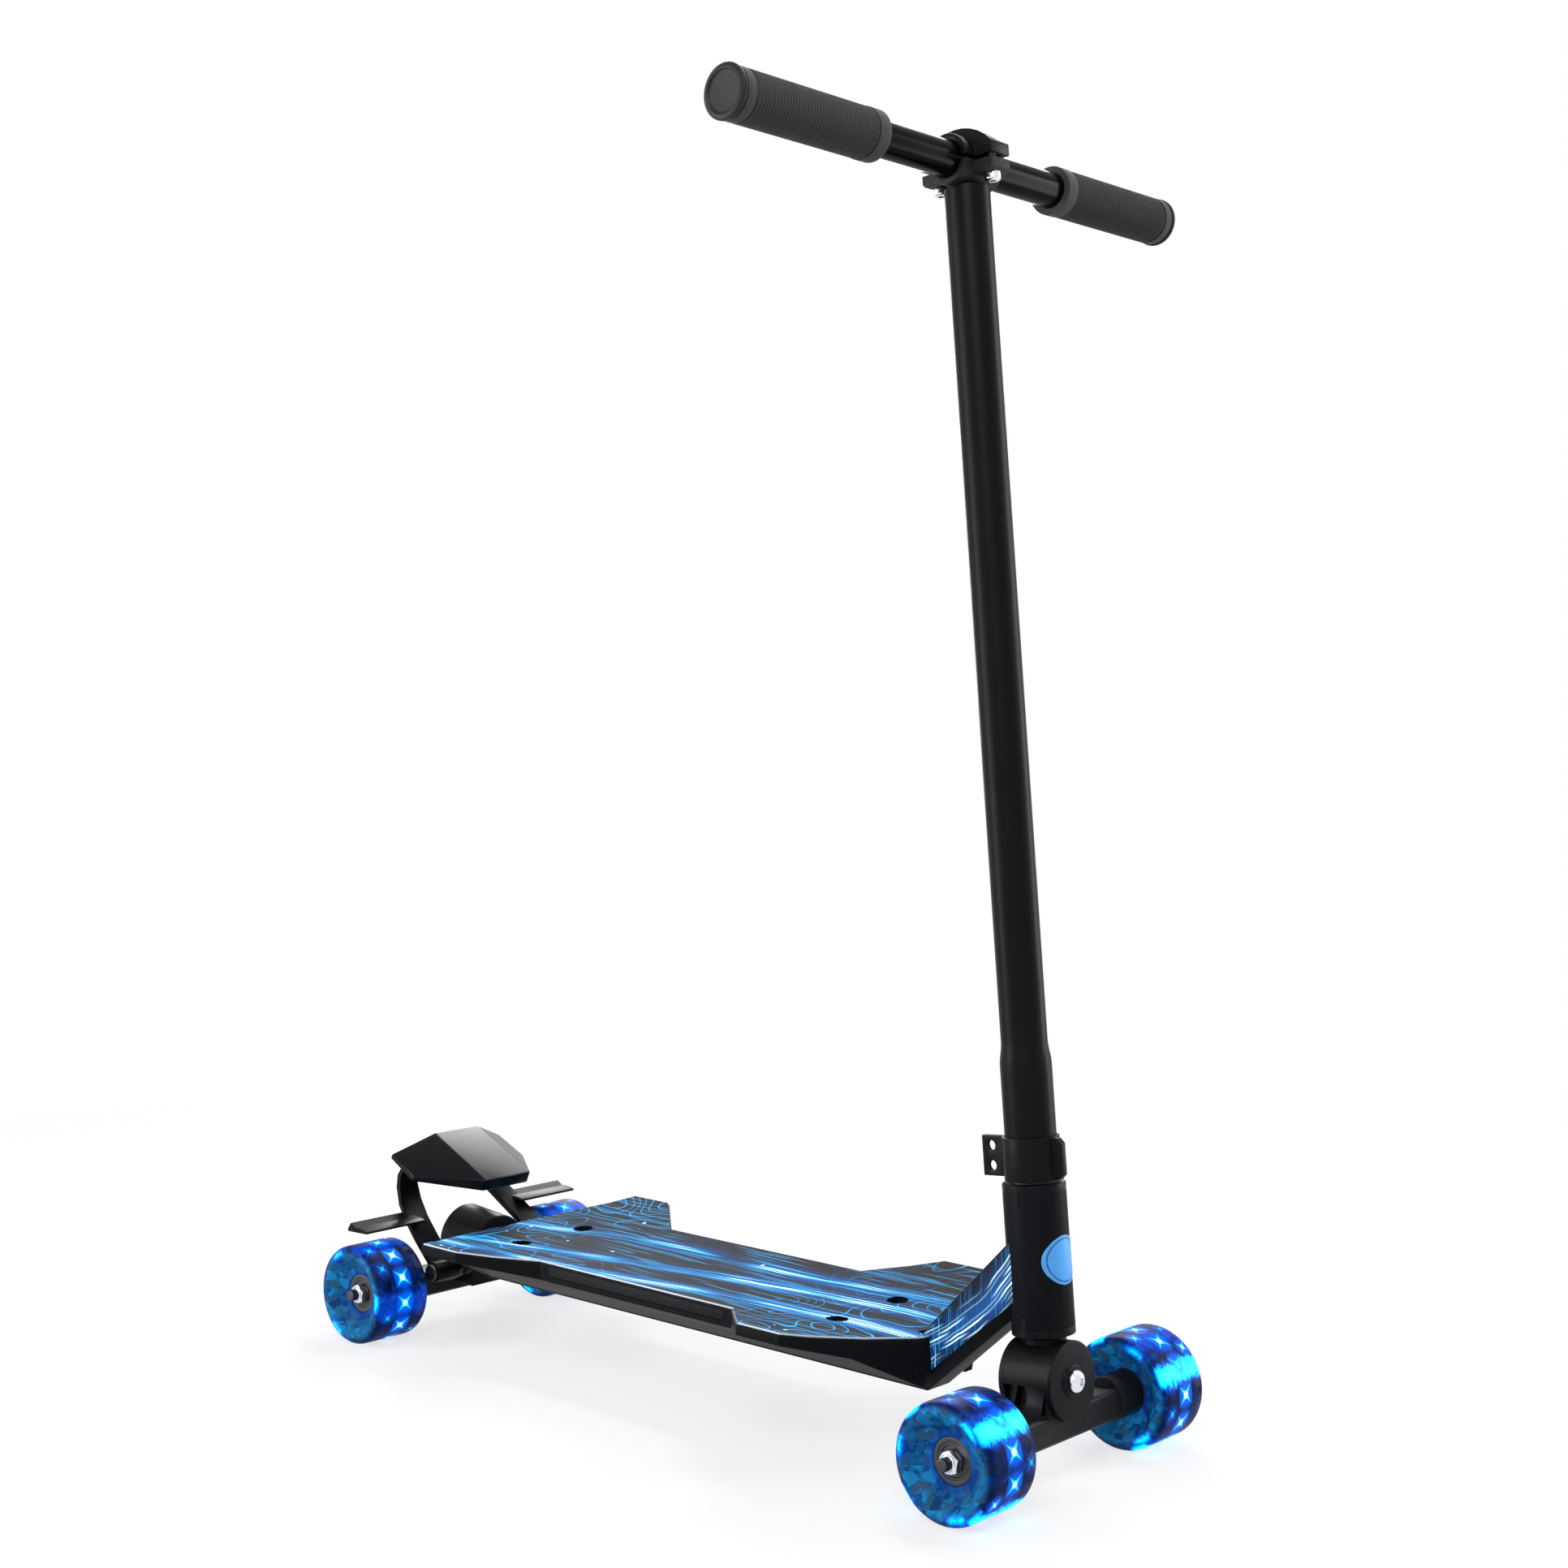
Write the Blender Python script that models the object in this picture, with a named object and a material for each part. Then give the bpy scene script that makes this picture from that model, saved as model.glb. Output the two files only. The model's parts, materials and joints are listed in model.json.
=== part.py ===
"""Four-wheeled carving scooter, modelled piece by piece in metres.

X points forward, Y to the left, Z up. The wheels stand on Z = 0 and the origin lies
midway between the two axles. Every piece is one object with its own material.
Pieces that turn about the steering axis, the two truck pivots and the brake pin are
built in frames whose origins lie on those axes.
"""

import math

import bmesh
import bpy
from mathutils import Matrix, Vector

# Clearances
GAP = 0.0003
RUNNING_GAP = 0.0006

# Wheels, bearings and axle
WHEELBASE = 0.551
TRACK = 0.179
WHEEL_RADIUS = 0.036
WHEEL_WIDTH = 0.046
TREAD_ROUND = 0.0065
WHEEL_FACE_RADIUS = 0.0285
HUB_WIDTH = 0.0244
HUB_RADIUS = 0.01405
RECESS_RADIUS = 0.0190
RECESS_STEP = 0.0006
BEARING_RADIUS = 0.011
AXLE_RADIUS = 0.004
AXLE_STICK_OUT = 0.011
NUT_ACROSS_FLATS = 0.013
NUT_HEIGHT = 0.0058

# Steering axis, head tube and headset
RAKE = math.radians(4.97)
AXLE_LEAD = 0.0044
STEERER_RADIUS = 0.0092
STEERER_ABOVE = 0.050
HEAD_TUBE_RADIUS = 0.0195
HEAD_TUBE_WALL = 0.003
HEAD_TUBE_BOTTOM = 0.0926
HEAD_TUBE_LENGTH = 0.0818
CUP_LIP = 0.0049
CUP_DEPTH = 0.0085
CUP_WALL = 0.002
HEADSET_BEARING_WIDTH = 0.007

# Stem tube (the upright of the T bar) and its clamp
STEM_RADIUS = 0.0143
STEM_WALL = 0.0016
SOCKET_RADIUS = 0.0159
SOCKET_LENGTH = 0.0722
SWAGE_LENGTH = 0.0096
SLEEVE_LENGTH = 0.064
SLIT_WIDTH = 0.003
SLIT_LENGTH = 0.030
COLLAR_WALL = 0.0015
COLLAR_HEIGHT = 0.0266
EAR_REACH = 0.0359
EAR_THICKNESS = 0.0015
EAR_GAP = 0.0010
EAR_TRIM = 0.0008
EAR_HOLE_RADIUS = 0.0033
EAR_HOLE_SPACING = 0.0124
EAR_HOLE_REACH = 0.0295
FIN_REACH = 0.0237
FIN_THICKNESS = 0.005
FIN_CHAMFER = 0.003

# Handlebar, bar clamp and grips
BAR_HEIGHT = 0.8054
BAR_RADIUS = 0.0111
BAR_WALL = 0.002
BAR_HALF_LENGTH = 0.212
CLAMP_WALL = 0.0043
CLAMP_HALF_LENGTH = 0.0195
CLAMP_EAR_REACH = 0.027
CLAMP_EAR_HALF_WIDTH = 0.0095
CLAMP_EAR_THICKNESS = 0.007
CLAMP_SPLIT = 0.0025
CLAMP_DOME_HEIGHT = 0.0198
CLAMP_BOLT_REACH = 0.0202
CLAMP_BOLT_RADIUS = 0.003
CLAMP_BOLT_HEAD_RADIUS = 0.005
CLAMP_BOLT_HEAD_HEIGHT = 0.005
GRIP_COLLAR_WIDTH = 0.010
GRIP_COLLAR_RADIUS = 0.0156
GRIP_RIBS = 16
GRIP_RIB_PITCH = 0.00645
GRIP_RIB_RADIUS = 0.0153
GRIP_GROOVE_RADIUS = 0.0142
GRIP_RING_WIDTH = 0.0066
GRIP_NECK_WIDTH = 0.0024
GRIP_SETBACK = 0.0001
END_CAP_RADIUS = 0.01585
END_CAP_WIDTH = 0.004
END_CAP_DISH = 0.0012
END_CAP_PLUG_LENGTH = 0.014

# Truck pivots, crowns and beams
CROWN_RADIUS = 0.024
CROWN_WALL = 0.0032
CROWN_PLATE = 0.004
FRONT_CROWN_LENGTH = 0.0382
FRONT_PIVOT_HEIGHT = 0.0607
REAR_CROWN_LENGTH = 0.040
REAR_PIVOT_TILT = math.radians(5.0)
REAR_PIVOT_AHEAD = 0.0152
REAR_PIVOT_HEIGHT = 0.0600
REAR_PLATE_DROP = 0.0129
PIVOT_BOLT_RADIUS = 0.004
PIVOT_HEAD_RADIUS = 0.007
PIVOT_HEAD_HEIGHT = 0.0048
PIVOT_BOSS_RADIUS = 0.0095
PIVOT_BOSS_HEIGHT = 0.0014
PIVOT_THREAD_DEPTH = 0.018
BUSHING_RADIUS = 0.0085
TOWER_FILLET = 0.0115
BEAM_HEIGHT = 0.0190
BEAM_BELOW_AXLE = 0.0110
BEAM_DEPTH = 0.024
BEAM_FACE_AHEAD = 0.0104
BEAM_END_RADIUS = 0.0142
BEAM_END_START = 0.052
BEAM_ROUND = 0.008
BEAM_CHAMFER = 0.002

# Backbone and neck, measured back from the front axle
BACKBONE_HALF_WIDTH = 0.017
BACKBONE_TOP = 0.0655
BACKBONE_SIDE_BOTTOM = 0.0445
BACKBONE_BOTTOM = 0.0374
BACKBONE_FLOOR_HALF_WIDTH = 0.0108
BACKBONE_WALL = 0.0025
BACKBONE_PLUG = 0.024
BACKBONE_VENT_RADIUS = 0.003
NECK_CORNER_BACK = 0.0900
NECK_TOP_START_BACK = 0.1007
NECK_TOP_END_BACK = 0.0160
NECK_TOP_END_HEIGHT = 0.1516
NECK_SIDE_END_HEIGHT = 0.1132
NECK_FLOOR_END_HEIGHT = 0.1075
NECK_FLOOR_END_BACK = 0.0105
NECK_EDGE_ROUND = 0.0025
CROSS_PLATE_LENGTH = 0.026
CROSS_PLATE_HALF_WIDTH = 0.041
CROSS_PLATE_THICKNESS = 0.004
CROSS_PLATE_DROP = 0.0004

# Deck, measured back from the front axle
DECK_CROWN_HEIGHT = 0.0755
DECK_EDGE_RISE = 0.0107
DECK_SHEET = 0.0012
DECK_SHEET_INSET = 0.0014
DECK_KEEL_OUT = 0.026
DECK_KEEL_HEIGHT = 0.0445
DECK_CHINE_HEIGHT = 0.0660
DECK_WING_HEIGHT = 0.0782
DECK_NOSE_BACK = 0.0820
DECK_NOSE_OUT = 0.0245
DECK_NOSE_FLARE = 0.0486
DECK_FRONT_WING_LENGTH = 0.0364
DECK_FRONT_WING_OUT = 0.1056
DECK_FRONT_TAPER = 0.0423
DECK_WAIST_OUT = 0.0653
DECK_REAR_TAPER = 0.0435
DECK_REAR_WING_LENGTH = 0.0375
DECK_REAR_WING_OUT = 0.1062
DECK_TAIL_TAPER = 0.0235
DECK_TAIL_SHOULDER_OUT = 0.060
DECK_TAIL_LENGTH = 0.0100
DECK_TAIL_AHEAD_OF_AXLE = 0.0425
DECK_BLANK_MARGIN = 0.03
DECK_NECK_CLEARANCE = 0.0015
DECK_SCREW_FRONT_IN = 0.0179
DECK_SCREW_REAR_IN = 0.0214
DECK_SCREW_OUT = 0.0305
DECK_HOLE_RADIUS = 0.0074
DECK_BOSS_RADIUS = 0.0098
DECK_SKIN = 0.004
DECK_POCKETS = 5
DECK_RIB = 0.004
SCREW_RADIUS = 0.0025
SCREW_HEAD_RADIUS = 0.0045
SCREW_HEAD_HEIGHT = 0.004
SCREW_SEAT_HEIGHT = 0.0680
PANEL_INSET = 0.0012
PANEL_BORDER = 0.0070
PANEL_LOW = 0.0695
PANEL_HIGH = 0.0770

# Foot brake, measured from the rear axle
BRAKE_PIVOT_AHEAD = 0.0320
BRAKE_PIVOT_HEIGHT = 0.0490
BRAKE_PIN_RADIUS = 0.004
BRAKE_EYE_RADIUS = 0.0075
BRAKE_TRAVEL = math.radians(14.0)
BRAKE_ARM_THICKNESS = 0.0045
BRAKE_EYE_IN = 0.0400
BRAKE_EYE_OUT = 0.0606
BRAKE_LUG_IN = 0.0262
BRAKE_LUG_OUT = 0.0335
BRAKE_LUG_SIZE = 0.0130
BRAKE_LUG_REACH = 0.0265
BRAKE_LUG_ROOT = (-0.0080, -0.0180)
BRAKE_SHOE_OUT = 0.1030
BRAKE_SHOE_IN = 0.0480
BRAKE_SHOE_THICKNESS = 0.0035
BRAKE_SHOE_MIDDLE = math.radians(106.0)
BRAKE_SHOE_SPAN = math.radians(34.0)
BRAKE_SHOE_LIP = 0.004
SPRING_WIRE_RADIUS = 0.0008
SPRING_COIL_RADIUS = 0.0056
SPRING_TURNS = 2
PEDAL_SKIN = 0.0035
PEDAL_RIM = 0.0040

# Corners of the pedal's top: distance behind the rear axle, distance out, height
PEDAL_RIDGE_REAR = (0.0142, 0.0209, 0.1422)
PEDAL_RIDGE_FRONT = (-0.0474, 0.0218, 0.1140)
PEDAL_WING_REAR = (0.0260, 0.0533, 0.1288)
PEDAL_WING_FRONT = (-0.0022, 0.0545, 0.1155)
PEDAL_SKIRTS = (0.0060, 0.0098, 0.0040, 0.0044)

# Centre line of a brake arm: behind the rear axle, height, inner and outer edge
ARM_STATIONS = (
    (-0.0285, 0.0535, 0.0405, 0.0600),
    (-0.0110, 0.0690, 0.0395, 0.0592),
    (0.0045, 0.0805, 0.0365, 0.0560),
    (0.0180, 0.0920, 0.0325, 0.0520),
    (0.0255, 0.1025, 0.0300, 0.0480),
    (0.0265, 0.1110, 0.0290, 0.0460),
    (0.0220, 0.1180, 0.0285, 0.0450),
)
ARM_TAB_BACK = (0.0125, -0.0010)
ARM_TAB_OUT = (0.0280, 0.0440)

# Facets
ROUND = 24
SMALL_ROUND = 14

# Places worked out from the sizes above
FRONT_AXLE_X = WHEELBASE / 2
REAR_AXLE_X = -WHEELBASE / 2
HUB_HALF = HUB_WIDTH / 2
WHEEL_OUT = TRACK / 2
HEAD_TUBE_TOP = HEAD_TUBE_BOTTOM + HEAD_TUBE_LENGTH
STEERER_TOP = HEAD_TUBE_TOP + CUP_LIP
COLLAR_BOTTOM = STEERER_TOP + 0.0016
SOCKET_BOTTOM = COLLAR_BOTTOM
SLEEVE_RADIUS = SOCKET_RADIUS - STEM_WALL - GAP
DECK_FRONT_WING_START_BACK = DECK_NOSE_BACK + DECK_NOSE_FLARE
DECK_FRONT_WING_END_BACK = DECK_FRONT_WING_START_BACK + DECK_FRONT_WING_LENGTH
DECK_WAIST_START_BACK = DECK_FRONT_WING_END_BACK + DECK_FRONT_TAPER
DECK_TAIL_BACK = WHEELBASE - DECK_TAIL_AHEAD_OF_AXLE
DECK_TAIL_SHOULDER_BACK = DECK_TAIL_BACK - DECK_TAIL_LENGTH
DECK_REAR_WING_END_BACK = DECK_TAIL_SHOULDER_BACK - DECK_TAIL_TAPER
DECK_REAR_WING_START_BACK = DECK_REAR_WING_END_BACK - DECK_REAR_WING_LENGTH
DECK_WAIST_END_BACK = DECK_REAR_WING_START_BACK - DECK_REAR_TAPER
DECK_SCREW_FRONT_BACK = DECK_FRONT_WING_START_BACK + DECK_SCREW_FRONT_IN
DECK_SCREW_REAR_BACK = DECK_REAR_WING_END_BACK - DECK_SCREW_REAR_IN
DECK_DISH = DECK_EDGE_RISE / DECK_REAR_WING_OUT ** 2
DECK_BLANK_LOW = DECK_KEEL_HEIGHT - DECK_BLANK_MARGIN
DECK_BLANK_HIGH = DECK_CROWN_HEIGHT + DECK_BLANK_MARGIN


def steering_frame():
    """Frame on the steering axis: local Z runs up the axis, local X points forward."""
    reach = AXLE_LEAD / math.cos(RAKE) - WHEEL_RADIUS * math.tan(RAKE)
    foot = Vector((FRONT_AXLE_X - reach, 0, 0))
    return Matrix.Translation(foot) @ Matrix.Rotation(-RAKE, 4, "Y")


STEERING = steering_frame()


def front_pivot_frame():
    """Frame on the front truck's pivot: local X runs along the pivot bolt."""
    return STEERING @ Matrix.Translation((0, 0, FRONT_PIVOT_HEIGHT))


def rear_pivot_frame():
    """Frame on the rear truck's pivot, which drops towards the front."""
    place = Matrix.Translation((REAR_AXLE_X + REAR_PIVOT_AHEAD, 0, REAR_PIVOT_HEIGHT))
    return place @ Matrix.Rotation(REAR_PIVOT_TILT, 4, "Y")


FRONT_PIVOT = front_pivot_frame()
REAR_PIVOT = rear_pivot_frame()


def behind(distance):
    """X of a place that lies this far behind the front axle."""
    return FRONT_AXLE_X - distance


def past_rear_axle(distance):
    """X of a place that lies this far behind the rear axle."""
    return REAR_AXLE_X - distance


BRAKE_PIVOT = Matrix.Translation((past_rear_axle(-BRAKE_PIVOT_AHEAD), 0, BRAKE_PIVOT_HEIGHT))


def clear_scene():
    for obj in list(bpy.data.objects):
        bpy.data.objects.remove(obj, do_unlink=True)


def make_material(name, colour, roughness, metallic=0.0, alpha=1.0):
    material = bpy.data.materials.new(name)
    material.use_nodes = True
    shader = material.node_tree.nodes["Principled BSDF"]
    shader.inputs["Base Color"].default_value = (*colour, 1.0)
    shader.inputs["Roughness"].default_value = roughness
    shader.inputs["Metallic"].default_value = metallic
    shader.inputs["Alpha"].default_value = alpha
    material.diffuse_color = (*colour, alpha)
    return material


def build_materials():
    return {
        "satin_black": make_material("satin_black", (0.016, 0.017, 0.019), 0.38, 0.3),
        "moulded_black": make_material("moulded_black", (0.018, 0.018, 0.021), 0.45),
        "textured_black": make_material("textured_black", (0.015, 0.015, 0.017), 0.75),
        "cast_black": make_material("cast_black", (0.014, 0.014, 0.015), 0.7, 0.3),
        "grip_rubber": make_material("grip_rubber", (0.016, 0.016, 0.018), 0.6),
        "deck_graphic": make_material("deck_graphic", (0.03, 0.07, 0.14), 0.45),
        "chrome": make_material("chrome", (0.82, 0.83, 0.85), 0.12, 1.0),
        "dark_steel": make_material("dark_steel", (0.05, 0.05, 0.055), 0.4, 0.9),
        "blue_wheel": make_material("blue_wheel", (0.01, 0.12, 0.55), 0.2, 0.0, 0.8),
        "hub_plastic": make_material("hub_plastic", (0.02, 0.02, 0.024), 0.4),
        "elastomer": make_material("elastomer", (0.02, 0.02, 0.022), 0.65),
    }


def new_object(name, bm, material=None, frame=None):
    """Turns the mesh into an object, with faces out and sharp edges by angle."""
    for vertex in bm.verts:
        vertex.co = [round(value, 8) + 0.0 for value in vertex.co]
    bmesh.ops.remove_doubles(bm, verts=bm.verts, dist=1e-7)
    bmesh.ops.recalc_face_normals(bm, faces=bm.faces)
    mesh = bpy.data.meshes.new(name)
    bm.to_mesh(mesh)
    bm.free()
    obj = bpy.data.objects.new(name, mesh)
    bpy.context.scene.collection.objects.link(obj)
    if material:
        mesh.materials.append(material)
    if frame:
        obj.matrix_world = frame
    smooth(obj)
    return obj


def smooth(obj):
    for polygon in obj.data.polygons:
        polygon.use_smooth = True
    obj.data.set_sharp_from_angle(angle=math.radians(32))


def combine(base, tools, operation):
    """Joins or cuts base with each tool in turn, then drops the tools.

    All of it happens in the base's own frame, so that flat faces stay exactly flat.
    """
    place = base.matrix_world.copy()
    base.matrix_world = Matrix.Identity(4)
    for tool in tools:
        if tool.matrix_world != place:
            tool.data.transform(place.inverted() @ tool.matrix_world)
            triangulate(tool.data)
        tool.matrix_world = Matrix.Identity(4)
        modifier = base.modifiers.new("combine", "BOOLEAN")
        modifier.operation = operation
        modifier.solver = "EXACT"
        modifier.object = tool
        bpy.context.view_layer.update()
        graph = bpy.context.evaluated_depsgraph_get()
        mesh = bpy.data.meshes.new_from_object(base.evaluated_get(graph))
        base.modifiers.clear()
        tidy(mesh)
        if not mesh.materials and base.data.materials:
            mesh.materials.append(base.data.materials[0])
        base.data = mesh
        bpy.data.objects.remove(tool, do_unlink=True)
    base.matrix_world = place
    smooth(base)
    return base


def tidy(mesh):
    """Merges the points that a Boolean leaves closer together than it can resolve."""
    bm = bmesh.new()
    bm.from_mesh(mesh)
    bmesh.ops.remove_doubles(bm, verts=bm.verts, dist=2e-6)
    bmesh.ops.dissolve_degenerate(bm, edges=bm.edges, dist=1e-6)
    bm.to_mesh(mesh)
    bm.free()


def triangulate(mesh):
    bm = bmesh.new()
    bm.from_mesh(mesh)
    bmesh.ops.triangulate(bm, faces=bm.faces)
    bm.to_mesh(mesh)
    bm.free()


def join(base, *tools):
    return combine(base, tools, "UNION")


def cut(base, *tools):
    return combine(base, tools, "DIFFERENCE")


def keep(base, *tools):
    return combine(base, tools, "INTERSECT")


def fill_prism(bm, low, high):
    """Faces of a prism whose ends are the vertex loops low and high."""
    bm.faces.new(low[::-1])
    bm.faces.new(high)
    for i, vertex in enumerate(low):
        after = (i + 1) % len(low)
        bm.faces.new((vertex, low[after], high[after], high[i]))


def prism(name, outline, start, end, along, material=None, frame=None):
    """Extrudes an outline along X, Y or Z. The outline holds the other two coordinates."""
    bm = bmesh.new()
    place = {
        "X": lambda a, b, h: (h, a, b),
        "Y": lambda a, b, h: (a, h, b),
        "Z": lambda a, b, h: (a, b, h),
    }[along]
    low = [bm.verts.new(place(a, b, start)) for a, b in outline]
    high = [bm.verts.new(place(a, b, end)) for a, b in outline]
    fill_prism(bm, low, high)
    return new_object(name, bm, material, frame)


def box(name, low, high, frame=None):
    outline = [(low[0], low[1]), (high[0], low[1]), (high[0], high[1]), (low[0], high[1])]
    return prism(name, outline, low[2], high[2], "Z", None, frame)


def turn(name, profile, along, material=None, frame=None, centre=(0, 0), segments=ROUND):
    """Revolves a profile of (radius, height) points about a line along X, Y or Z.

    The line passes through centre in the other two coordinates. Points of radius 0
    lie on the line, so a profile that starts and ends on it gives a solid turning,
    and any other profile gives a ring.
    """
    bm = bmesh.new()
    place = {
        "X": lambda a, b, h: (h, centre[0] + a, centre[1] + b),
        "Y": lambda a, b, h: (centre[0] + a, h, centre[1] + b),
        "Z": lambda a, b, h: (centre[0] + a, centre[1] + b, h),
    }[along]
    rings = []
    for radius, height in profile:
        if radius < 1e-9:
            rings.append([bm.verts.new(place(0, 0, height))])
            continue
        ring = []
        for i in range(segments):
            angle = 2 * math.pi * i / segments
            ring.append(
                bm.verts.new(place(radius * math.cos(angle), radius * math.sin(angle), height))
            )
        rings.append(ring)
    closed = len(rings[0]) > 1 or len(rings[-1]) > 1
    count = len(rings) if closed else len(rings) - 1
    for k in range(count):
        join_rings(bm, rings[k], rings[(k + 1) % len(rings)], segments)
    return new_object(name, bm, material, frame)


def join_rings(bm, first, second, segments):
    for i in range(segments):
        after = (i + 1) % segments
        if len(first) > 1 and len(second) > 1:
            bm.faces.new((first[i], first[after], second[after], second[i]))
        elif len(second) > 1:
            bm.faces.new((first[0], second[after], second[i]))
        elif len(first) > 1:
            bm.faces.new((first[i], first[after], second[0]))


def rod(name, radius, start, end, along, material=None, frame=None, centre=(0, 0),
        segments=SMALL_ROUND):
    profile = [(0, start), (radius, start), (radius, end), (0, end)]
    return turn(name, profile, along, material, frame, centre, segments)


def arc(centre, radius, start, end, steps):
    """Points of an arc in degrees, ends included."""
    points = []
    for i in range(steps + 1):
        angle = math.radians(start + (end - start) * i / steps)
        points.append((centre[0] + radius * math.cos(angle), centre[1] + radius * math.sin(angle)))
    return points


def hexagon(across_flats):
    radius = across_flats / math.sqrt(3)
    return [
        (radius * math.cos(math.radians(60 * i + 30)), radius * math.sin(math.radians(60 * i + 30)))
        for i in range(6)
    ]


def loft(name, sections, material=None, frame=None):
    """Closed solid through sections, each a list of the same number of points."""
    bm = bmesh.new()
    loops = [[bm.verts.new(point) for point in section] for section in sections]
    bm.faces.new(loops[0][::-1])
    bm.faces.new(loops[-1])
    for first, second in zip(loops, loops[1:]):
        for i, vertex in enumerate(first):
            after = (i + 1) % len(first)
            bm.faces.new((vertex, first[after], second[after], second[i]))
    bmesh.ops.triangulate(bm, faces=bm.faces)
    return new_object(name, bm, material, frame)


# Wheels


def tyre_profile():
    half = WHEEL_WIDTH / 2
    bore = HUB_RADIUS + GAP
    upper = arc((WHEEL_RADIUS - TREAD_ROUND, half - TREAD_ROUND), TREAD_ROUND, 0, 90, 2)
    upper += [(WHEEL_FACE_RADIUS, half), (RECESS_RADIUS, HUB_HALF + RECESS_STEP), (bore, HUB_HALF)]
    return upper + [(radius, -height) for radius, height in reversed(upper)]


def core_profile():
    bore = BEARING_RADIUS + GAP
    return [(HUB_RADIUS, -HUB_HALF), (HUB_RADIUS, HUB_HALF), (bore, HUB_HALF), (bore, -HUB_HALF)]


def bearing_profile():
    """Both bearings and the spacer between them, which the hub hides, as one sleeve."""
    outer = HUB_HALF - GAP
    bore = AXLE_RADIUS + GAP
    return [(BEARING_RADIUS, -outer), (BEARING_RADIUS, outer), (bore, outer), (bore, -outer)]


def build_wheel(tag, axle_x, side, materials):
    """Tyre, hub and bearings of one wheel, about the axle."""
    frame = Matrix.Translation((axle_x, side * WHEEL_OUT, WHEEL_RADIUS))
    turn("tyre_" + tag, tyre_profile(), "Y", materials["blue_wheel"], frame)
    turn("hub_core_" + tag, core_profile(), "Y", materials["hub_plastic"], frame, segments=20)
    turn("bearings_" + tag, bearing_profile(), "Y", materials["dark_steel"], frame, segments=16)


# Trucks


def tower_outline(axle_drop):
    """Front view of a beam's hub with hollow fillets at its foot, from the pivot centre."""
    hub = CROWN_RADIUS - CROWN_WALL - RUNNING_GAP
    arm_top = axle_drop - BEAM_BELOW_AXLE + BEAM_HEIGHT
    foot = arm_top - 0.4 * BEAM_HEIGHT
    right = arc((0, 0), hub, 80, 0, 4)
    right += arc((hub + TOWER_FILLET, arm_top + TOWER_FILLET), TOWER_FILLET, 180, 268, 3)
    right += [(hub + TOWER_FILLET, foot)]
    left = [(-y, z) for y, z in reversed(right)]
    return [(0, hub)] + right + left


def build_beam(name, frame, axle, span, material):
    """Axle beam of one truck. axle is (x, z) from the pivot, span the hub's X range."""
    axle_x, axle_z = axle
    face = axle_x + BEAM_FACE_AHEAD
    back = face - BEAM_DEPTH
    low = axle_z - BEAM_BELOW_AXLE
    high = low + BEAM_HEIGHT
    hub = CROWN_RADIUS - CROWN_WALL - RUNNING_GAP
    reach = WHEEL_OUT - WHEEL_WIDTH / 2 - RUNNING_GAP
    chamfer = BEAM_CHAMFER
    section = [(back + chamfer, low), (face - chamfer, low), (face, low + chamfer)]
    section += [(face, high - chamfer), (face - chamfer, high)]
    section += arc((back + BEAM_ROUND, high - BEAM_ROUND), BEAM_ROUND, 90, 180, 3)
    section += [(back, low + chamfer)]
    beam = prism(name, section, -reach, reach, "Y", material, frame)
    fillet_span = max(back + BEAM_ROUND / 2, span[0] + 0.0004), min(face - chamfer, span[1])
    fillets = prism("fillets", tower_outline(axle_z), *fillet_span, "X", None, frame)
    core = arc((0, 0), hub - 0.0002, 180, 0, 10)
    core += [(hub - 0.0002, low + 0.4 * BEAM_HEIGHT), (-hub + 0.0002, low + 0.4 * BEAM_HEIGHT)]
    barrel = prism("barrel", core, span[0], span[1], "X", None, frame)
    join(beam, fillets, barrel)
    # Round ends reach into the wheels' inner recesses.
    seat = WHEEL_OUT - HUB_HALF - GAP
    for side in (-1, 1):
        end = turn(
            "end",
            [(0, side * seat), (BEAM_END_RADIUS - 0.002, side * seat),
             (BEAM_END_RADIUS, side * (seat - 0.002)), (BEAM_END_RADIUS, side * BEAM_END_START),
             (0, side * BEAM_END_START)],
            "Y", None, frame, axle, 18,
        )
        join(beam, end)
    bore = rod("bore", AXLE_RADIUS + GAP, -WHEEL_OUT, WHEEL_OUT, "Y", None, frame, axle)
    hole = rod("hole", BUSHING_RADIUS + GAP, span[0] - 0.005, span[1] + 0.005, "X", None, frame,
               segments=16)
    return cut(beam, bore, hole)


def build_axle(tag, frame, axle, materials):
    """Through axle with a nut on each end."""
    tip = WHEEL_OUT + HUB_HALF + AXLE_STICK_OUT
    profile = [(0, -tip), (AXLE_RADIUS - 0.0006, -tip), (AXLE_RADIUS, -tip + 0.0006),
               (AXLE_RADIUS, tip - 0.0006), (AXLE_RADIUS - 0.0006, tip), (0, tip)]
    turn("axle_rod_" + tag, profile, "Y", materials["dark_steel"], frame, axle, SMALL_ROUND)
    seat = WHEEL_OUT + HUB_HALF
    for side, word in ((1, "left"), (-1, "right")):
        build_nut("axle_nut_%s_%s" % (tag, word), side, seat, frame, axle, materials["chrome"])


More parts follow.
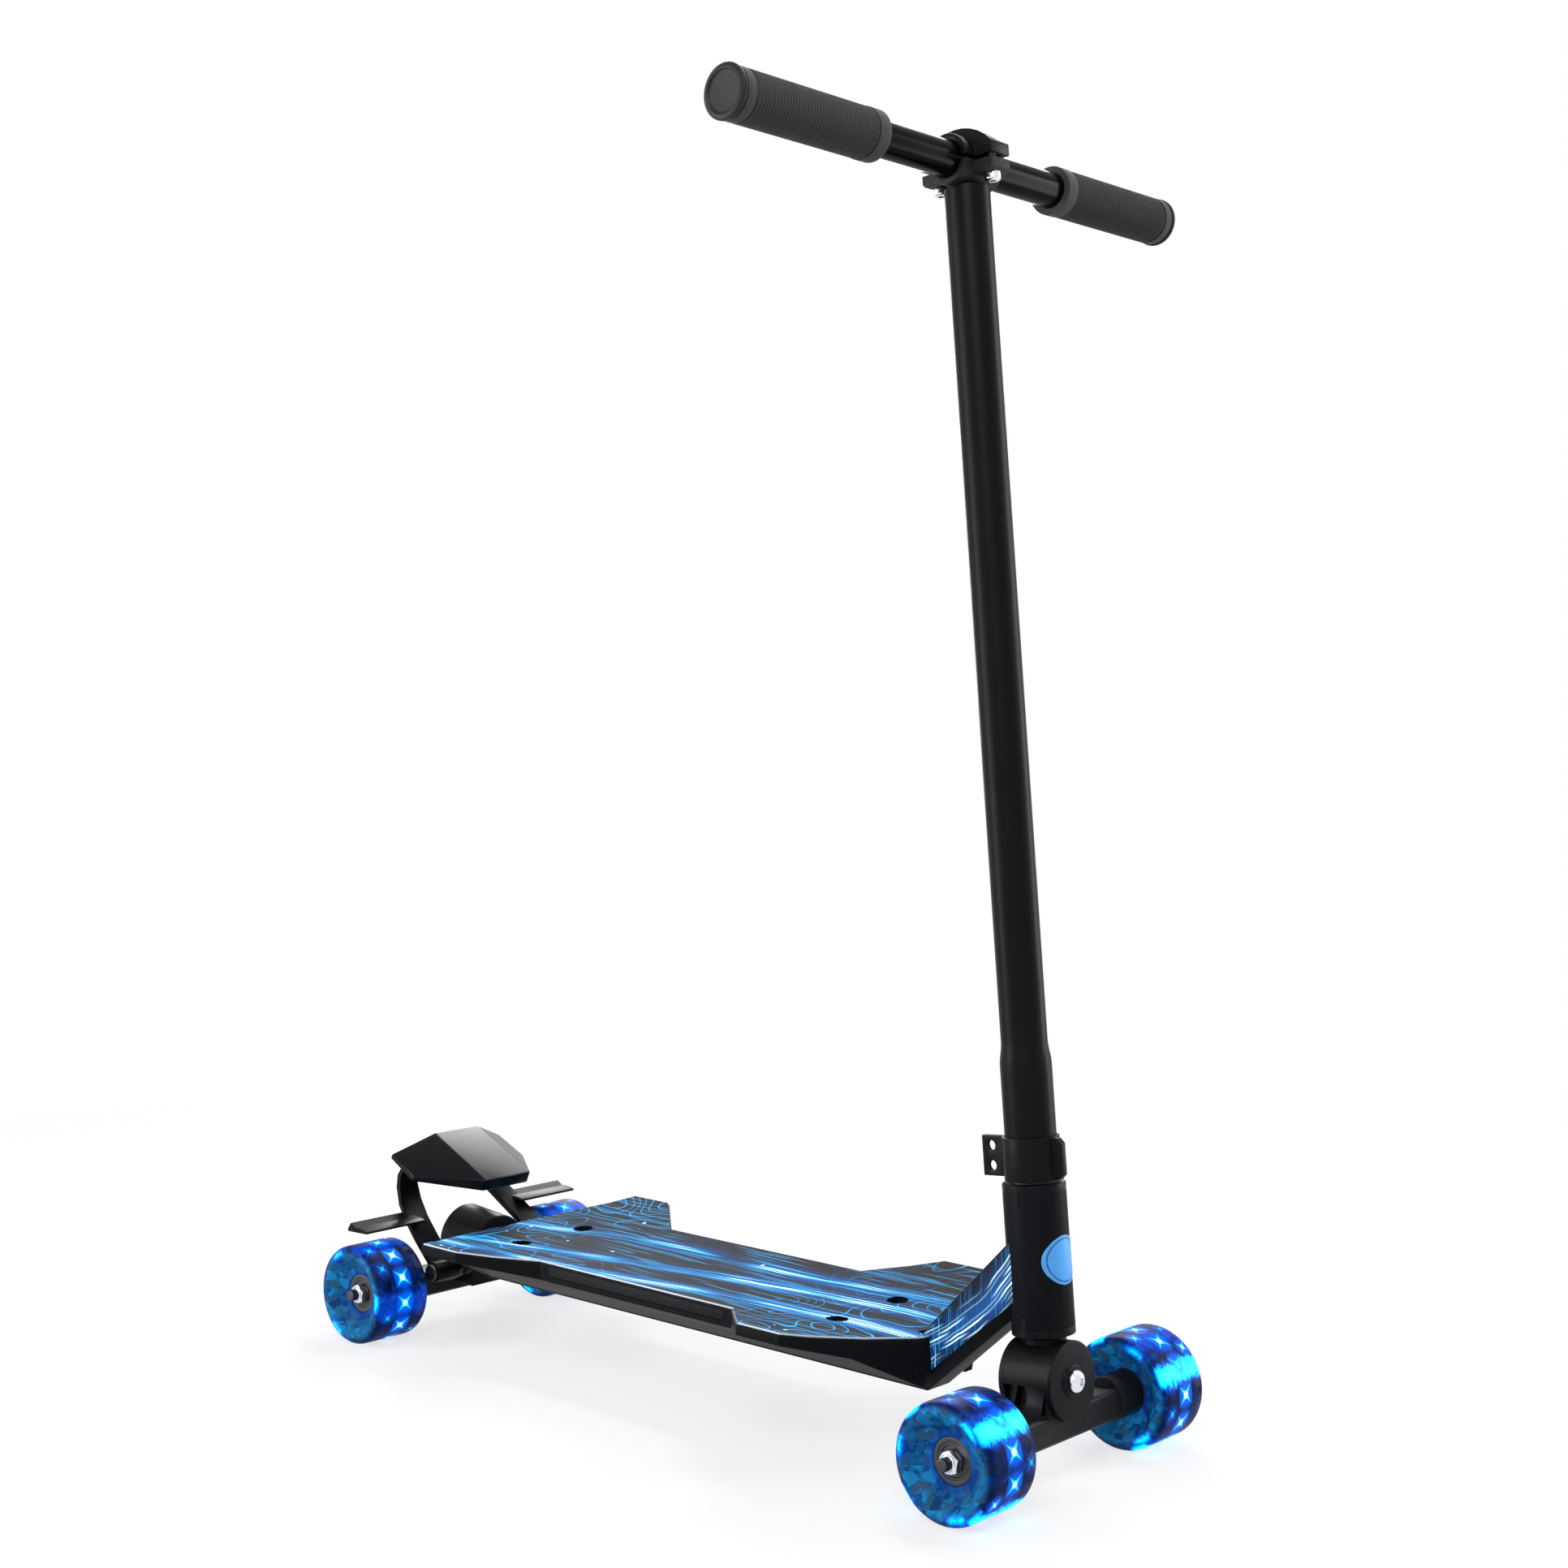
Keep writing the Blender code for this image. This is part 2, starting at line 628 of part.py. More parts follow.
def build_nut(name, side, seat, frame, centre, material):
    outline = [(centre[0] + a, centre[1] + b) for a, b in hexagon(NUT_ACROSS_FLATS)]
    near, far = side * seat, side * (seat + NUT_HEIGHT)
    nut = prism(name, outline, min(near, far), max(near, far), "Y", material, frame)
    # A turned cone takes the corners off the outer face.
    corner = NUT_ACROSS_FLATS / math.sqrt(3)
    cone = turn(
        "cone",
        [(0, side * (seat - 0.002)), (corner + 0.003, side * (seat - 0.002)),
         (corner + 0.003, side * (seat + NUT_HEIGHT - 0.0028)),
         (NUT_ACROSS_FLATS / 2 - 0.0004, side * (seat + NUT_HEIGHT + 0.0002)),
         (0, side * (seat + NUT_HEIGHT + 0.0002))],
        "Y", None, frame, centre, 18,
    )
    keep(nut, cone)
    bore = rod("bore", AXLE_RADIUS + GAP, side * (seat - 0.01), side * (seat + 0.02), "Y",
               None, frame, centre, 12)
    return cut(nut, bore)


def build_bushing(tag, span, frame, materials):
    """Rubber sleeve that centres the beam on its pivot bolt."""
    profile = [
        (PIVOT_BOLT_RADIUS + GAP, span[0]),
        (BUSHING_RADIUS, span[0]),
        (BUSHING_RADIUS, span[1]),
        (PIVOT_BOLT_RADIUS + GAP, span[1]),
    ]
    turn("pivot_bushing_" + tag, profile, "X", materials["elastomer"], frame, segments=16)


def crown_shell(name, length, frame, material, drops, additions=()):
    """Half round cover with an end plate at each end.

    drops holds how far the rear and front plates reach below the pivot. The additions
    are joined on before the inside and the bolt's hole are cut.
    """
    half = length / 2
    cover = rod(name, CROWN_RADIUS, -half, half, "X", material, frame, segments=ROUND)
    join(cover, *additions)
    wide = CROWN_RADIUS + 0.01
    inner = half - CROWN_PLATE
    cutters = [
        box("open", (-inner, -wide, -wide), (inner, wide, 0), frame),
        rod("inside", CROWN_RADIUS - CROWN_WALL, -inner, inner, "X", None, frame, segments=ROUND),
        rod("hole", PIVOT_BOLT_RADIUS + GAP, -half - 0.01, half + 0.01, "X", None, frame),
    ]
    if drops[0] < CROWN_RADIUS:
        cutters.append(box("low", (-half - 0.01, -wide, -wide), (0, wide, -drops[0]), frame))
    return cut(cover, *cutters)


def bolt_head_profile(seat, outward):
    """Domed button head on a pivot bolt, from the seat outwards."""
    height = PIVOT_HEAD_HEIGHT * outward
    radius = PIVOT_HEAD_RADIUS
    return [
        (radius, seat),
        (radius, seat + 0.3 * height),
        (0.86 * radius, seat + 0.72 * height),
        (0.5 * radius, seat + height),
        (0, seat + height),
    ]


def build_front_truck(materials):
    half = FRONT_CROWN_LENGTH / 2
    top = STEERER_TOP - FRONT_PIVOT_HEIGHT
    low = CROWN_RADIUS - CROWN_WALL + 0.0008
    steerer = turn(
        "steerer",
        [(0, low), (STEERER_RADIUS, low), (STEERER_RADIUS, top + STEERER_ABOVE), (0, top + STEERER_ABOVE)],
        "Z", None, FRONT_PIVOT,
    )
    boss = turn(
        "boss",
        [(0, half - 0.001), (PIVOT_BOSS_RADIUS + 0.0015, half - 0.001),
         (PIVOT_BOSS_RADIUS + 0.0015, half + 0.0002), (PIVOT_BOSS_RADIUS, half + PIVOT_BOSS_HEIGHT),
         (0, half + PIVOT_BOSS_HEIGHT)],
        "X", None, FRONT_PIVOT, segments=24,
    )
    crown_shell("fork_crown", FRONT_CROWN_LENGTH, FRONT_PIVOT, materials["satin_black"],
                (CROWN_RADIUS, CROWN_RADIUS), (steerer, boss))
    seat = half + PIVOT_BOSS_HEIGHT + GAP
    tail = -half - NUT_HEIGHT - 0.002
    bolt = [(0, tail), (PIVOT_BOLT_RADIUS, tail), (PIVOT_BOLT_RADIUS, seat)]
    turn("pivot_bolt_front", bolt + bolt_head_profile(seat, 1), "X", materials["chrome"],
         FRONT_PIVOT, segments=16)
    nut = prism("pivot_nut_front", hexagon(NUT_ACROSS_FLATS), -half - NUT_HEIGHT - GAP, -half - GAP, "X",
                materials["dark_steel"], FRONT_PIVOT)
    cut(nut, rod("bore", PIVOT_BOLT_RADIUS + GAP, -half - 0.02, half, "X", None, FRONT_PIVOT))
    span = (-half + CROWN_PLATE + GAP, half - CROWN_PLATE - GAP)
    axle = local_axle(FRONT_PIVOT, FRONT_AXLE_X)
    build_beam("front_beam", FRONT_PIVOT, axle, span, materials["satin_black"])
    build_bushing("front", span, FRONT_PIVOT, materials)
    build_axle("front", FRONT_PIVOT, axle, materials)


def local_axle(frame, axle_x):
    """Where the axle passes, as (x, z) in a pivot's frame."""
    place = frame.inverted() @ Vector((axle_x, 0, WHEEL_RADIUS))
    return place.x, place.z


def build_rear_truck(materials):
    half = REAR_CROWN_LENGTH / 2
    crown_shell("rear_crown", REAR_CROWN_LENGTH, REAR_PIVOT, materials["satin_black"],
                (REAR_PLATE_DROP, CROWN_RADIUS))
    seat = -half - GAP
    tail = half + PIVOT_THREAD_DEPTH
    bolt = [(0, tail), (PIVOT_BOLT_RADIUS, tail), (PIVOT_BOLT_RADIUS, seat)]
    turn("pivot_bolt_rear", bolt + bolt_head_profile(seat, -1), "X", materials["chrome"],
         REAR_PIVOT, segments=16)
    span = (-half + CROWN_PLATE + GAP, half - CROWN_PLATE - GAP)
    axle = local_axle(REAR_PIVOT, REAR_AXLE_X)
    beam = build_beam("rear_beam", REAR_PIVOT, axle, span, materials["satin_black"])
    add_brake_lugs(beam)
    build_bushing("rear", span, REAR_PIVOT, materials)
    build_axle("rear", REAR_PIVOT, axle, materials)


def add_brake_lugs(beam):
    """Two lugs that reach forward from the rear beam and hold the brake's pins."""
    outline = arc((0, 0), BRAKE_LUG_SIZE / 2, -90, 90, 6)
    outline += [(-BRAKE_LUG_REACH, BRAKE_LUG_ROOT[0]), (-BRAKE_LUG_REACH, BRAKE_LUG_ROOT[1])]
    lugs = []
    pins = []
    for side in (-1, 1):
        low_y, high_y = sorted((side * BRAKE_LUG_IN, side * BRAKE_LUG_OUT))
        lugs.append(prism("lug", outline, low_y, high_y, "Y", None, BRAKE_PIVOT))
        near, far = sorted((side * (BRAKE_LUG_IN + 0.0028), side * BRAKE_EYE_OUT))
        pins.append(rod("pins", BRAKE_PIN_RADIUS + GAP, near, far, "Y", None, BRAKE_PIVOT))
    join(beam, *lugs)
    cut(beam, *pins)


# Frame, headset and deck


def backbone_section(top, side, floor):
    """Six corners of the backbone, from (x, z) of its top, side and floor edges."""
    wide, narrow = BACKBONE_HALF_WIDTH, BACKBONE_FLOOR_HALF_WIDTH
    return [
        (top[0], wide, top[1]),
        (side[0], wide, side[1]),
        (floor[0], narrow, floor[1]),
        (floor[0], -narrow, floor[1]),
        (side[0], -wide, side[1]),
        (top[0], -wide, top[1]),
    ]


def tail_edge(height):
    """(x, z) on the rear crown's front plate at this height, with the gap that it keeps."""
    front = REAR_PIVOT @ Vector((REAR_CROWN_LENGTH / 2 + GAP, 0, 0))
    return front.x + (height - front.z) * math.tan(REAR_PIVOT_TILT), height


def build_main_frame(materials):
    """Head tube, neck and backbone as one weldment."""
    neck_end = backbone_section(
        (behind(NECK_TOP_END_BACK), NECK_TOP_END_HEIGHT),
        (behind(NECK_FLOOR_END_BACK) - 0.002, NECK_SIDE_END_HEIGHT),
        (behind(NECK_FLOOR_END_BACK), NECK_FLOOR_END_HEIGHT),
    )
    corner = backbone_section(
        (behind(NECK_TOP_START_BACK), BACKBONE_TOP),
        (behind(NECK_CORNER_BACK), BACKBONE_SIDE_BOTTOM),
        (behind(NECK_CORNER_BACK), BACKBONE_BOTTOM),
    )
    tail = backbone_section(
        tail_edge(BACKBONE_TOP), tail_edge(BACKBONE_SIDE_BOTTOM), tail_edge(BACKBONE_BOTTOM)
    )
    frame = loft("main_frame", [neck_end, corner, tail], materials["satin_black"])
    round_neck_edges(frame)
    tube = rod("tube", HEAD_TUBE_RADIUS, HEAD_TUBE_BOTTOM, HEAD_TUBE_TOP, "Z", None, STEERING,
               segments=20)
    join(frame, tube)
    join(frame, *cross_plates(0.0, CROSS_PLATE_THICKNESS))
    cutters = [rod("bore", HEAD_TUBE_RADIUS - HEAD_TUBE_WALL, HEAD_TUBE_BOTTOM - 0.05,
                   HEAD_TUBE_TOP + 0.05, "Z", None, STEERING, segments=20)]
    cutters += backbone_hollow()
    cutters.append(rod("thread", PIVOT_BOLT_RADIUS + GAP, REAR_CROWN_LENGTH / 2 - 0.01,
                       REAR_CROWN_LENGTH / 2 + PIVOT_THREAD_DEPTH + GAP, "X", None, REAR_PIVOT))
    for x, y in deck_screw_places():
        cutters.append(rod("screw", SCREW_RADIUS + GAP, BACKBONE_TOP - 0.02, BACKBONE_TOP + 0.02,
                           "Z", None, None, (x, y), 12))
    return cut(frame, *cutters)


def backbone_hollow():
    """Inside of the backbone, from the neck to the plug that takes the rear pivot bolt."""
    wall = BACKBONE_WALL
    wide = BACKBONE_HALF_WIDTH - wall
    narrow = BACKBONE_FLOOR_HALF_WIDTH - wall / 3
    low, side = BACKBONE_BOTTOM + wall, BACKBONE_SIDE_BOTTOM + wall / 3
    top = BACKBONE_TOP - wall
    outline = [(wide, top), (wide, side), (narrow, low), (-narrow, low), (-wide, side), (-wide, top)]
    start = behind(NECK_TOP_START_BACK)
    inside = prism("inside", outline, tail_edge(low)[0] + BACKBONE_PLUG, start, "X")
    vent = rod("vent", BACKBONE_VENT_RADIUS, BACKBONE_BOTTOM - 0.01, BACKBONE_BOTTOM + 0.01, "Z",
               centre=(start - BACKBONE_PLUG, 0), segments=12)
    return [inside, vent]


def cross_plates(gap, depth):
    """The two plates across the backbone that carry the deck, grown by a gap all round."""
    plates = []
    for back in (DECK_SCREW_FRONT_BACK, DECK_SCREW_REAR_BACK):
        middle = behind(back)
        half_length = CROSS_PLATE_LENGTH / 2 + gap
        half_width = CROSS_PLATE_HALF_WIDTH + gap
        top = BACKBONE_TOP - CROSS_PLATE_DROP
        plates.append(box("plate", (middle - half_length, -half_width, top - depth),
                          (middle + half_length, half_width, top + gap)))
    return plates


def round_neck_edges(frame):
    """Rounds the two long top edges of the neck."""
    bm = bmesh.new()
    bm.from_mesh(frame.data)
    edges = []
    for edge in bm.edges:
        a, b = (vertex.co for vertex in edge.verts)
        along_side = abs(abs(a.y) - BACKBONE_HALF_WIDTH) < 1e-6 and abs(a.y - b.y) < 1e-6
        rises = min(a.z, b.z) > BACKBONE_TOP - 1e-6 and max(a.z, b.z) > NECK_TOP_END_HEIGHT - 1e-6
        if along_side and rises:
            edges.append(edge)
    bmesh.ops.bevel(bm, geom=edges, offset=NECK_EDGE_ROUND, segments=2, profile=0.5,
                    affect="EDGES")
    bm.to_mesh(frame.data)
    bm.free()
    smooth(frame)


def build_headset(materials):
    bore = HEAD_TUBE_RADIUS - HEAD_TUBE_WALL
    sleeve = bore - GAP
    seat = sleeve - CUP_WALL
    hole = STEERER_RADIUS + RUNNING_GAP
    for word, edge, up in (("lower", HEAD_TUBE_BOTTOM, 1), ("upper", HEAD_TUBE_TOP, -1)):
        lip = edge - up * CUP_LIP
        floor = lip + up * 0.003
        face = edge - up * GAP
        cup = [
            (hole, lip),
            (HEAD_TUBE_RADIUS - 0.0006, lip),
            (HEAD_TUBE_RADIUS, lip + up * 0.0006),
            (HEAD_TUBE_RADIUS, face),
            (sleeve, face),
            (sleeve, edge + up * CUP_DEPTH),
            (seat, edge + up * CUP_DEPTH),
            (seat, floor),
            (hole, floor),
        ]
        turn("headset_cup_" + word, cup, "Z", materials["satin_black"], STEERING, segments=20)
        low = floor + up * GAP
        bearing = [
            (STEERER_RADIUS + GAP, low),
            (seat - GAP, low),
            (seat - GAP, low + up * HEADSET_BEARING_WIDTH),
            (STEERER_RADIUS + GAP, low + up * HEADSET_BEARING_WIDTH),
        ]
        turn("headset_bearing_" + word, bearing, "Z", materials["dark_steel"], STEERING,
             segments=20)


def deck_outline(inset=0.0):
    """Plan of the deck, shrunk by inset, as (x, y) points anticlockwise from the nose."""
    half = [
        (behind(DECK_NOSE_BACK), DECK_NOSE_OUT),
        (behind(DECK_FRONT_WING_START_BACK), DECK_FRONT_WING_OUT),
        (behind(DECK_FRONT_WING_END_BACK), DECK_FRONT_WING_OUT),
        (behind(DECK_WAIST_START_BACK), DECK_WAIST_OUT),
        (behind(DECK_WAIST_END_BACK), DECK_WAIST_OUT),
        (behind(DECK_REAR_WING_START_BACK), DECK_REAR_WING_OUT),
        (behind(DECK_REAR_WING_END_BACK), DECK_REAR_WING_OUT),
        (behind(DECK_TAIL_SHOULDER_BACK), DECK_TAIL_SHOULDER_OUT),
        (behind(DECK_TAIL_BACK), DECK_NOSE_OUT),
    ]
    whole = half + [(x, -y) for x, y in reversed(half)]
    return shrink(whole, inset) if inset else whole


def shrink(outline, inset):
    """Moves each side of an anticlockwise outline inwards."""
    moved = []
    count = len(outline)
    for i in range(count):
        before = Vector(outline[i - 1])
        here = Vector(outline[i])
        after = Vector(outline[(i + 1) % count])
        first = (here - before).normalized()
        second = (after - here).normalized()
        inward_first = Vector((-first.y, first.x))
        inward_second = Vector((-second.y, second.x))
        bisector = (inward_first + inward_second).normalized()
        moved.append(tuple(here + bisector * inset / max(bisector.dot(inward_first), 0.2)))
    return moved


def deck_top(y):
    return DECK_CROWN_HEIGHT + DECK_DISH * y * y


def deck_section(lift, under):
    """Cross-section of the deck between its dished top, moved by lift, and its underside."""
    wide = max(DECK_REAR_WING_OUT, DECK_FRONT_WING_OUT) + 0.01
    steps = 8
    top = []
    for i in range(steps + 1):
        y = -wide + 2 * wide * i / steps
        top.append((y, deck_top(y) + lift))
    if under is None:
        bottom = [(y, z - DECK_SHEET) for y, z in reversed(top)]
        return top + bottom
    return top + [(side * y, z) for side, points in ((1, under[::-1]), (-1, under)) for y, z in points]


def deck_underside():
    """Half of the hull's underside, from its keel out past the wings, as (y, z)."""
    slope = (DECK_WING_HEIGHT - DECK_CHINE_HEIGHT) / (DECK_REAR_WING_OUT - DECK_WAIST_OUT)
    return [
        (DECK_KEEL_OUT, DECK_KEEL_HEIGHT),
        (DECK_WAIST_OUT, DECK_CHINE_HEIGHT),
        (DECK_REAR_WING_OUT + 0.01, DECK_WING_HEIGHT + 0.01 * slope),
    ]


def deck_screw_places():
    places = []
    for back in (DECK_SCREW_FRONT_BACK, DECK_SCREW_REAR_BACK):
        for side in (-1, 1):
            places.append((behind(back), side * DECK_SCREW_OUT))
    return places


def backbone_slot():
    """Space that the backbone takes out of the deck shell."""
    width = BACKBONE_HALF_WIDTH + GAP
    return box("slot", (behind(DECK_TAIL_BACK + 0.02), -width, 0),
               (behind(0), width, BACKBONE_TOP + GAP))


def neck_slot():
    """Space that the neck takes out of the deck shell and its sheet."""
    rise = (NECK_TOP_END_HEIGHT - BACKBONE_TOP) / (NECK_TOP_START_BACK - NECK_TOP_END_BACK)
    back = NECK_TOP_START_BACK + 2 * DECK_NECK_CLEARANCE
    wall = [
        (behind(back), BACKBONE_TOP - 0.001),
        (behind(0), BACKBONE_TOP - 0.001),
        (behind(0), BACKBONE_TOP + rise * back + 0.01),
        (behind(back - 0.05), BACKBONE_TOP + rise * 0.05),
    ]
    clear = BACKBONE_HALF_WIDTH + DECK_NECK_CLEARANCE
    return prism("neck", wall, -clear, clear, "Y")


def build_deck(materials):
    x_low = behind(DECK_TAIL_BACK + 0.03)
    x_high = behind(0)
    shell = prism("deck_shell", deck_outline(), DECK_BLANK_LOW, DECK_BLANK_HIGH, "Z",
                  materials["moulded_black"])
    profile = prism("profile", deck_section(-DECK_SHEET - GAP, deck_underside()), x_low, x_high, "X")
    keep(shell, profile)
    cut(shell, backbone_slot(), neck_slot(), *cross_plates(GAP, DECK_BLANK_MARGIN))
    cut(shell, *deck_pockets())
    bosses = []
    for x, y in deck_screw_places():
        bosses.append(rod("boss", DECK_BOSS_RADIUS, BACKBONE_TOP + GAP, DECK_CROWN_HEIGHT - 0.003, "Z",
                          None, None, (x, y), SMALL_ROUND))
    join(shell, *bosses)
    holes = []
    for x, y in deck_screw_places():
        holes.append(rod("counterbore", DECK_HOLE_RADIUS, SCREW_SEAT_HEIGHT, DECK_BLANK_HIGH, "Z",
                         None, None, (x, y), 18))
        holes.append(rod("through", SCREW_RADIUS + GAP, DECK_BLANK_LOW, DECK_BLANK_HIGH, "Z",
                         None, None, (x, y), 12))
    for side in (-1, 1):
        outer = side * (DECK_WAIST_OUT + 0.002)
        inner = side * (DECK_WAIST_OUT - PANEL_INSET - GAP)
        low_y, high_y = min(outer, inner), max(outer, inner)
        holes.append(box(
            "recess",
            (behind(DECK_WAIST_END_BACK - PANEL_BORDER), low_y, PANEL_LOW),
            (behind(DECK_WAIST_START_BACK + PANEL_BORDER), high_y, PANEL_HIGH),
        ))
    cut(shell, *holes)
    sheet = prism("deck_sheet", deck_outline(DECK_SHEET_INSET), DECK_BLANK_LOW, DECK_BLANK_HIGH, "Z",
                  materials["deck_graphic"])
    skin = prism("skin", deck_section(0, None), x_low, x_high, "X")
    keep(sheet, skin)
    rings = []
    for x, y in deck_screw_places():
        rings.append(rod("hole", DECK_HOLE_RADIUS, DECK_BLANK_LOW, DECK_BLANK_HIGH, "Z", None, None,
                         (x, y), 18))
    cut(sheet, neck_slot(), *rings)
    build_side_panels(materials)
    build_deck_screws(materials)


def deck_pockets():
    """Moulding pockets under the deck, with ribs left between them."""
    start = DECK_WAIST_START_BACK
    length = (DECK_WAIST_END_BACK - DECK_WAIST_START_BACK - DECK_RIB) / DECK_POCKETS
    inner = BACKBONE_HALF_WIDTH + DECK_RIB
    outer = DECK_WAIST_OUT - PANEL_INSET - DECK_RIB
    ceiling = DECK_CROWN_HEIGHT - DECK_SHEET - DECK_SKIN
    pockets = []
    for i in range(DECK_POCKETS):
        near = start + DECK_RIB + i * length
        far = near + length - DECK_RIB
        for side in (-1, 1):
            low_y, high_y = sorted((side * inner, side * outer))
            pockets.append(box("pocket", (behind(far), low_y, DECK_BLANK_LOW),
                               (behind(near), high_y, ceiling)))
    return pockets


def build_side_panels(materials):
    """Textured strips let into the sides of the deck's waist."""
    for side, word in ((1, "left"), (-1, "right")):
        low_y, high_y = sorted((side * (DECK_WAIST_OUT - PANEL_INSET), side * (DECK_WAIST_OUT - GAP)))
        box_object = box(
            "side_panel_" + word,
            (behind(DECK_WAIST_END_BACK - PANEL_BORDER) + GAP, low_y, PANEL_LOW + GAP),
            (behind(DECK_WAIST_START_BACK + PANEL_BORDER) - GAP, high_y, PANEL_HIGH - GAP),
        )
        box_object.data.materials.append(materials["textured_black"])


def build_deck_screws(materials):
    for i, (x, y) in enumerate(deck_screw_places()):
        seat = SCREW_SEAT_HEIGHT + GAP
        top = seat + SCREW_HEAD_HEIGHT
        tip = BACKBONE_TOP - CROSS_PLATE_THICKNESS - 0.004
        crown = SCREW_HEAD_RADIUS * 0.7
        profile = [
            (0, tip), (SCREW_RADIUS, tip), (SCREW_RADIUS, seat), (SCREW_HEAD_RADIUS, seat),
            (SCREW_HEAD_RADIUS, seat + 0.6 * SCREW_HEAD_HEIGHT), (crown, top), (0, top),
        ]
        turn("deck_screw_%d" % (i + 1), profile, "Z", materials["dark_steel"], None, (x, y), 12)


# Steering column, clamp and handlebar


def bar_frame():
    return STEERING @ Matrix.Translation((0, 0, BAR_HEIGHT))


def build_stem(materials):
    swage = SOCKET_BOTTOM + SOCKET_LENGTH
    top = BAR_HEIGHT - 0.004
    profile = [
        (SOCKET_RADIUS - STEM_WALL, SOCKET_BOTTOM),
        (SOCKET_RADIUS, SOCKET_BOTTOM),
        (SOCKET_RADIUS, swage),
        (STEM_RADIUS, swage + SWAGE_LENGTH),
        (STEM_RADIUS, top),
        (STEM_RADIUS - STEM_WALL, top),
        (STEM_RADIUS - STEM_WALL, swage + SWAGE_LENGTH),
        (SOCKET_RADIUS - STEM_WALL, swage),
    ]
    stem = turn("stem_tube", profile, "Z", materials["satin_black"], STEERING)
    slit = box("slit", (0.005, -SLIT_WIDTH / 2, SOCKET_BOTTOM - 0.01),
               (0.03, SLIT_WIDTH / 2, SOCKET_BOTTOM + SLIT_LENGTH), STEERING)
    ring = BAR_RADIUS + CLAMP_WALL + GAP
    cope = rod("cope", ring, -0.03, 0.03, "Y", None, STEERING, (0, BAR_HEIGHT), ROUND)
    ear_floor = BAR_HEIGHT - clamp_ear_floor() - GAP
    shelf = box("shelf", (-0.04, -0.03, ear_floor), (0.04, 0.03, BAR_HEIGHT + 0.03), STEERING)
    cut(stem, slit, cope, shelf)
    sleeve_low = STEERER_TOP + GAP
    sleeve = [
        (STEERER_RADIUS + GAP, sleeve_low),
        (SLEEVE_RADIUS, sleeve_low),
        (SLEEVE_RADIUS, sleeve_low + SLEEVE_LENGTH),
        (STEERER_RADIUS + GAP, sleeve_low + SLEEVE_LENGTH),
    ]
    turn("steerer_sleeve", sleeve, "Z", materials["dark_steel"], STEERING, segments=20)


def build_collar(materials):
    bore = SOCKET_RADIUS + GAP
    outer = bore + COLLAR_WALL
    low, high = COLLAR_BOTTOM, COLLAR_BOTTOM + COLLAR_HEIGHT
    collar = rod("clamp_collar", outer, low, high, "Z", materials["satin_black"], STEERING,
                 segments=ROUND)
    cheek = EAR_GAP / 2 + EAR_THICKNESS
    ears = box("ears", (-EAR_REACH, -cheek, low + EAR_TRIM), (-bore + 0.006, cheek, high - EAR_TRIM),
               STEERING)
    chamfer = FIN_CHAMFER
    fin = [
        (bore - 0.006, low + EAR_TRIM),
        (FIN_REACH - chamfer, low + EAR_TRIM),
        (FIN_REACH, low + EAR_TRIM + chamfer),
        (FIN_REACH, high - EAR_TRIM - chamfer),
        (FIN_REACH - chamfer, high - EAR_TRIM),
        (bore - 0.006, high - EAR_TRIM),
    ]
    fin_rib = prism("fin", fin, -FIN_THICKNESS / 2, FIN_THICKNESS / 2, "Y", None, STEERING)
    join(collar, ears, fin_rib)
    cutters = [
        rod("bore", bore, low - 0.01, high + 0.01, "Z", None, STEERING, segments=ROUND),
        box("slot", (-EAR_REACH - 0.01, -EAR_GAP / 2, low - 0.01), (0, EAR_GAP / 2, high + 0.01),
            STEERING),
    ]
    middle = (low + high) / 2
    for step in (-0.5, 0.5):
        cutters.append(rod("hole", EAR_HOLE_RADIUS, -0.02, 0.02, "Y", None, STEERING,
                           (-EAR_HOLE_REACH, middle + step * EAR_HOLE_SPACING)))
    return cut(collar, *cutters)


def clamp_ear_floor():
    """How far below the bar's axis the saddle's ears end."""
    return CLAMP_SPLIT + 0.0005 + CLAMP_EAR_THICKNESS


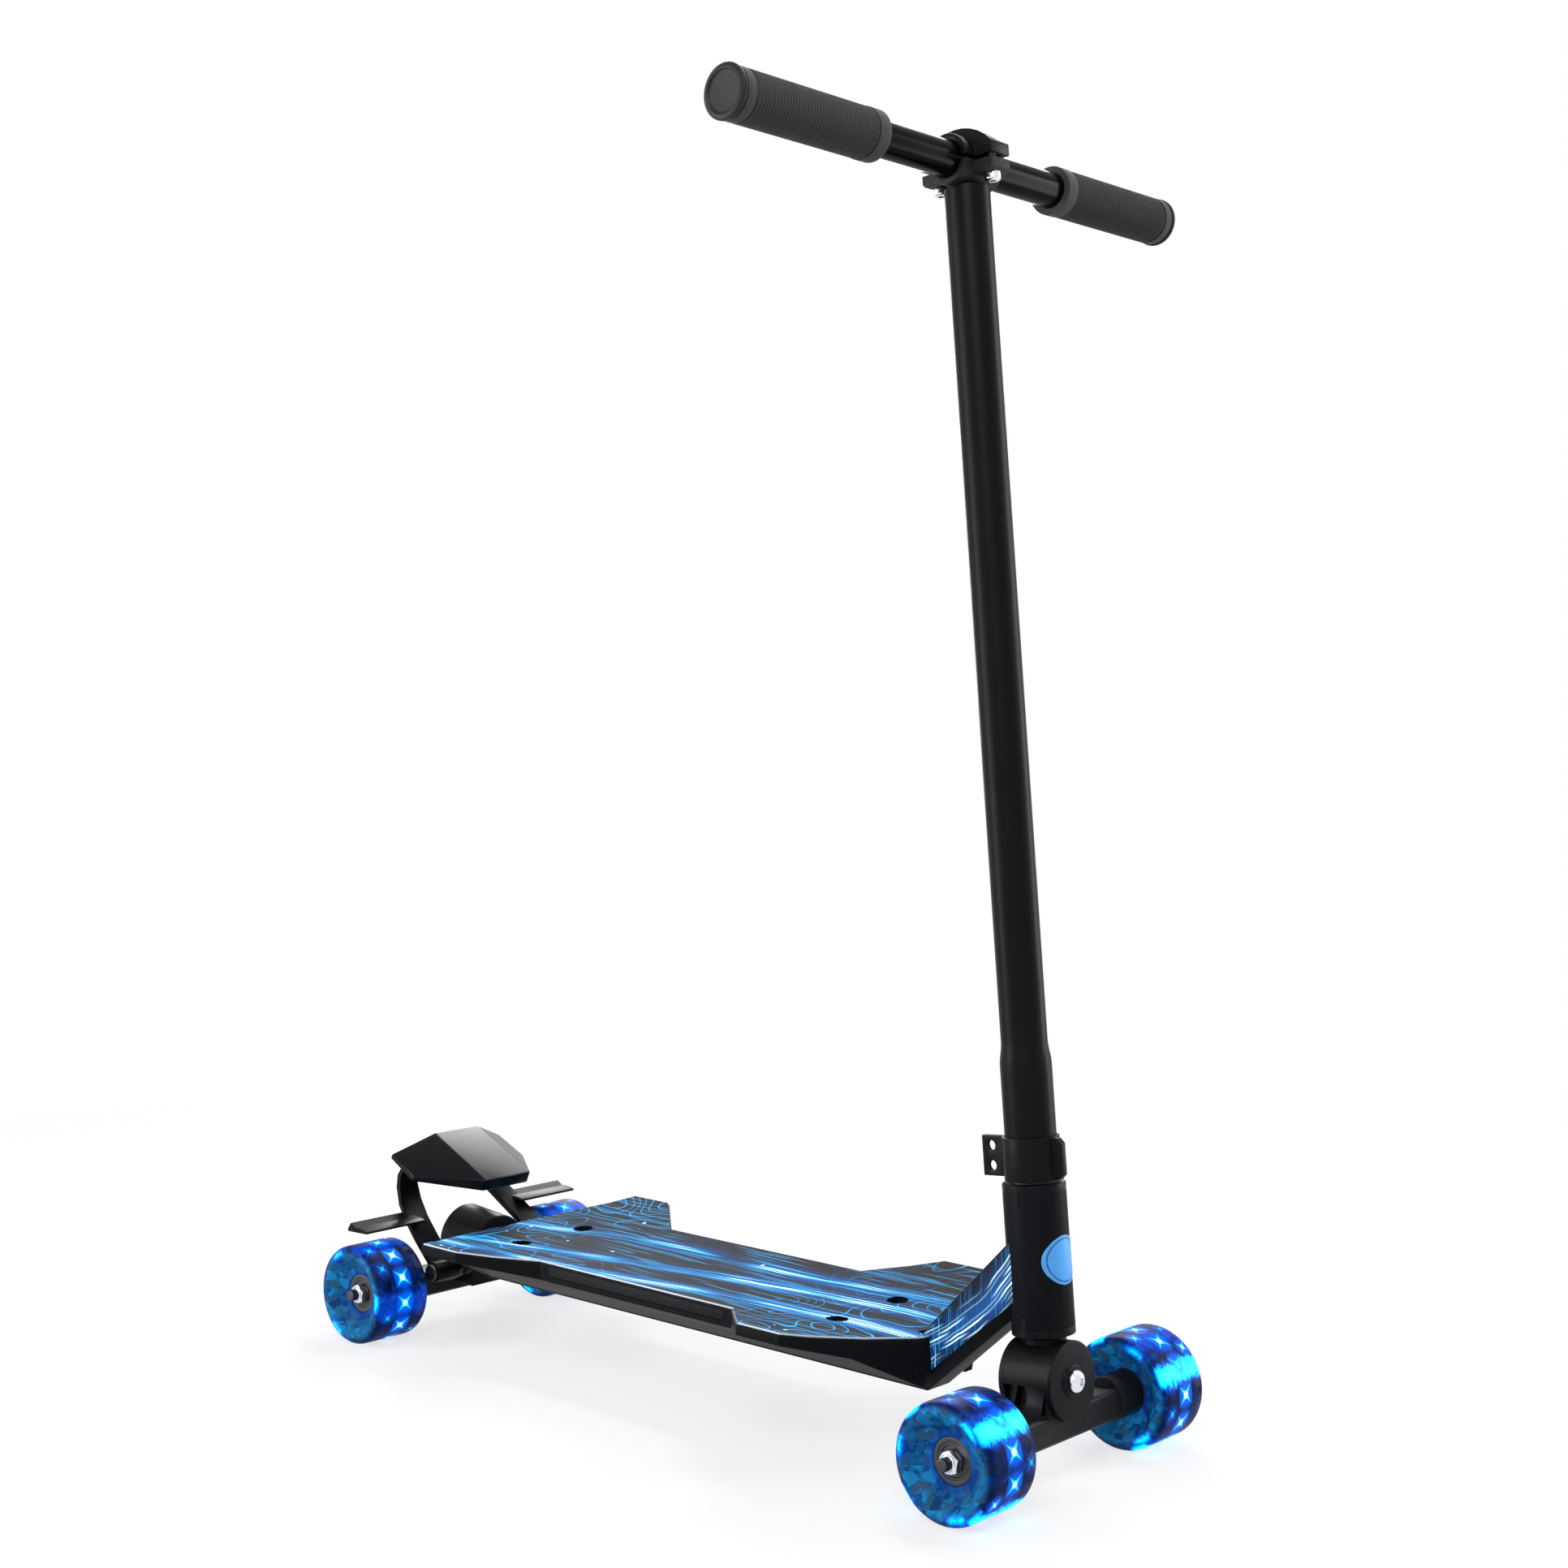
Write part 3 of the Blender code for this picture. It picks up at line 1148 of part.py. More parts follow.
def build_bar_clamp(materials):
    frame = bar_frame()
    ring = BAR_RADIUS + CLAMP_WALL
    seat = BAR_RADIUS + GAP
    split = CLAMP_SPLIT
    dome_drop = CLAMP_DOME_HEIGHT - CLAMP_EAR_THICKNESS
    dome_radius = (CLAMP_EAR_REACH ** 2 + dome_drop ** 2) / (2 * dome_drop)
    spread = math.degrees(math.asin(CLAMP_EAR_REACH / dome_radius))
    dome = arc((0, CLAMP_DOME_HEIGHT - dome_radius), dome_radius, 90 - spread, 90 + spread, 10)
    outline = [(CLAMP_EAR_REACH, 0)] + dome + [(-CLAMP_EAR_REACH, 0)]
    cap = prism("bar_clamp_cap", outline, -CLAMP_EAR_HALF_WIDTH, CLAMP_EAR_HALF_WIDTH, "Y",
                materials["satin_black"], frame)
    upper = prism("upper", arc((0, 0), ring, 0, 180, 14), -CLAMP_HALF_LENGTH, CLAMP_HALF_LENGTH,
                  "Y", None, frame)
    join(cap, upper)
    bolt_holes = [
        rod("hole", CLAMP_BOLT_RADIUS + GAP, -0.03, 0.0045, "Z", None, frame,
            (side * CLAMP_BOLT_REACH, 0), 12)
        for side in (-1, 1)
    ]
    cut(cap, rod("bar", seat, -0.03, 0.03, "Y", None, frame, segments=ROUND), *bolt_holes)
    top = -split
    floor = -clamp_ear_floor()
    reach = CLAMP_EAR_REACH
    ears = [(reach, top), (-reach, top), (-reach, floor + 0.002), (-reach + 0.002, floor),
            (reach - 0.002, floor), (reach, floor + 0.002)]
    saddle = prism("bar_clamp_saddle", ears, -CLAMP_EAR_HALF_WIDTH, CLAMP_EAR_HALF_WIDTH, "Y",
                   materials["cast_black"], frame)
    lower = prism("lower", arc((0, 0), ring, 180, 360, 14), -CLAMP_HALF_LENGTH, CLAMP_HALF_LENGTH,
                  "Y", None, frame)
    join(saddle, lower)
    slab = box("slab", (-0.05, -0.05, top), (0.05, 0.05, 0.05), frame)
    holes = [
        rod("hole", CLAMP_BOLT_RADIUS + GAP, -0.03, 0.03, "Z", None, frame,
            (side * CLAMP_BOLT_REACH, 0), 12)
        for side in (-1, 1)
    ]
    cut(saddle, slab, rod("bar", seat, -0.03, 0.03, "Y", None, frame, segments=ROUND), *holes)
    for side, word in ((1, "front"), (-1, "rear")):
        head = floor - GAP
        low = head - CLAMP_BOLT_HEAD_HEIGHT
        socket = CLAMP_BOLT_HEAD_RADIUS * 0.5
        profile = [
            (0, low + 0.002), (socket, low + 0.002), (socket, low),
            (CLAMP_BOLT_HEAD_RADIUS - 0.0006, low), (CLAMP_BOLT_HEAD_RADIUS, low + 0.0006),
            (CLAMP_BOLT_HEAD_RADIUS, head), (CLAMP_BOLT_RADIUS, head), (CLAMP_BOLT_RADIUS, 0.0042),
            (0, 0.0042),
        ]
        turn("bar_clamp_bolt_" + word, profile, "Z", materials["chrome"], frame,
             (side * CLAMP_BOLT_REACH, 0), 12)


def grip_profile():
    bore = BAR_RADIUS + GAP
    ribs = GRIP_RIBS * GRIP_RIB_PITCH
    outer = BAR_HALF_LENGTH - GRIP_SETBACK
    start = outer - GRIP_RING_WIDTH - GRIP_NECK_WIDTH - ribs - GRIP_COLLAR_WIDTH
    profile = [(bore, start), (GRIP_COLLAR_RADIUS - 0.0008, start), (GRIP_COLLAR_RADIUS, start + 0.0008),
               (GRIP_COLLAR_RADIUS, start + GRIP_COLLAR_WIDTH)]
    first = start + GRIP_COLLAR_WIDTH
    for i in range(GRIP_RIBS):
        base = first + i * GRIP_RIB_PITCH
        profile.append((GRIP_GROOVE_RADIUS, base + 0.25 * GRIP_RIB_PITCH))
        profile.append((GRIP_RIB_RADIUS, base + 0.75 * GRIP_RIB_PITCH))
    end = first + ribs
    profile += [
        (GRIP_GROOVE_RADIUS, end + 0.3 * GRIP_NECK_WIDTH),
        (GRIP_GROOVE_RADIUS, end + 0.9 * GRIP_NECK_WIDTH),
        (GRIP_RIB_RADIUS, end + GRIP_NECK_WIDTH),
        (GRIP_RIB_RADIUS, outer),
        (bore, outer),
    ]
    return profile


def build_handlebar(materials):
    frame = bar_frame()
    inner = BAR_RADIUS - BAR_WALL
    tube = [(inner, -BAR_HALF_LENGTH), (BAR_RADIUS, -BAR_HALF_LENGTH), (BAR_RADIUS, BAR_HALF_LENGTH),
            (inner, BAR_HALF_LENGTH)]
    turn("handlebar", tube, "Y", materials["satin_black"], frame)
    for side, word in ((1, "left"), (-1, "right")):
        profile = [(radius, side * place) for radius, place in grip_profile()]
        turn("grip_" + word, profile, "Y", materials["grip_rubber"], frame, segments=SMALL_ROUND)
        plug = inner - GAP
        face = BAR_HALF_LENGTH + GAP
        end = face + END_CAP_WIDTH
        cap = [
            (0, face - END_CAP_PLUG_LENGTH), (plug, face - END_CAP_PLUG_LENGTH), (plug, face),
            (END_CAP_RADIUS, face), (END_CAP_RADIUS, end - 0.0012),
            (END_CAP_RADIUS - 0.0012, end), (END_CAP_RADIUS - 0.0035, end),
            (0, end - END_CAP_DISH),
        ]
        turn("bar_end_" + word, [(radius, side * place) for radius, place in cap], "Y",
             materials["moulded_black"], frame, segments=20)


# Foot brake


def pedal_corner(corner, side):
    back, out, height = corner
    return Vector((past_rear_axle(back), side * out, height))


def pedal_normal():
    """Upward normal of the pedal's middle facet."""
    slope = pedal_corner(PEDAL_RIDGE_FRONT, 0) - pedal_corner(PEDAL_RIDGE_REAR, 0)
    return Vector((-slope.z, 0, slope.x)).normalized()


def pedal_wing_plane(side):
    """Origin and upward normal of the pedal's side facet."""
    rear = pedal_corner(PEDAL_RIDGE_REAR, side)
    front = pedal_corner(PEDAL_RIDGE_FRONT, side)
    wing = (pedal_corner(PEDAL_WING_REAR, side) + pedal_corner(PEDAL_WING_FRONT, side)) / 2
    normal = (front - rear).cross(wing - rear).normalized()
    return rear, normal if normal.z > 0 else -normal


def pedal_under(x, y, side, drop):
    """Height of the side facet at (x, y), lowered by drop along its normal."""
    origin, normal = pedal_wing_plane(side)
    origin = origin - normal * drop
    return origin.z - (normal.x * (x - origin.x) + normal.y * (y - origin.y)) / normal.z


def pedal_loops(shift, scale):
    """Top and skirt corners of the pedal, round from the left ridge's rear corner."""
    names = (PEDAL_RIDGE_REAR, PEDAL_WING_REAR, PEDAL_WING_FRONT, PEDAL_RIDGE_FRONT)
    skirts = (PEDAL_SKIRTS[0], PEDAL_SKIRTS[2], PEDAL_SKIRTS[3], PEDAL_SKIRTS[1])
    normal = pedal_normal()
    middle = (pedal_corner(PEDAL_WING_REAR, 0).x + pedal_corner(PEDAL_RIDGE_FRONT, 0).x) / 2
    top, low = [], []
    for side, order in ((1, range(4)), (-1, reversed(range(4)))):
        for i in order:
            point = pedal_corner(names[i], side)
            x, y = middle + (point.x - middle) * scale, point.y
            if i in (1, 2):
                y *= scale
                rise = pedal_under(x, y, side, 0) - pedal_under(point.x, point.y, side, 0)
            else:
                rise = (point.x - x) * normal.x / normal.z
            flat = Vector((x, y, point.z + rise))
            top.append(flat - normal * shift)
            low.append(flat - normal * (skirts[i] + 2 * shift))
    return top, low


def pedal_solid(name, shift, scale, material=None):
    bm = bmesh.new()
    top_points, low_points = pedal_loops(shift, scale)
    top = [bm.verts.new(point) for point in top_points]
    low = [bm.verts.new(point) for point in low_points]
    # Left facet, middle facet and right facet of the top, and the same below.
    for loop in (top, low):
        bm.faces.new((loop[0], loop[1], loop[2], loop[3]))
        bm.faces.new((loop[0], loop[3], loop[4], loop[7]))
        bm.faces.new((loop[4], loop[5], loop[6], loop[7]))
    for i in range(8):
        after = (i + 1) % 8
        bm.faces.new((top[i], top[after], low[after], low[i]))
    return new_object(name, bm, material)


def set_frame(obj, frame):
    """Moves an object's origin to a frame and leaves its shape where it is."""
    obj.data.transform(frame.inverted() @ obj.matrix_world)
    obj.matrix_world = frame
    return obj


def build_pedal(materials):
    pedal = pedal_solid("brake_pedal", 0.0, 1.0, materials["moulded_black"])
    hollow = pedal_solid("hollow", PEDAL_SKIN, 1.0 - 2 * PEDAL_RIM / PEDAL_WING_FRONT[1])
    cut(pedal, hollow)
    return set_frame(pedal, BRAKE_PIVOT)


def arm_sections(side):
    """Cross-sections of a brake arm, from the pivot eye up to the tab under the pedal."""
    rows = [(past_rear_axle(back), *rest) for back, *rest in ARM_STATIONS]
    sections = []
    for i, (x, z, inner, outer) in enumerate(rows):
        before = rows[max(i - 1, 0)]
        after = rows[min(i + 1, len(rows) - 1)]
        along = Vector((after[0] - before[0], 0, after[1] - before[1])).normalized()
        across = Vector((-along.z, 0, along.x)) * BRAKE_ARM_THICKNESS / 2
        middle = Vector((x, 0, z))
        near, far = Vector((0, side * inner, 0)), Vector((0, side * outer, 0))
        sections.append([middle + across + near, middle + across + far,
                         middle - across + far, middle - across + near])
    drop = PEDAL_SKIN * pedal_normal().dot(pedal_wing_plane(side)[1]) + GAP
    for back in ARM_TAB_BACK:
        x = past_rear_axle(back)
        corners = []
        for low in (0, 1):
            outs = ARM_TAB_OUT if low == 0 else tuple(reversed(ARM_TAB_OUT))
            for out in outs:
                height = pedal_under(x, side * out, side, drop)
                corners.append(Vector((x, side * out, height - low * BRAKE_ARM_THICKNESS)))
        sections.append(corners)
    return sections


def shoe_outline():
    """Shoe section at rest: a flat face that meets the tyre after the brake's travel, and a round back."""
    wheel = Vector((REAR_AXLE_X, WHEEL_RADIUS))
    pivot = Vector((past_rear_axle(-BRAKE_PIVOT_AHEAD), BRAKE_PIVOT_HEIGHT))
    half = BRAKE_SHOE_SPAN / 2
    start, end = math.degrees(BRAKE_SHOE_MIDDLE - half), math.degrees(BRAKE_SHOE_MIDDLE + half)
    face = arc(wheel, (WHEEL_RADIUS + GAP) / math.cos(half), start, end, 1)
    outer = arc(wheel, WHEEL_RADIUS + GAP + BRAKE_SHOE_THICKNESS, end, start, 5)
    lip = arc(wheel, WHEEL_RADIUS + GAP + BRAKE_SHOE_THICKNESS + BRAKE_SHOE_LIP, end, start, 5)
    band = face + [outer[0]] + lip[1:2] + outer[2:]
    turn_back = Matrix.Rotation(-BRAKE_TRAVEL, 2)
    return [tuple(pivot + turn_back @ (Vector(point) - pivot)) for point in band]


def build_brake_arm(side, word, materials):
    arm = loft("brake_arm_" + word, arm_sections(side), materials["cast_black"])
    low_y, high_y = sorted((side * BRAKE_EYE_IN, side * BRAKE_EYE_OUT))
    eye = rod("eye", BRAKE_EYE_RADIUS, low_y, high_y, "Y", None, BRAKE_PIVOT, segments=20)
    low_y, high_y = sorted((side * BRAKE_SHOE_IN, side * BRAKE_SHOE_OUT))
    shoe = prism("shoe", shoe_outline(), low_y, high_y, "Y")
    join(arm, eye, shoe)
    bore = rod("bore", BRAKE_PIN_RADIUS + GAP, low_y - 0.05, high_y + 0.05, "Y", None, BRAKE_PIVOT)
    cut(arm, bore)
    return set_frame(arm, BRAKE_PIVOT)


def build_brake_pin(side, word, materials):
    head = BRAKE_EYE_OUT + GAP
    profile = [
        (0, side * (BRAKE_LUG_IN + 0.0032)),
        (BRAKE_PIN_RADIUS, side * (BRAKE_LUG_IN + 0.0032)),
        (BRAKE_PIN_RADIUS, side * head),
        (BRAKE_EYE_RADIUS - 0.0015, side * head),
        (BRAKE_EYE_RADIUS - 0.0015, side * (head + 0.0025)),
        (0, side * (head + 0.0025)),
    ]
    turn("brake_pin_" + word, profile, "Y", materials["dark_steel"], BRAKE_PIVOT,
         segments=SMALL_ROUND)


def build_brake_spring(side, word, materials):
    """Torsion coil round the pin, between the lug and the arm's eye."""
    room = BRAKE_EYE_IN - BRAKE_LUG_OUT
    pitch = (room - 2 * GAP - 2 * SPRING_WIRE_RADIUS) / SPRING_TURNS
    start = BRAKE_LUG_OUT + GAP + SPRING_WIRE_RADIUS
    steps = 8
    points = []
    for i in range(SPRING_TURNS * steps + 1):
        angle = 2 * math.pi * i / steps
        out = start + pitch * i / steps
        points.append((SPRING_COIL_RADIUS * math.cos(angle), side * out,
                       SPRING_COIL_RADIUS * math.sin(angle)))
    curve = bpy.data.curves.new("brake_spring_" + word, "CURVE")
    curve.dimensions = "3D"
    curve.bevel_depth = SPRING_WIRE_RADIUS
    curve.bevel_resolution = 1
    curve.use_fill_caps = True
    spline = curve.splines.new("POLY")
    spline.points.add(len(points) - 1)
    for slot, point in zip(spline.points, points):
        slot.co = (*point, 1)
    curve.materials.append(materials["dark_steel"])
    spring = bpy.data.objects.new("brake_spring_" + word, curve)
    bpy.context.scene.collection.objects.link(spring)
    spring.matrix_world = BRAKE_PIVOT
    print("spring", word, "least gap between turns", round(pitch - 2 * SPRING_WIRE_RADIUS, 5))


def build_brake(materials):
    build_pedal(materials)
    for side, word in ((1, "left"), (-1, "right")):
        build_brake_arm(side, word, materials)
        build_brake_pin(side, word, materials)
        build_brake_spring(side, word, materials)


def main():
    clear_scene()
    materials = build_materials()
    build_main_frame(materials)
    build_headset(materials)
    build_deck(materials)
    build_front_truck(materials)
    build_rear_truck(materials)
    for tag, axle_x in (("front", FRONT_AXLE_X), ("rear", REAR_AXLE_X)):
        for side, word in ((1, "left"), (-1, "right")):
            build_wheel("%s_%s" % (tag, word), axle_x, side, materials)
    build_stem(materials)
    build_collar(materials)
    build_bar_clamp(materials)
    build_handlebar(materials)
    build_brake(materials)


main()
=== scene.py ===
"""Looks of a four-wheeled carving scooter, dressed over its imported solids."""

import sys

import json
import logging
import math
from dataclasses import dataclass
from enum import Enum
from typing import Callable, Iterable, Sequence, Union

import bpy
from mathutils import Matrix, Vector

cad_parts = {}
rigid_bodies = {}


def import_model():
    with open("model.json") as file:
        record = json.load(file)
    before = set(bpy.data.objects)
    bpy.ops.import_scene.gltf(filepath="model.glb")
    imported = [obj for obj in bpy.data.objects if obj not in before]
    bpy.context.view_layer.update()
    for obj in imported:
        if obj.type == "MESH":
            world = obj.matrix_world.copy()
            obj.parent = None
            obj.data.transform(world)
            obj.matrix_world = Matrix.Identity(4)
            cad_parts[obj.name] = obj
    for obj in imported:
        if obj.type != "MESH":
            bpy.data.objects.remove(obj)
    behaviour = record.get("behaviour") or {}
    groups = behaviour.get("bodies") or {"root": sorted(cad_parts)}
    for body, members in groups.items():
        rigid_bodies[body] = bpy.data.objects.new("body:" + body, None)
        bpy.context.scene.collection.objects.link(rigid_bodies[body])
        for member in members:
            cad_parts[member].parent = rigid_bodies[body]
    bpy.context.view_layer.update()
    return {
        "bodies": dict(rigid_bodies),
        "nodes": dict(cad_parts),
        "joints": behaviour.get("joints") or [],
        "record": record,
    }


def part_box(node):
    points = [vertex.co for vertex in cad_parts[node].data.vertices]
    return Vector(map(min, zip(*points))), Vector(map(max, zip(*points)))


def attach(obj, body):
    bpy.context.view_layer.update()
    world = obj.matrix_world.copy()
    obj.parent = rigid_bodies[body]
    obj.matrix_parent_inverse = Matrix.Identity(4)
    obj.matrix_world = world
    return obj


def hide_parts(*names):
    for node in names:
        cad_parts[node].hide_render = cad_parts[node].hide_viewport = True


LOG = logging.getLogger("scooter")

Colour = tuple[float, float, float]
Point = tuple[float, float, float]
Stops = Sequence[tuple[float, Colour]]
Ring = tuple[float, float]
Corner = tuple[float, float, float]
Value = Union["Signal", float, Sequence[float]]

# Places and sizes that several sub-assemblies share, in metres

WHEELBASE = 0.551
WHEEL_RADIUS = 0.036
TRACK_HALF = 0.0895
STEERING_FOOT = (0.274214, 0, 0)
RAKE = math.radians(4.97)
FRONT_PIVOT_HEIGHT = 0.0607
REAR_PIVOT_PLACE = (-0.2603, 0, 0.0600)
REAR_LEAN = math.radians(5)
BAR_HEIGHT = 0.8054
SEAT_GAP = 0.0003
BORE_GAP = 0.0002

# Radius of the small flat that closes the end of a turned piece

FINE_POLE = 0.0004
POLE = 0.0005
WIDE_POLE = 0.0006

# Distances below which points are merged, places are the same and radii are equal

DOUBLES = 1e-5
SAME = 1e-6
EQUAL = 1e-9

ALONG_X = Matrix.Rotation(math.pi / 2, 4, "Y")
ALONG_Y = Matrix.Rotation(-math.pi / 2, 4, "X")
AGAINST_Y = Matrix.Rotation(math.pi / 2, 4, "X")
TURNED_ROUND = Matrix.Rotation(math.pi, 4, "X")
UPRIGHT = Matrix.Identity(4)

STEERING = Matrix.Translation(STEERING_FOOT) @ Matrix.Rotation(-RAKE, 4, "Y")
FRONT_PIVOT = STEERING @ Matrix.Translation((0, 0, FRONT_PIVOT_HEIGHT))
REAR_PIVOT = Matrix.Translation(REAR_PIVOT_PLACE) @ Matrix.Rotation(REAR_LEAN, 4, "Y")
BAR = STEERING @ Matrix.Translation((0, 0, BAR_HEIGHT))


class Side(Enum):
    """The two sides of the scooter, with the sign of their Y."""

    LEFT = 1
    RIGHT = -1

    @property
    def word(self) -> str:
        """The side's name as the nodes spell it."""
        return self.name.lower()

    @property
    def outward(self) -> Matrix:
        """Turn that lays a piece's Z outward on this side."""
        return ALONG_Y if self is Side.LEFT else AGAINST_Y


# Shader maths


class Signal:
    """A shader value: Python's operators on it add Math nodes."""

    def __init__(self, recipe: "Recipe", socket: bpy.types.NodeSocket) -> None:
        """Wraps one output socket of a recipe's node."""
        self.recipe = recipe
        self.socket = socket

    def __add__(self, other: Value) -> "Signal":
        """Sum."""
        return self.recipe.math("ADD", self, other)

    __radd__ = __add__

    def __mul__(self, other: Value) -> "Signal":
        """Product."""
        return self.recipe.math("MULTIPLY", self, other)

    __rmul__ = __mul__

    def __sub__(self, other: Value) -> "Signal":
        """Difference."""
        return self.recipe.math("SUBTRACT", self, other)

    def __rsub__(self, other: Value) -> "Signal":
        """Difference with the signal last."""
        return self.recipe.math("SUBTRACT", other, self)

    def __truediv__(self, other: Value) -> "Signal":
        """Quotient."""
        return self.recipe.math("DIVIDE", self, other)

    def __rtruediv__(self, other: Value) -> "Signal":
        """Quotient with the signal last."""
        return self.recipe.math("DIVIDE", other, self)

    def __pow__(self, other: Value) -> "Signal":
        """Power."""
        return self.recipe.math("POWER", self, other)

    def __mod__(self, other: Value) -> "Signal":
        """Remainder, never negative."""
        return self.recipe.math("FLOORED_MODULO", self, other)

    def __abs__(self) -> "Signal":
        """Size without sign."""
        return self.recipe.math("ABSOLUTE", self)

    def most(self, other: Value) -> "Signal":
        """The larger of two."""
        return self.recipe.math("MAXIMUM", self, other)

    def least(self, other: Value) -> "Signal":
        """The smaller of two."""
        return self.recipe.math("MINIMUM", self, other)

    def sine(self) -> "Signal":
        """Sine."""
        return self.recipe.math("SINE", self)

    def floor(self) -> "Signal":
        """Whole part."""
        return self.recipe.math("FLOOR", self)

    def fade(self, start: float, end: float) -> "Signal":
        """Smooth step from 0 at start to 1 at end; a falling one where start is the larger.

        Args:
            start: value at which the step is 0.
            end: value at which it is 1.

        Returns:
            The step.
        """
        low, high, first, last = (start, end, 0.0, 1.0) if start < end else (end, start, 1.0, 0.0)
        span = {"Value": self, "From Min": low, "From Max": high, "To Min": first, "To Max": last}
        return self.recipe.node("MapRange", {"interpolation_type": "SMOOTHSTEP"}, span)


class Recipe:
    """Builds one material of nodes round a Principled shader."""

    def __init__(self, name: str) -> None:
        """Starts a material with only a Principled shader and its output.

        Args:
            name: the material's name.
        """
        self.material = bpy.data.materials.new(name)
        self.material.use_nodes = True
        self.tree = self.material.node_tree
        self.tree.nodes.clear()
        self.shader = self.tree.nodes.new("ShaderNodeBsdfPrincipled")
        self.output = self.tree.nodes.new("ShaderNodeOutputMaterial")
        self.tree.links.new(self.shader.outputs[0], self.output.inputs[0])

    def plug(self, socket: bpy.types.NodeSocket, value: Value) -> None:
        """Links a signal to a socket, or writes a plain value on it.

        Args:
            socket: the input that is fed.
            value: a signal, a number or a row of numbers.
        """
        if isinstance(value, Signal):
            self.tree.links.new(value.socket, socket)
        elif isinstance(value, (int, float)):
            kind = getattr(socket, "default_value", None)
            socket.default_value = value if isinstance(kind, (int, float)) else [value] * len(kind)
        else:
            room = len(socket.default_value)
            socket.default_value = (list(value) + [1.0] * room)[:room]

    def node(
        self,
        kind: str,
        settings: dict | None = None,
        sockets: dict | None = None,
        output: int | str = 0,
    ) -> Signal:
        """Adds one node.

        Args:
            kind: the node's type, without its ShaderNode prefix.
            settings: its properties; "stops" sets a ramp's positions and colours.
            sockets: values or signals of its inputs, by name or number.
            output: which output comes back.

        Returns:
            The chosen output.
        """
        made = self.tree.nodes.new("ShaderNode" + kind)
        for key, value in (settings or {}).items():
            if key == "stops":
                self._set_stops(made.color_ramp, value)
            else:
                setattr(made, key, value)
        for key, value in (sockets or {}).items():
            self.plug(made.inputs[key], value)
        return Signal(self, made.outputs[output])

    @staticmethod
    def _set_stops(ramp: bpy.types.ColorRamp, stops: Stops) -> None:
        """Writes a ramp's stops.

        Args:
            ramp: the ramp of a fresh node.
            stops: position and colour of each stop.
        """
        while len(ramp.elements) < len(stops):
            ramp.elements.new(1.0)
        for element, (position, colour) in zip(ramp.elements, stops):
            element.position = position
            element.color = (*colour, 1.0)

    def math(self, operation: str, first: Value, second: Value = 0.0) -> Signal:
        """A Math node on two values."""
        return self.node("Math", {"operation": operation}, {0: first, 1: second})

    def arrow(self, operation: str, first: Value, second: Value) -> Signal:
        """A Vector Math node on two vectors."""
        return self.node("VectorMath", {"operation": operation}, {0: first, 1: second})

    def mix(self, share: Value, first: Value, second: Value) -> Signal:
        """A colour mix: first where share is 0 and second where it is 1."""
        return self.node("Mix", {"data_type": "RGBA"}, {0: share, 6: first, 7: second}, output=2)

    def ramp(self, share: Value, stops: Stops, mode: str = "LINEAR") -> Signal:
        """A colour ramp.

        Args:
            share: the value that runs along it.
            stops: position and colour of each stop.
            mode: LINEAR to blend between stops, CONSTANT to hold each.

        Returns:
            The colour.
        """
        made = self.node("ValToRGB", {"stops": stops}, {0: share})
        made.socket.node.color_ramp.interpolation = mode
        return made

    def place(
        self, centre: Point = (0, 0, 0), turn: Point = (0, 0, 0), scale: Point = (1, 1, 1)
    ) -> Signal:
        """Object coordinates, moved to a centre, turned and scaled.

        Args:
            centre: the place that becomes zero.
            turn: turn about it, in radians.
            scale: scale along each axis.

        Returns:
            The coordinates.
        """
        coords = self.node("TexCoord", output="Object")
        if (centre, turn, scale) == ((0, 0, 0), (0, 0, 0), (1, 1, 1)):
            return coords
        moved = self.arrow("SUBTRACT", coords, centre)
        return self.node("Mapping", None, {"Vector": moved, "Rotation": turn, "Scale": scale})

    def own(self, name: str) -> Signal:
        """A vector attribute that the piece carries."""
        return self.node("Attribute", {"attribute_name": name}, output="Vector")

    def parts(self, vector: Signal) -> tuple[Signal, Signal, Signal]:
        """The three parts of a vector."""
        first = self.node("SeparateXYZ", None, {0: vector})
        return tuple(Signal(self, socket) for socket in first.socket.node.outputs)

    def whole(self, x: Value, y: Value, z: Value) -> Signal:
        """A vector of three parts."""
        return self.node("CombineXYZ", None, {0: x, 1: y, 2: z})

    def noise(self, where: Signal, scale: float, detail: float = 2.0, rough: float = 0.5) -> Signal:
        """Fractal noise, from 0 to 1."""
        sockets = {"Vector": where, "Scale": scale, "Detail": detail, "Roughness": rough}
        return self.node("TexNoise", None, sockets)

    def cells(self, where: Signal, scale: float, output: str = "Distance") -> Signal:
        """Voronoi cells: the distance to the nearest point, or the cell's own colour."""
        return self.node("TexVoronoi", None, {"Vector": where, "Scale": scale}, output)

    def chance(self, first: Value, second: Value = 0.0) -> Signal:
        """A random number of its own for each pair of whole numbers."""
        pair = self.whole(first, second, 0.5)
        return self.node("TexWhiteNoise", {"noise_dimensions": "3D"}, {"Vector": pair}, "Value")

    def bump(self, height: Signal, depth: float, strength: float = 1.0) -> None:
        """Sends a height, in the given depth in metres, to the shader's normal."""
        made = self.node("Bump", None, {"Strength": strength, "Distance": depth, "Height": height})
        self.plug(self.shader.inputs["Normal"], made)

    def set(self, **sockets: Value) -> None:
        """Writes shader sockets; an underscore stands for a space."""
        for key, value in sockets.items():
            self.plug(self.shader.inputs[key.replace("_", " ")], value)


# Finishes


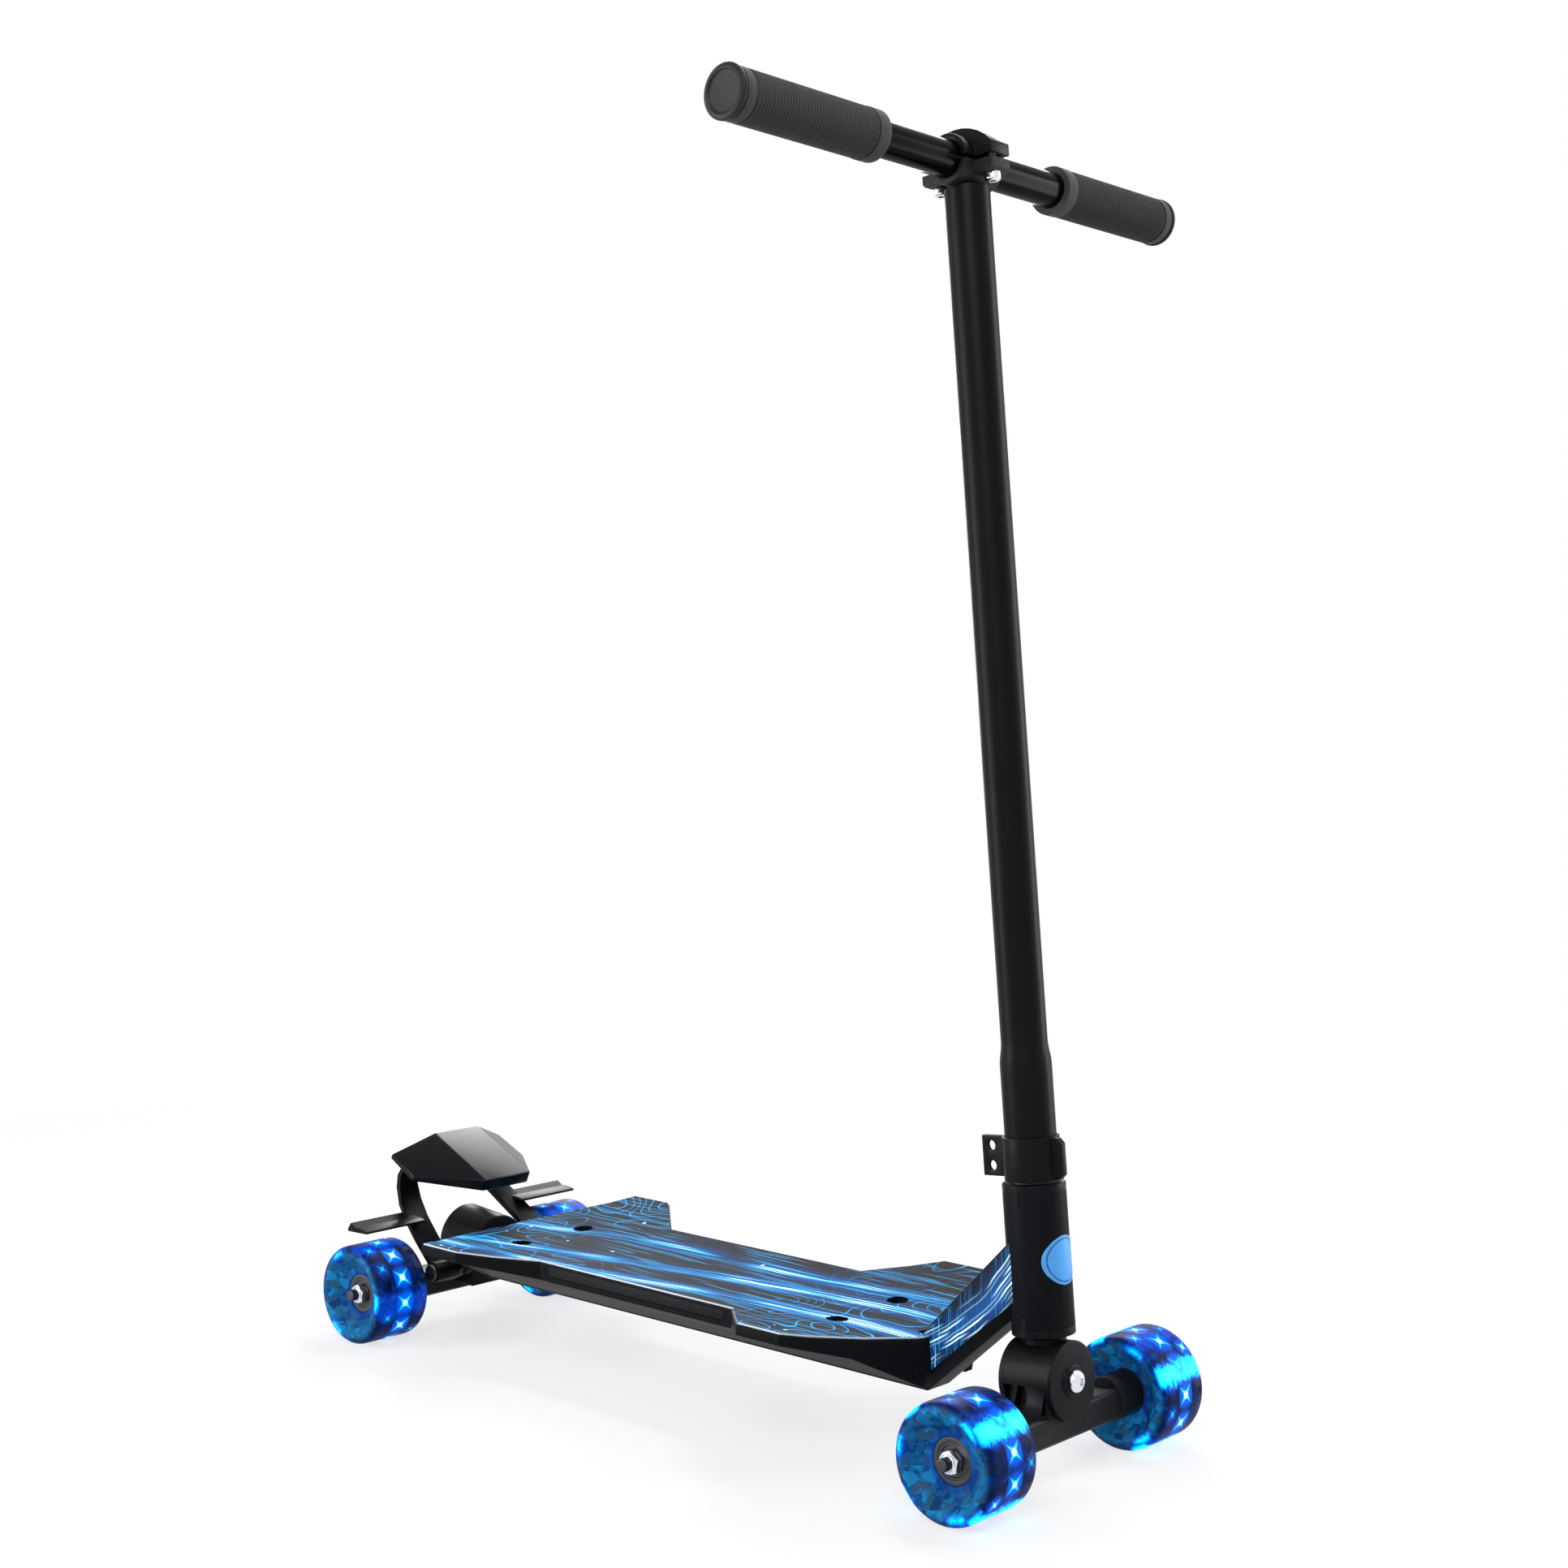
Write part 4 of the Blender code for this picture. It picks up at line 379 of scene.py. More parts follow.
@dataclass(frozen=True)
class CoatedMetal:
    """Powder-coated or painted metal with a fine orange peel."""

    name: str
    colour: Colour
    roughness: float
    specular: float = 0.10
    peel: float = 0.00006
    grain: float = 900.0
    spread: float = 0.25
    uneven: float = 0.10
    cloud: float = 14.0
    fine_share: float = 0.6

    def make(self) -> bpy.types.Material:
        """Builds the material.

        Returns:
            The material.
        """
        recipe = Recipe(self.name)
        where = recipe.place()
        broad = recipe.noise(where, self.cloud, 3.0)
        fine = recipe.noise(where, self.grain, 2.0, 0.6)
        light = tuple(min(1.0, part * (1 + self.spread)) for part in self.colour)
        dark = tuple(part * (1 - self.spread) for part in self.colour)
        ripple = (broad - 0.5) * self.uneven + (fine - 0.5) * self.uneven * self.fine_share
        recipe.set(
            Base_Color=recipe.mix(broad, dark, light),
            Roughness=self.roughness + ripple,
            Specular_IOR_Level=self.specular,
        )
        recipe.bump(fine, self.peel)
        return recipe.material


@dataclass(frozen=True)
class Moulding:
    """Moulded plastic with a spark-eroded texture."""

    name: str
    colour: Colour
    roughness: float
    specular: float = 0.3
    grain: float = 1500.0
    depth: float = 0.00008
    pits: bool = False
    cloud: float = 22.0
    pit_share: float = 0.55
    uneven: float = 0.12

    def make(self) -> bpy.types.Material:
        """Builds the material.

        Returns:
            The material.
        """
        recipe = Recipe(self.name)
        where = recipe.place()
        broad = recipe.noise(where, self.cloud, 3.0)
        fine = recipe.noise(where, self.grain, 3.0, 0.6)
        height = fine
        if self.pits:
            height = fine * 0.5 + recipe.cells(where, self.grain * self.pit_share).fade(0.0, 0.6)
        light = tuple(part * 1.25 for part in self.colour)
        dark = tuple(part * 0.8 for part in self.colour)
        recipe.set(
            Base_Color=recipe.mix(broad, dark, light),
            Roughness=self.roughness + (fine - 0.5) * self.uneven,
            Specular_IOR_Level=self.specular,
        )
        recipe.bump(height, self.depth)
        return recipe.material


@dataclass(frozen=True)
class BrightMetal:
    """Plated or bare steel with faint turning marks."""

    name: str
    colour: Colour
    roughness: float
    marks: float = 0.06
    mark_scale: float = 260.0
    stretch: Point = (1.0, 14.0, 14.0)
    haze: float = 120.0
    depth: float = 0.000006

    def make(self) -> bpy.types.Material:
        """Builds the material.

        Returns:
            The material.
        """
        recipe = Recipe(self.name)
        where = recipe.place()
        scratch = recipe.noise(recipe.place(scale=self.stretch), self.mark_scale, 3.0, 0.7)
        haze = recipe.noise(where, self.haze, 2.0)
        recipe.set(
            Base_Color=recipe.mix(haze, tuple(part * 0.88 for part in self.colour), self.colour),
            Metallic=1.0,
            Roughness=self.roughness + scratch * self.marks,
        )
        recipe.bump(scratch, self.depth)
        return recipe.material


@dataclass(frozen=True)
class RibbedRubber:
    """Soft rubber, with painted shade that darkens the grooves between ribs where it has them."""

    name: str
    colour: Colour
    roughness: float
    specular: float = 0.18
    # Radii from the bar's axis over which the painted groove shade fades out; there is none where rib
    # is 0.
    groove: float = 0.0
    rib: float = 0.0
    cloud: float = 60.0
    grain: float = 2200.0
    depth: float = 0.000008

    def make(self) -> bpy.types.Material:
        """Builds the material.

        Returns:
            The material.
        """
        recipe = Recipe(self.name)
        where = recipe.place()
        cloud = recipe.noise(where, self.cloud, 4.0)
        fine = recipe.noise(where, self.grain, 2.0)
        tone = recipe.mix(cloud, tuple(part * 0.75 for part in self.colour), self.colour)
        # Painted shade: the grooves between the ribs are darkened almost to black, by their distance
        # from the bar's axis.
        if self.rib:
            x, _, z = recipe.parts(recipe.place(tuple(BAR.to_translation())))
            height = ((x * x + z * z) ** 0.5).fade(self.groove, self.rib)
            tone = recipe.mix(height, tuple(part * 0.08 for part in self.colour), tone)
        recipe.set(
            Base_Color=tone,
            Roughness=self.roughness + (cloud - 0.5) * 0.06 + (fine - 0.5) * 0.04,
            Specular_IOR_Level=self.specular,
        )
        recipe.bump(fine, self.depth)
        return recipe.material


@dataclass(frozen=True)
class CastIron:
    """Rough casting under a thin coat of paint."""

    name: str
    colour: Colour
    roughness: float
    depth: float = 0.00035
    grain: float = 420.0
    specular: float = 0.15
    uneven: float = 0.3

    def make(self) -> bpy.types.Material:
        """Builds the material.

        Returns:
            The material.
        """
        recipe = Recipe(self.name)
        where = recipe.place()
        lumps = recipe.noise(where, self.grain, 5.0, 0.7)
        recipe.set(
            Base_Color=recipe.mix(lumps, tuple(part * 0.6 for part in self.colour), self.colour),
            Roughness=self.roughness + (lumps - 0.5) * self.uneven,
            Specular_IOR_Level=self.specular,
        )
        recipe.bump(lumps, self.depth)
        return recipe.material


@dataclass(frozen=True)
class LitUrethane:
    """Clear blue wheel with a mottled core, glowing windows and points of light.

    It reads two attributes: wheel_place, the place from the wheel's centre with Y along the axle,
    and window_share, how brightly the wheel's windows glow.
    """

    name: str
    radius: float = WHEEL_RADIUS
    rows: float = 12.0
    pitch: float = 0.0145
    star_core: float = 0.0034
    star_width: float = 0.0036
    star_length: float = 0.0165
    star_halo: float = 0.0120
    smoke_scale: float = 230.0
    smoke_out: tuple[float, float] = (0.0105, 0.0150)
    roughness: float = 0.36
    specular: float = 0.035
    strength: float = 0.98
    depth: float = 0.00002
    face_tones: Stops = (
        (0.0, (0.003, 0.030, 0.110)), (0.28, (0.004, 0.065, 0.180)), (0.44, (0.018, 0.060, 0.105)),
        (0.56, (0.004, 0.100, 0.240)), (0.72, (0.006, 0.150, 0.330)), (0.88, (0.003, 0.050, 0.190)),
    )
    deep_tones: Stops = (
        (0.0, (0.001, 0.002, 0.020)), (0.28, (0.001, 0.006, 0.060)), (0.46, (0.004, 0.010, 0.030)),
        (0.58, (0.001, 0.014, 0.110)), (0.74, (0.002, 0.030, 0.200)), (0.88, (0.001, 0.006, 0.050)),
    )
    window_tones: Stops = (
        (0.0, (0.0, 0.01, 0.12)), (0.35, (0.0, 0.08, 0.80)), (0.65, (0.0, 0.40, 1.0)),
        (0.88, (0.0, 0.85, 1.0)), (1.0, (0.03, 1.0, 1.0)),
    )
    star_tones: tuple[tuple[float, float, Colour], ...] = (
        (0.0, 0.38, (0.0, 0.80, 1.0)),
        (0.34, 0.62, (0.20, 1.0, 1.0)),
        (0.60, 0.82, (1.0, 1.0, 1.0)),
    )
    smoke: Colour = (0.040, 0.042, 0.052)
    hub_blue: Colour = (0.002, 0.025, 0.230)
    halo_blue: Colour = (0.0, 0.10, 0.90)
    halo_light: Colour = (0.0, 0.115, 0.95)
    deep_light: Colour = (0.0, 0.003, 0.020)

    def make(self) -> bpy.types.Material:
        """Builds the material.

        Returns:
            The material.
        """
        recipe = Recipe(self.name)
        where = recipe.own("wheel_place")
        x, y, z = recipe.parts(where)
        around = recipe.math("ARCTAN2", z, x)
        reach = (x * x + z * z) ** 0.5
        tread = reach.fade(self.radius * 0.84, self.radius * 0.97)
        camo = self._camo(recipe, where)
        face = recipe.ramp(camo, self.face_tones, "CONSTANT")
        deep = recipe.ramp(camo, self.deep_tones, "CONSTANT")
        smoke = recipe.cells(where, self.smoke_scale, "Color")
        smoky = recipe.parts(smoke)[0].fade(0.52, 0.56) * y.fade(*self.smoke_out)
        deep = recipe.mix(smoky * 0.85, deep, self.smoke)
        shade = recipe.mix(tread, face, deep)
        middle = reach.fade(self.radius * 0.60, self.radius * 0.40)
        shade = recipe.mix(middle * 0.8, shade, self.hub_blue)
        share = recipe.node("Attribute", {"attribute_name": "window_share"}, output="Fac")
        windows = self._windows(recipe, around, y, where) * share
        stars, halo = self._stars(recipe, around, y, windows)
        rim = reach.fade(self.radius * 0.70, self.radius * 0.88) * self._rim(recipe, around, where)
        lit = (windows * tread).most(rim * (1.0 - tread * 0.6))
        cyan = recipe.ramp(lit, self.window_tones)
        base = recipe.mix(lit, shade, cyan)
        base = recipe.mix(halo * tread * 0.9, base, self.halo_blue)
        glow = recipe.mix((1.0 - tread) * 0.38, self.deep_light, face)
        glow = recipe.mix(lit * 0.9, glow, cyan)
        glow = recipe.mix(halo * tread, glow, self.halo_light)
        for start, full, tone in self.star_tones:
            glow = recipe.mix(stars.fade(start, full) * tread, glow, tone)
        recipe.set(
            Base_Color=base,
            Roughness=self.roughness + camo * 0.12,
            Emission_Color=glow,
            Emission_Strength=self.strength,
            Specular_IOR_Level=self.specular,
        )
        recipe.bump(camo, self.depth)
        return recipe.material

    @staticmethod
    def _camo(recipe: Recipe, where: Signal) -> Signal:
        """Angular mottling of large and small cells.

        Args:
            recipe: the material's recipe.
            where: place on the surface.

        Returns:
            The mottling, from 0 to 1.
        """
        wobble = recipe.arrow("MULTIPLY", recipe.noise(where, 150.0, 2.0), (0.005, 0.005, 0.005))
        bent = recipe.arrow("ADD", where, wobble)
        first, _, _ = recipe.parts(recipe.cells(bent, 125.0, "Color"))
        second, _, _ = recipe.parts(recipe.cells(bent, 300.0, "Color"))
        return first * 0.72 + second * 0.28

    @staticmethod
    def _windows(recipe: Recipe, around: Signal, y: Signal, where: Signal) -> Signal:
        """Glowing patches round the tread, ragged at their ends.

        Args:
            recipe: the material's recipe.
            around: angle round the axle.
            y: place along the axle.
            where: place on the surface.

        Returns:
            Their strength, from 0 to 1.
        """
        streaks = recipe.noise(recipe.whole(around * 2.0, y * 520.0, 0.0), 1.6, 3.0, 0.6) - 0.5
        clouds = recipe.noise(where, 190.0, 3.0, 0.6) - 0.5
        turns = (around * 4.0 + 0.9 + streaks * 0.8).sine() + clouds * 0.7
        return turns.fade(0.38, 1.02)

    @staticmethod
    def _rim(recipe: Recipe, around: Signal, where: Signal) -> Signal:
        """Where light leaks out between the face and the tread.

        Args:
            recipe: the material's recipe.
            around: angle round the axle.
            where: place on the surface.

        Returns:
            Its strength, from 0 to 1.
        """
        clouds = recipe.noise(where, 150.0, 3.0, 0.6) - 0.5
        return ((around * 3.0 + 0.6).sine() + clouds * 0.9).fade(0.45, 1.15)

    def _stars(
        self, recipe: Recipe, around: Signal, y: Signal, windows: Signal
    ) -> tuple[Signal, Signal]:
        """Four-pointed points of light in a staggered grid round the tread.

        Args:
            recipe: the material's recipe.
            around: angle round the axle.
            y: place along the axle.
            windows: strength of the windows, which dim the points.

        Returns:
            The points' strength, and that of the halo round them.
        """
        across = y / self.pitch + 0.5
        row = across.floor()
        along = around * (self.rows / (2 * math.pi)) + (row % 2.0) * 0.5
        outer = abs(row).least(1.0)
        luck = recipe.chance(along.floor(), row)
        power = (luck * 0.25 + 0.75) * (1.0 - outer) + luck.fade(0.25, 0.95) * 0.80 * outer
        cell = 2 * math.pi * self.radius / self.rows
        shrink = 1.0 + outer * 0.50
        u = ((along % 1.0) - 0.5) * shrink * cell
        v = ((across % 1.0) - 0.5) * shrink * self.pitch
        far = (u * u + v * v) ** 0.5
        first, second = abs(u + v), abs(u - v)
        wide, long = self.star_width, self.star_length
        ray = (first / wide + second / long).least(first / long + second / wide)
        core = far.fade(self.star_core, self.star_core * 0.45)
        star = core.most(ray.fade(1.0, 0.08) * 0.80) * power * (1.0 - windows * 0.7)
        return star, far.fade(self.star_halo, 0.0008) * power


@dataclass(frozen=True)
class LightTrails:
    """Printed sheet: dark ground with sweeping trails of light, level lines and speed lines, with a
    painted glow that gives off light of its own.
    """

    name: str
    ground: Colour = (0.016, 0.017, 0.020)
    blue: Colour = (0.0, 0.15, 0.66)
    cyan: Colour = (0.04, 0.50, 0.98)
    level_blue: Colour = (0.01, 0.36, 0.86)
    bright_blue: Colour = (0.03, 0.50, 0.98)
    white: Colour = (0.80, 0.95, 1.0)
    # Colours of the painted glow that the print gives off.
    haze_light: Colour = (0.0, 0.18, 0.62)
    speed_light: Colour = (0.0, 0.30, 0.80)
    bright_light: Colour = (0.0, 0.42, 1.0)
    white_light: Colour = (0.50, 0.88, 1.0)
    strand: float = 0.0025
    lanes: float = 420.0
    spark_scale: float = 34.0
    grain: float = 1400.0
    roughness: float = 0.52
    specular: float = 0.015
    strength: float = 0.7
    depth: float = 0.00005
    curves: tuple[tuple[float, float, float, float, float, float], ...] = (
        (-0.050, 0.09, 0.010, 12.0, 0.4, 1.0),
        (-0.012, 0.14, 0.012, 9.0, 1.4, 0.70),
        (0.034, 0.11, 0.010, 11.0, 3.0, 0.55),
    )

    def make(self) -> bpy.types.Material:
        """Builds the material.

        Returns:
            The material.
        """
        recipe = Recipe(self.name)
        where = recipe.place()
        x, y, _ = recipe.parts(where)
        drift = recipe.noise(where, 9.0, 2.0) - 0.5
        cores, haze = self._trails(recipe, x, y, drift)
        level = self._levels(recipe, where, x)
        speed = self._speed_lines(recipe, x, y, drift)
        sparks = self._sparks(recipe, where)
        tone = recipe.mix(haze * 0.75, self.ground, self.blue)
        tone = recipe.mix(level * 0.95, tone, self.level_blue)
        tone = recipe.mix(speed, tone, self.cyan)
        bright = cores.most(sparks)
        shine = bright.fade(0.0, 0.6)
        white = bright.fade(0.40, 0.80)
        tone = recipe.mix(shine, tone, self.bright_blue)
        tone = recipe.mix(white, tone, self.white)
        # Painted glow: the print gives off light of its own from its haze, level lines, speed lines and
        # bright lines.
        light = recipe.mix((haze * 0.40).most(level * 0.5), (0.0, 0.0, 0.0), self.haze_light)
        light = recipe.mix(speed * 0.6, light, self.speed_light)
        light = recipe.mix(shine * 0.8, light, self.bright_light)
        light = recipe.mix(white * 0.9, light, self.white_light)
        fine = recipe.noise(where, self.grain, 2.0)
        recipe.set(
            Base_Color=tone,
            Roughness=self.roughness + fine * 0.12,
            Emission_Color=light,
            Emission_Strength=self.strength,
            Specular_IOR_Level=self.specular,
        )
        recipe.bump(fine, self.depth)
        return recipe.material

    def _trails(self, recipe: Recipe, x: Signal, y: Signal, drift: Signal) -> tuple[Signal, Signal]:
        """Bundles of bright lines along swept curves.

        Args:
            recipe: the material's recipe.
            x: place along the scooter.
            y: place across it.
            drift: slow noise about zero.

        Returns:
            The lines' strength, and that of the haze round them.
        """
        cores: Signal | None = None
        haze: Signal | None = None
        for number, (offset, slope, swing, rate, phase, power) in enumerate(self.curves):
            middle = x * slope + (x * rate + phase).sine() * swing + offset
            gap = y - middle + drift * 0.012
            near = abs(gap)
            lane = gap / self.strand
            index = lane.floor()
            luck = recipe.chance(index, 11.0 + number)
            run = recipe.noise(recipe.whole(x * 7.0 + luck * 40.0, index, number * 3.0), 1.0, 0.0)
            length = recipe.noise(recipe.whole(x, number * 1.7, 0.0), 10.0, 1.0).fade(0.36, 0.60)
            thin = abs(lane - index - 0.5).fade(0.30, 0.08)
            reach = 0.004 + 0.010 * power
            lines = thin * run.fade(0.40, 0.62) * near.fade(reach, reach * 0.4) * (0.35 + length * 0.65)
            heart = near.fade(0.0018, 0.0006) * (power * length)
            bundle = lines.most(heart)
            cloud = near.fade(0.022, 0.0) ** 2.0 * (0.25 + length * 0.75) * power
            cores = bundle if cores is None else cores.most(bundle)
            haze = cloud if haze is None else haze.most(cloud)
        return cores, haze

    @staticmethod
    def _levels(recipe: Recipe, where: Signal, x: Signal) -> Signal:
        """Thin level lines like those of a map, thicker towards nose and tail.

        Args:
            recipe: the material's recipe.
            where: place on the surface.
            x: place along the scooter.

        Returns:
            Their strength, from 0 to 1.
        """
        height = recipe.noise(where, 13.0, 1.0, 0.4) * 20.0
        line = abs((height % 1.0) - 0.5).fade(0.075, 0.030)
        patch = recipe.noise(where, 8.0, 1.0).fade(0.36, 0.50)
        return line * patch * abs(x).fade(0.04, 0.13)

    def _speed_lines(self, recipe: Recipe, x: Signal, y: Signal, drift: Signal) -> Signal:
        """Fine broken lines that run along the deck, each with its own length and strength.

        Args:
            recipe: the material's recipe.
            x: place along the scooter.
            y: place across it.
            drift: slow noise about zero.

        Returns:
            Their strength, from 0 to 1.
        """
        lane = (y + drift * 0.016 + (x * 9.0).sine() * 0.004) * self.lanes
        number = lane.floor()
        luck = recipe.chance(number, 3.0)
        thin = abs((lane % 1.0) - 0.5).fade(0.24, 0.10)
        on = recipe.noise(recipe.whole(x * 9.0 + luck * 60.0, number, 0.0), 1.0, 0.0).fade(0.50, 0.56)
        patch = recipe.noise(recipe.whole(x * 0.6, y, 3.0), 16.0, 1.0).fade(0.38, 0.58)
        patch = patch.most(y.fade(-0.028, -0.056) * 0.75)
        return thin * on * patch * (0.35 + luck * 0.65)

    def _sparks(self, recipe: Recipe, where: Signal) -> Signal:
        """Small bright points."""
        return recipe.cells(where, self.spark_scale).fade(0.070, 0.025)


@dataclass(frozen=True)
class NeckPrint:
    """Print on the neck's sides: near-black ground, blue haze, trails of light and falling lines, with
    a painted glow that gives off light of its own.
    """

    name: str
    middle: Point = (0.2150, 0.0, 0.0900)
    slope: float = 45.0
    strands: float = 460.0
    lanes: float = 640.0
    foot_back: float = 0.046
    spark_scale: float = 85.0
    ground: Colour = (0.003, 0.005, 0.012)
    blue: Colour = (0.0, 0.11, 0.55)
    cyan: Colour = (0.02, 0.42, 0.95)
    white: Colour = (0.75, 0.95, 1.0)
    # Colours of the painted glow that the print gives off.
    ground_light: Colour = (0.0, 0.002, 0.01)
    blue_light: Colour = (0.0, 0.30, 0.85)
    white_light: Colour = (0.40, 0.85, 1.0)
    roughness: float = 0.40
    specular: float = 0.12
    strength: float = 0.6

    def make(self) -> bpy.types.Material:
        """Builds the material.

        Returns:
            The material.
        """
        recipe = Recipe(self.name)
        where = recipe.place()
        x, _, z = recipe.parts(where)
        turned = recipe.place(self.middle, (0, math.radians(self.slope), 0))
        along, _, across = recipe.parts(turned)
        drift = recipe.noise(where, 40.0, 2.0) - 0.5
        dash = self._falling(recipe, x, z, along, drift)
        bend = across + (along * 42.0 + 0.6).sine() * 0.0045 + 0.002 + drift * 0.004
        glow = abs(bend).fade(0.017, 0.0) ** 1.5 * (0.45 + recipe.noise(where, 55.0, 1.0) * 0.9)
        trail = self._strands(recipe, along, bend)
        from_foot = along + self.foot_back
        flare = ((from_foot * from_foot + across * across) ** 0.5).fade(0.026, 0.0)
        sparks = recipe.cells(where, self.spark_scale).fade(0.085, 0.03)
        haze = (glow * 0.42).most(flare * 0.6)
        bright = trail.most(sparks).most(dash * flare)
        tone = recipe.mix(haze, self.ground, self.blue)
        tone = recipe.mix(dash, tone, self.cyan)
        tone = recipe.mix(bright, tone, self.white)
        # Painted glow: the print gives off light of its own from its haze, lines and sparks.
        light = recipe.mix((haze * 0.5).most(dash * 0.8), self.ground_light, self.blue_light)
        light = recipe.mix(bright, light, self.white_light)
        recipe.set(
            Base_Color=tone,
            Roughness=self.roughness + drift * 0.1,
            Emission_Color=light,
            Emission_Strength=self.strength,
            Specular_IOR_Level=self.specular,
        )
        return recipe.material

    def _strands(self, recipe: Recipe, along: Signal, bend: Signal) -> Signal:
        """Broken bright strands in a lane up the neck.

        Args:
            recipe: the material's recipe.
            along: place along the neck.
            bend: distance from the lane's middle.

        Returns:
            Their strength, from 0 to 1.
        """
        strand = bend * self.strands
        number = strand.floor()
        start = along * 22.0 + recipe.chance(number, 5.0) * 30.0
        run = recipe.noise(recipe.whole(start, number, 5.0), 1.0, 0.0)
        thin = abs(strand - number - 0.5).fade(0.34, 0.10)
        return thin * run.fade(0.46, 0.60) * abs(bend).fade(0.012, 0.004)

    def _falling(
        self, recipe: Recipe, x: Signal, z: Signal, along: Signal, drift: Signal
    ) -> Signal:
        """Upright broken lines, dense at the neck's foot and sparse above it.

        Args:
            recipe: the material's recipe.
            x: place along the scooter.
            z: height.
            along: place along the neck.
            drift: slow noise about zero.

        Returns:
            The lines' strength, from 0 to 1.
        """
        lane = (x + drift * 0.002) * self.lanes
        number = lane.floor()
        luck = recipe.chance(number, 7.0)
        thin = abs(lane - number - 0.5).fade(0.36, 0.10)
        run = recipe.noise(recipe.whole(z * 34.0 + luck * 40.0, number, 0.0), 1.0, 0.0)
        foot = along.fade(0.015, -0.040) * 0.7 + 0.3
        return thin * run.fade(0.47, 0.60) * (0.25 + luck * 0.75) * foot


@dataclass(frozen=True)
class BadgeDisc:
    """Plain round badge: blue enamel with a dark ring, centred on a place of the head tube."""

    name: str
    centre: Point
    low_blue: Colour = (0.075, 0.33, 0.78)
    high_blue: Colour = (0.10, 0.40, 0.88)
    rim_blue: Colour = (0.01, 0.05, 0.20)
    rim_inside: tuple[float, float] = (0.0122, 0.0125)
    rim_outside: tuple[float, float] = (0.0134, 0.0131)
    grain: float = 500.0
    roughness: float = 0.40
    specular: float = 0.15

    def make(self) -> bpy.types.Material:
        """Builds the material.

        Returns:
            The material.
        """
        recipe = Recipe(self.name)
        _, y, z = recipe.parts(recipe.place(self.centre))
        far = (y * y + z * z) ** 0.5
        flecks = recipe.noise(recipe.place(), self.grain, 3.0)
        blue = recipe.mix(flecks, self.low_blue, self.high_blue)
        rim = far.fade(*self.rim_inside) * far.fade(*self.rim_outside)
        recipe.set(
            Base_Color=recipe.mix(rim * 0.8, blue, self.rim_blue),
            Roughness=self.roughness + flecks * 0.08,
            Specular_IOR_Level=self.specular,
        )
        return recipe.material


class Finish(Enum):
    """The finishes of this scooter."""

    FRAME = CoatedMetal("frame_black", (0.0060, 0.0063, 0.0080), 0.46, specular=0.030)
    STEM = CoatedMetal("upright_black", (0.0050, 0.0053, 0.0065), 0.36, specular=0.055)
    BAR = CoatedMetal(
        "crossbar_gloss", (0.0016, 0.0017, 0.0023), 0.22,
        specular=0.028, peel=0.00001, spread=0.10, uneven=0.02,
    )
    TRUCK = CoatedMetal("truck_black", (0.0050, 0.0052, 0.0064), 0.34, specular=0.065)
    BEAM = CoatedMetal("beam_black", (0.0100, 0.0104, 0.0125), 0.38, specular=0.06)
    ARM = CoatedMetal("brake_arm_black", (0.0036, 0.0038, 0.0048), 0.34, specular=0.05)
    CAST = CastIron("rough_casting", (0.010, 0.010, 0.012), 0.55)
    SHELL = Moulding("deck_shell_black", (0.0058, 0.0060, 0.0074), 0.46, specular=0.032)
    PANEL = Moulding(
        "pebbled_panel", (0.0085, 0.0088, 0.0105), 0.50,
        specular=0.08, grain=1100.0, depth=0.00025, pits=True,
    )
    # Painted highlight: a pale colour for the light that the printed sheet's outer edge catches.
    EDGE = Moulding("sheet_edge", (0.62, 0.70, 0.80), 0.40)
    PEDAL = Moulding(
        "pedal_plastic", (0.0036, 0.0038, 0.0048), 0.24, specular=0.085, depth=0.00001
    )
    HUB = Moulding("hub_plastic", (0.0085, 0.0088, 0.0100), 0.42, specular=0.10)
    # Grip rubber with painted shade in the grooves between its ribs.
    RUBBER = RibbedRubber(
        "grip_rubber", (0.0052, 0.0055, 0.0070), 0.25, specular=0.24, groove=0.0143, rib=0.0152
    )
    CUSHION = RibbedRubber("cushion_rubber", (0.020, 0.020, 0.022), 0.60)
    CAP = RibbedRubber("end_cap_rubber", (0.0165, 0.0172, 0.0205), 0.46, specular=0.12)
    CHROME = BrightMetal("bright_plating", (0.80, 0.83, 0.88), 0.10)
    STEEL = BrightMetal("dark_steel", (0.035, 0.035, 0.040), 0.34, marks=0.15)
    WHEEL = LitUrethane("clear_blue_wheel")
    DECK = LightTrails("deck_print")
    NECK = NeckPrint("neck_print")

    @property
    def material(self) -> bpy.types.Material:
        """The finish's material, built at its first use."""
        return bpy.data.materials.get(self.value.name) or self.value.make()


# Bench work


def soften(corners: Sequence[Corner], steps: int = 4) -> list[Ring]:
    """Rounds the corners of a profile.

    Args:
        corners: radius, height and how far the rounding reaches, of each corner.
        steps: pieces of each rounded corner.

    Returns:
        Radius and height of each ring.
    """
    made: list[Ring] = []
    for i, (radius, height, reach) in enumerate(corners):
        if reach == 0 or i in (0, len(corners) - 1):
            made.append((radius, height))
            continue
        here = Vector((radius, height))
        start = here + (Vector(corners[i - 1][:2]) - here).normalized() * reach
        end = here + (Vector(corners[i + 1][:2]) - here).normalized() * reach
        for k in range(steps + 1):
            t = k / steps
            spot = start * (1 - t) ** 2 + here * 2 * t * (1 - t) + end * t * t
            made.append((spot.x, spot.y))
    return made


def mirrored(half: Sequence[Corner]) -> list[Corner]:
    """A profile from its upper half, which is named from the middle outward."""
    return [(radius, -height, reach) for radius, height, reach in half] + list(half[::-1])


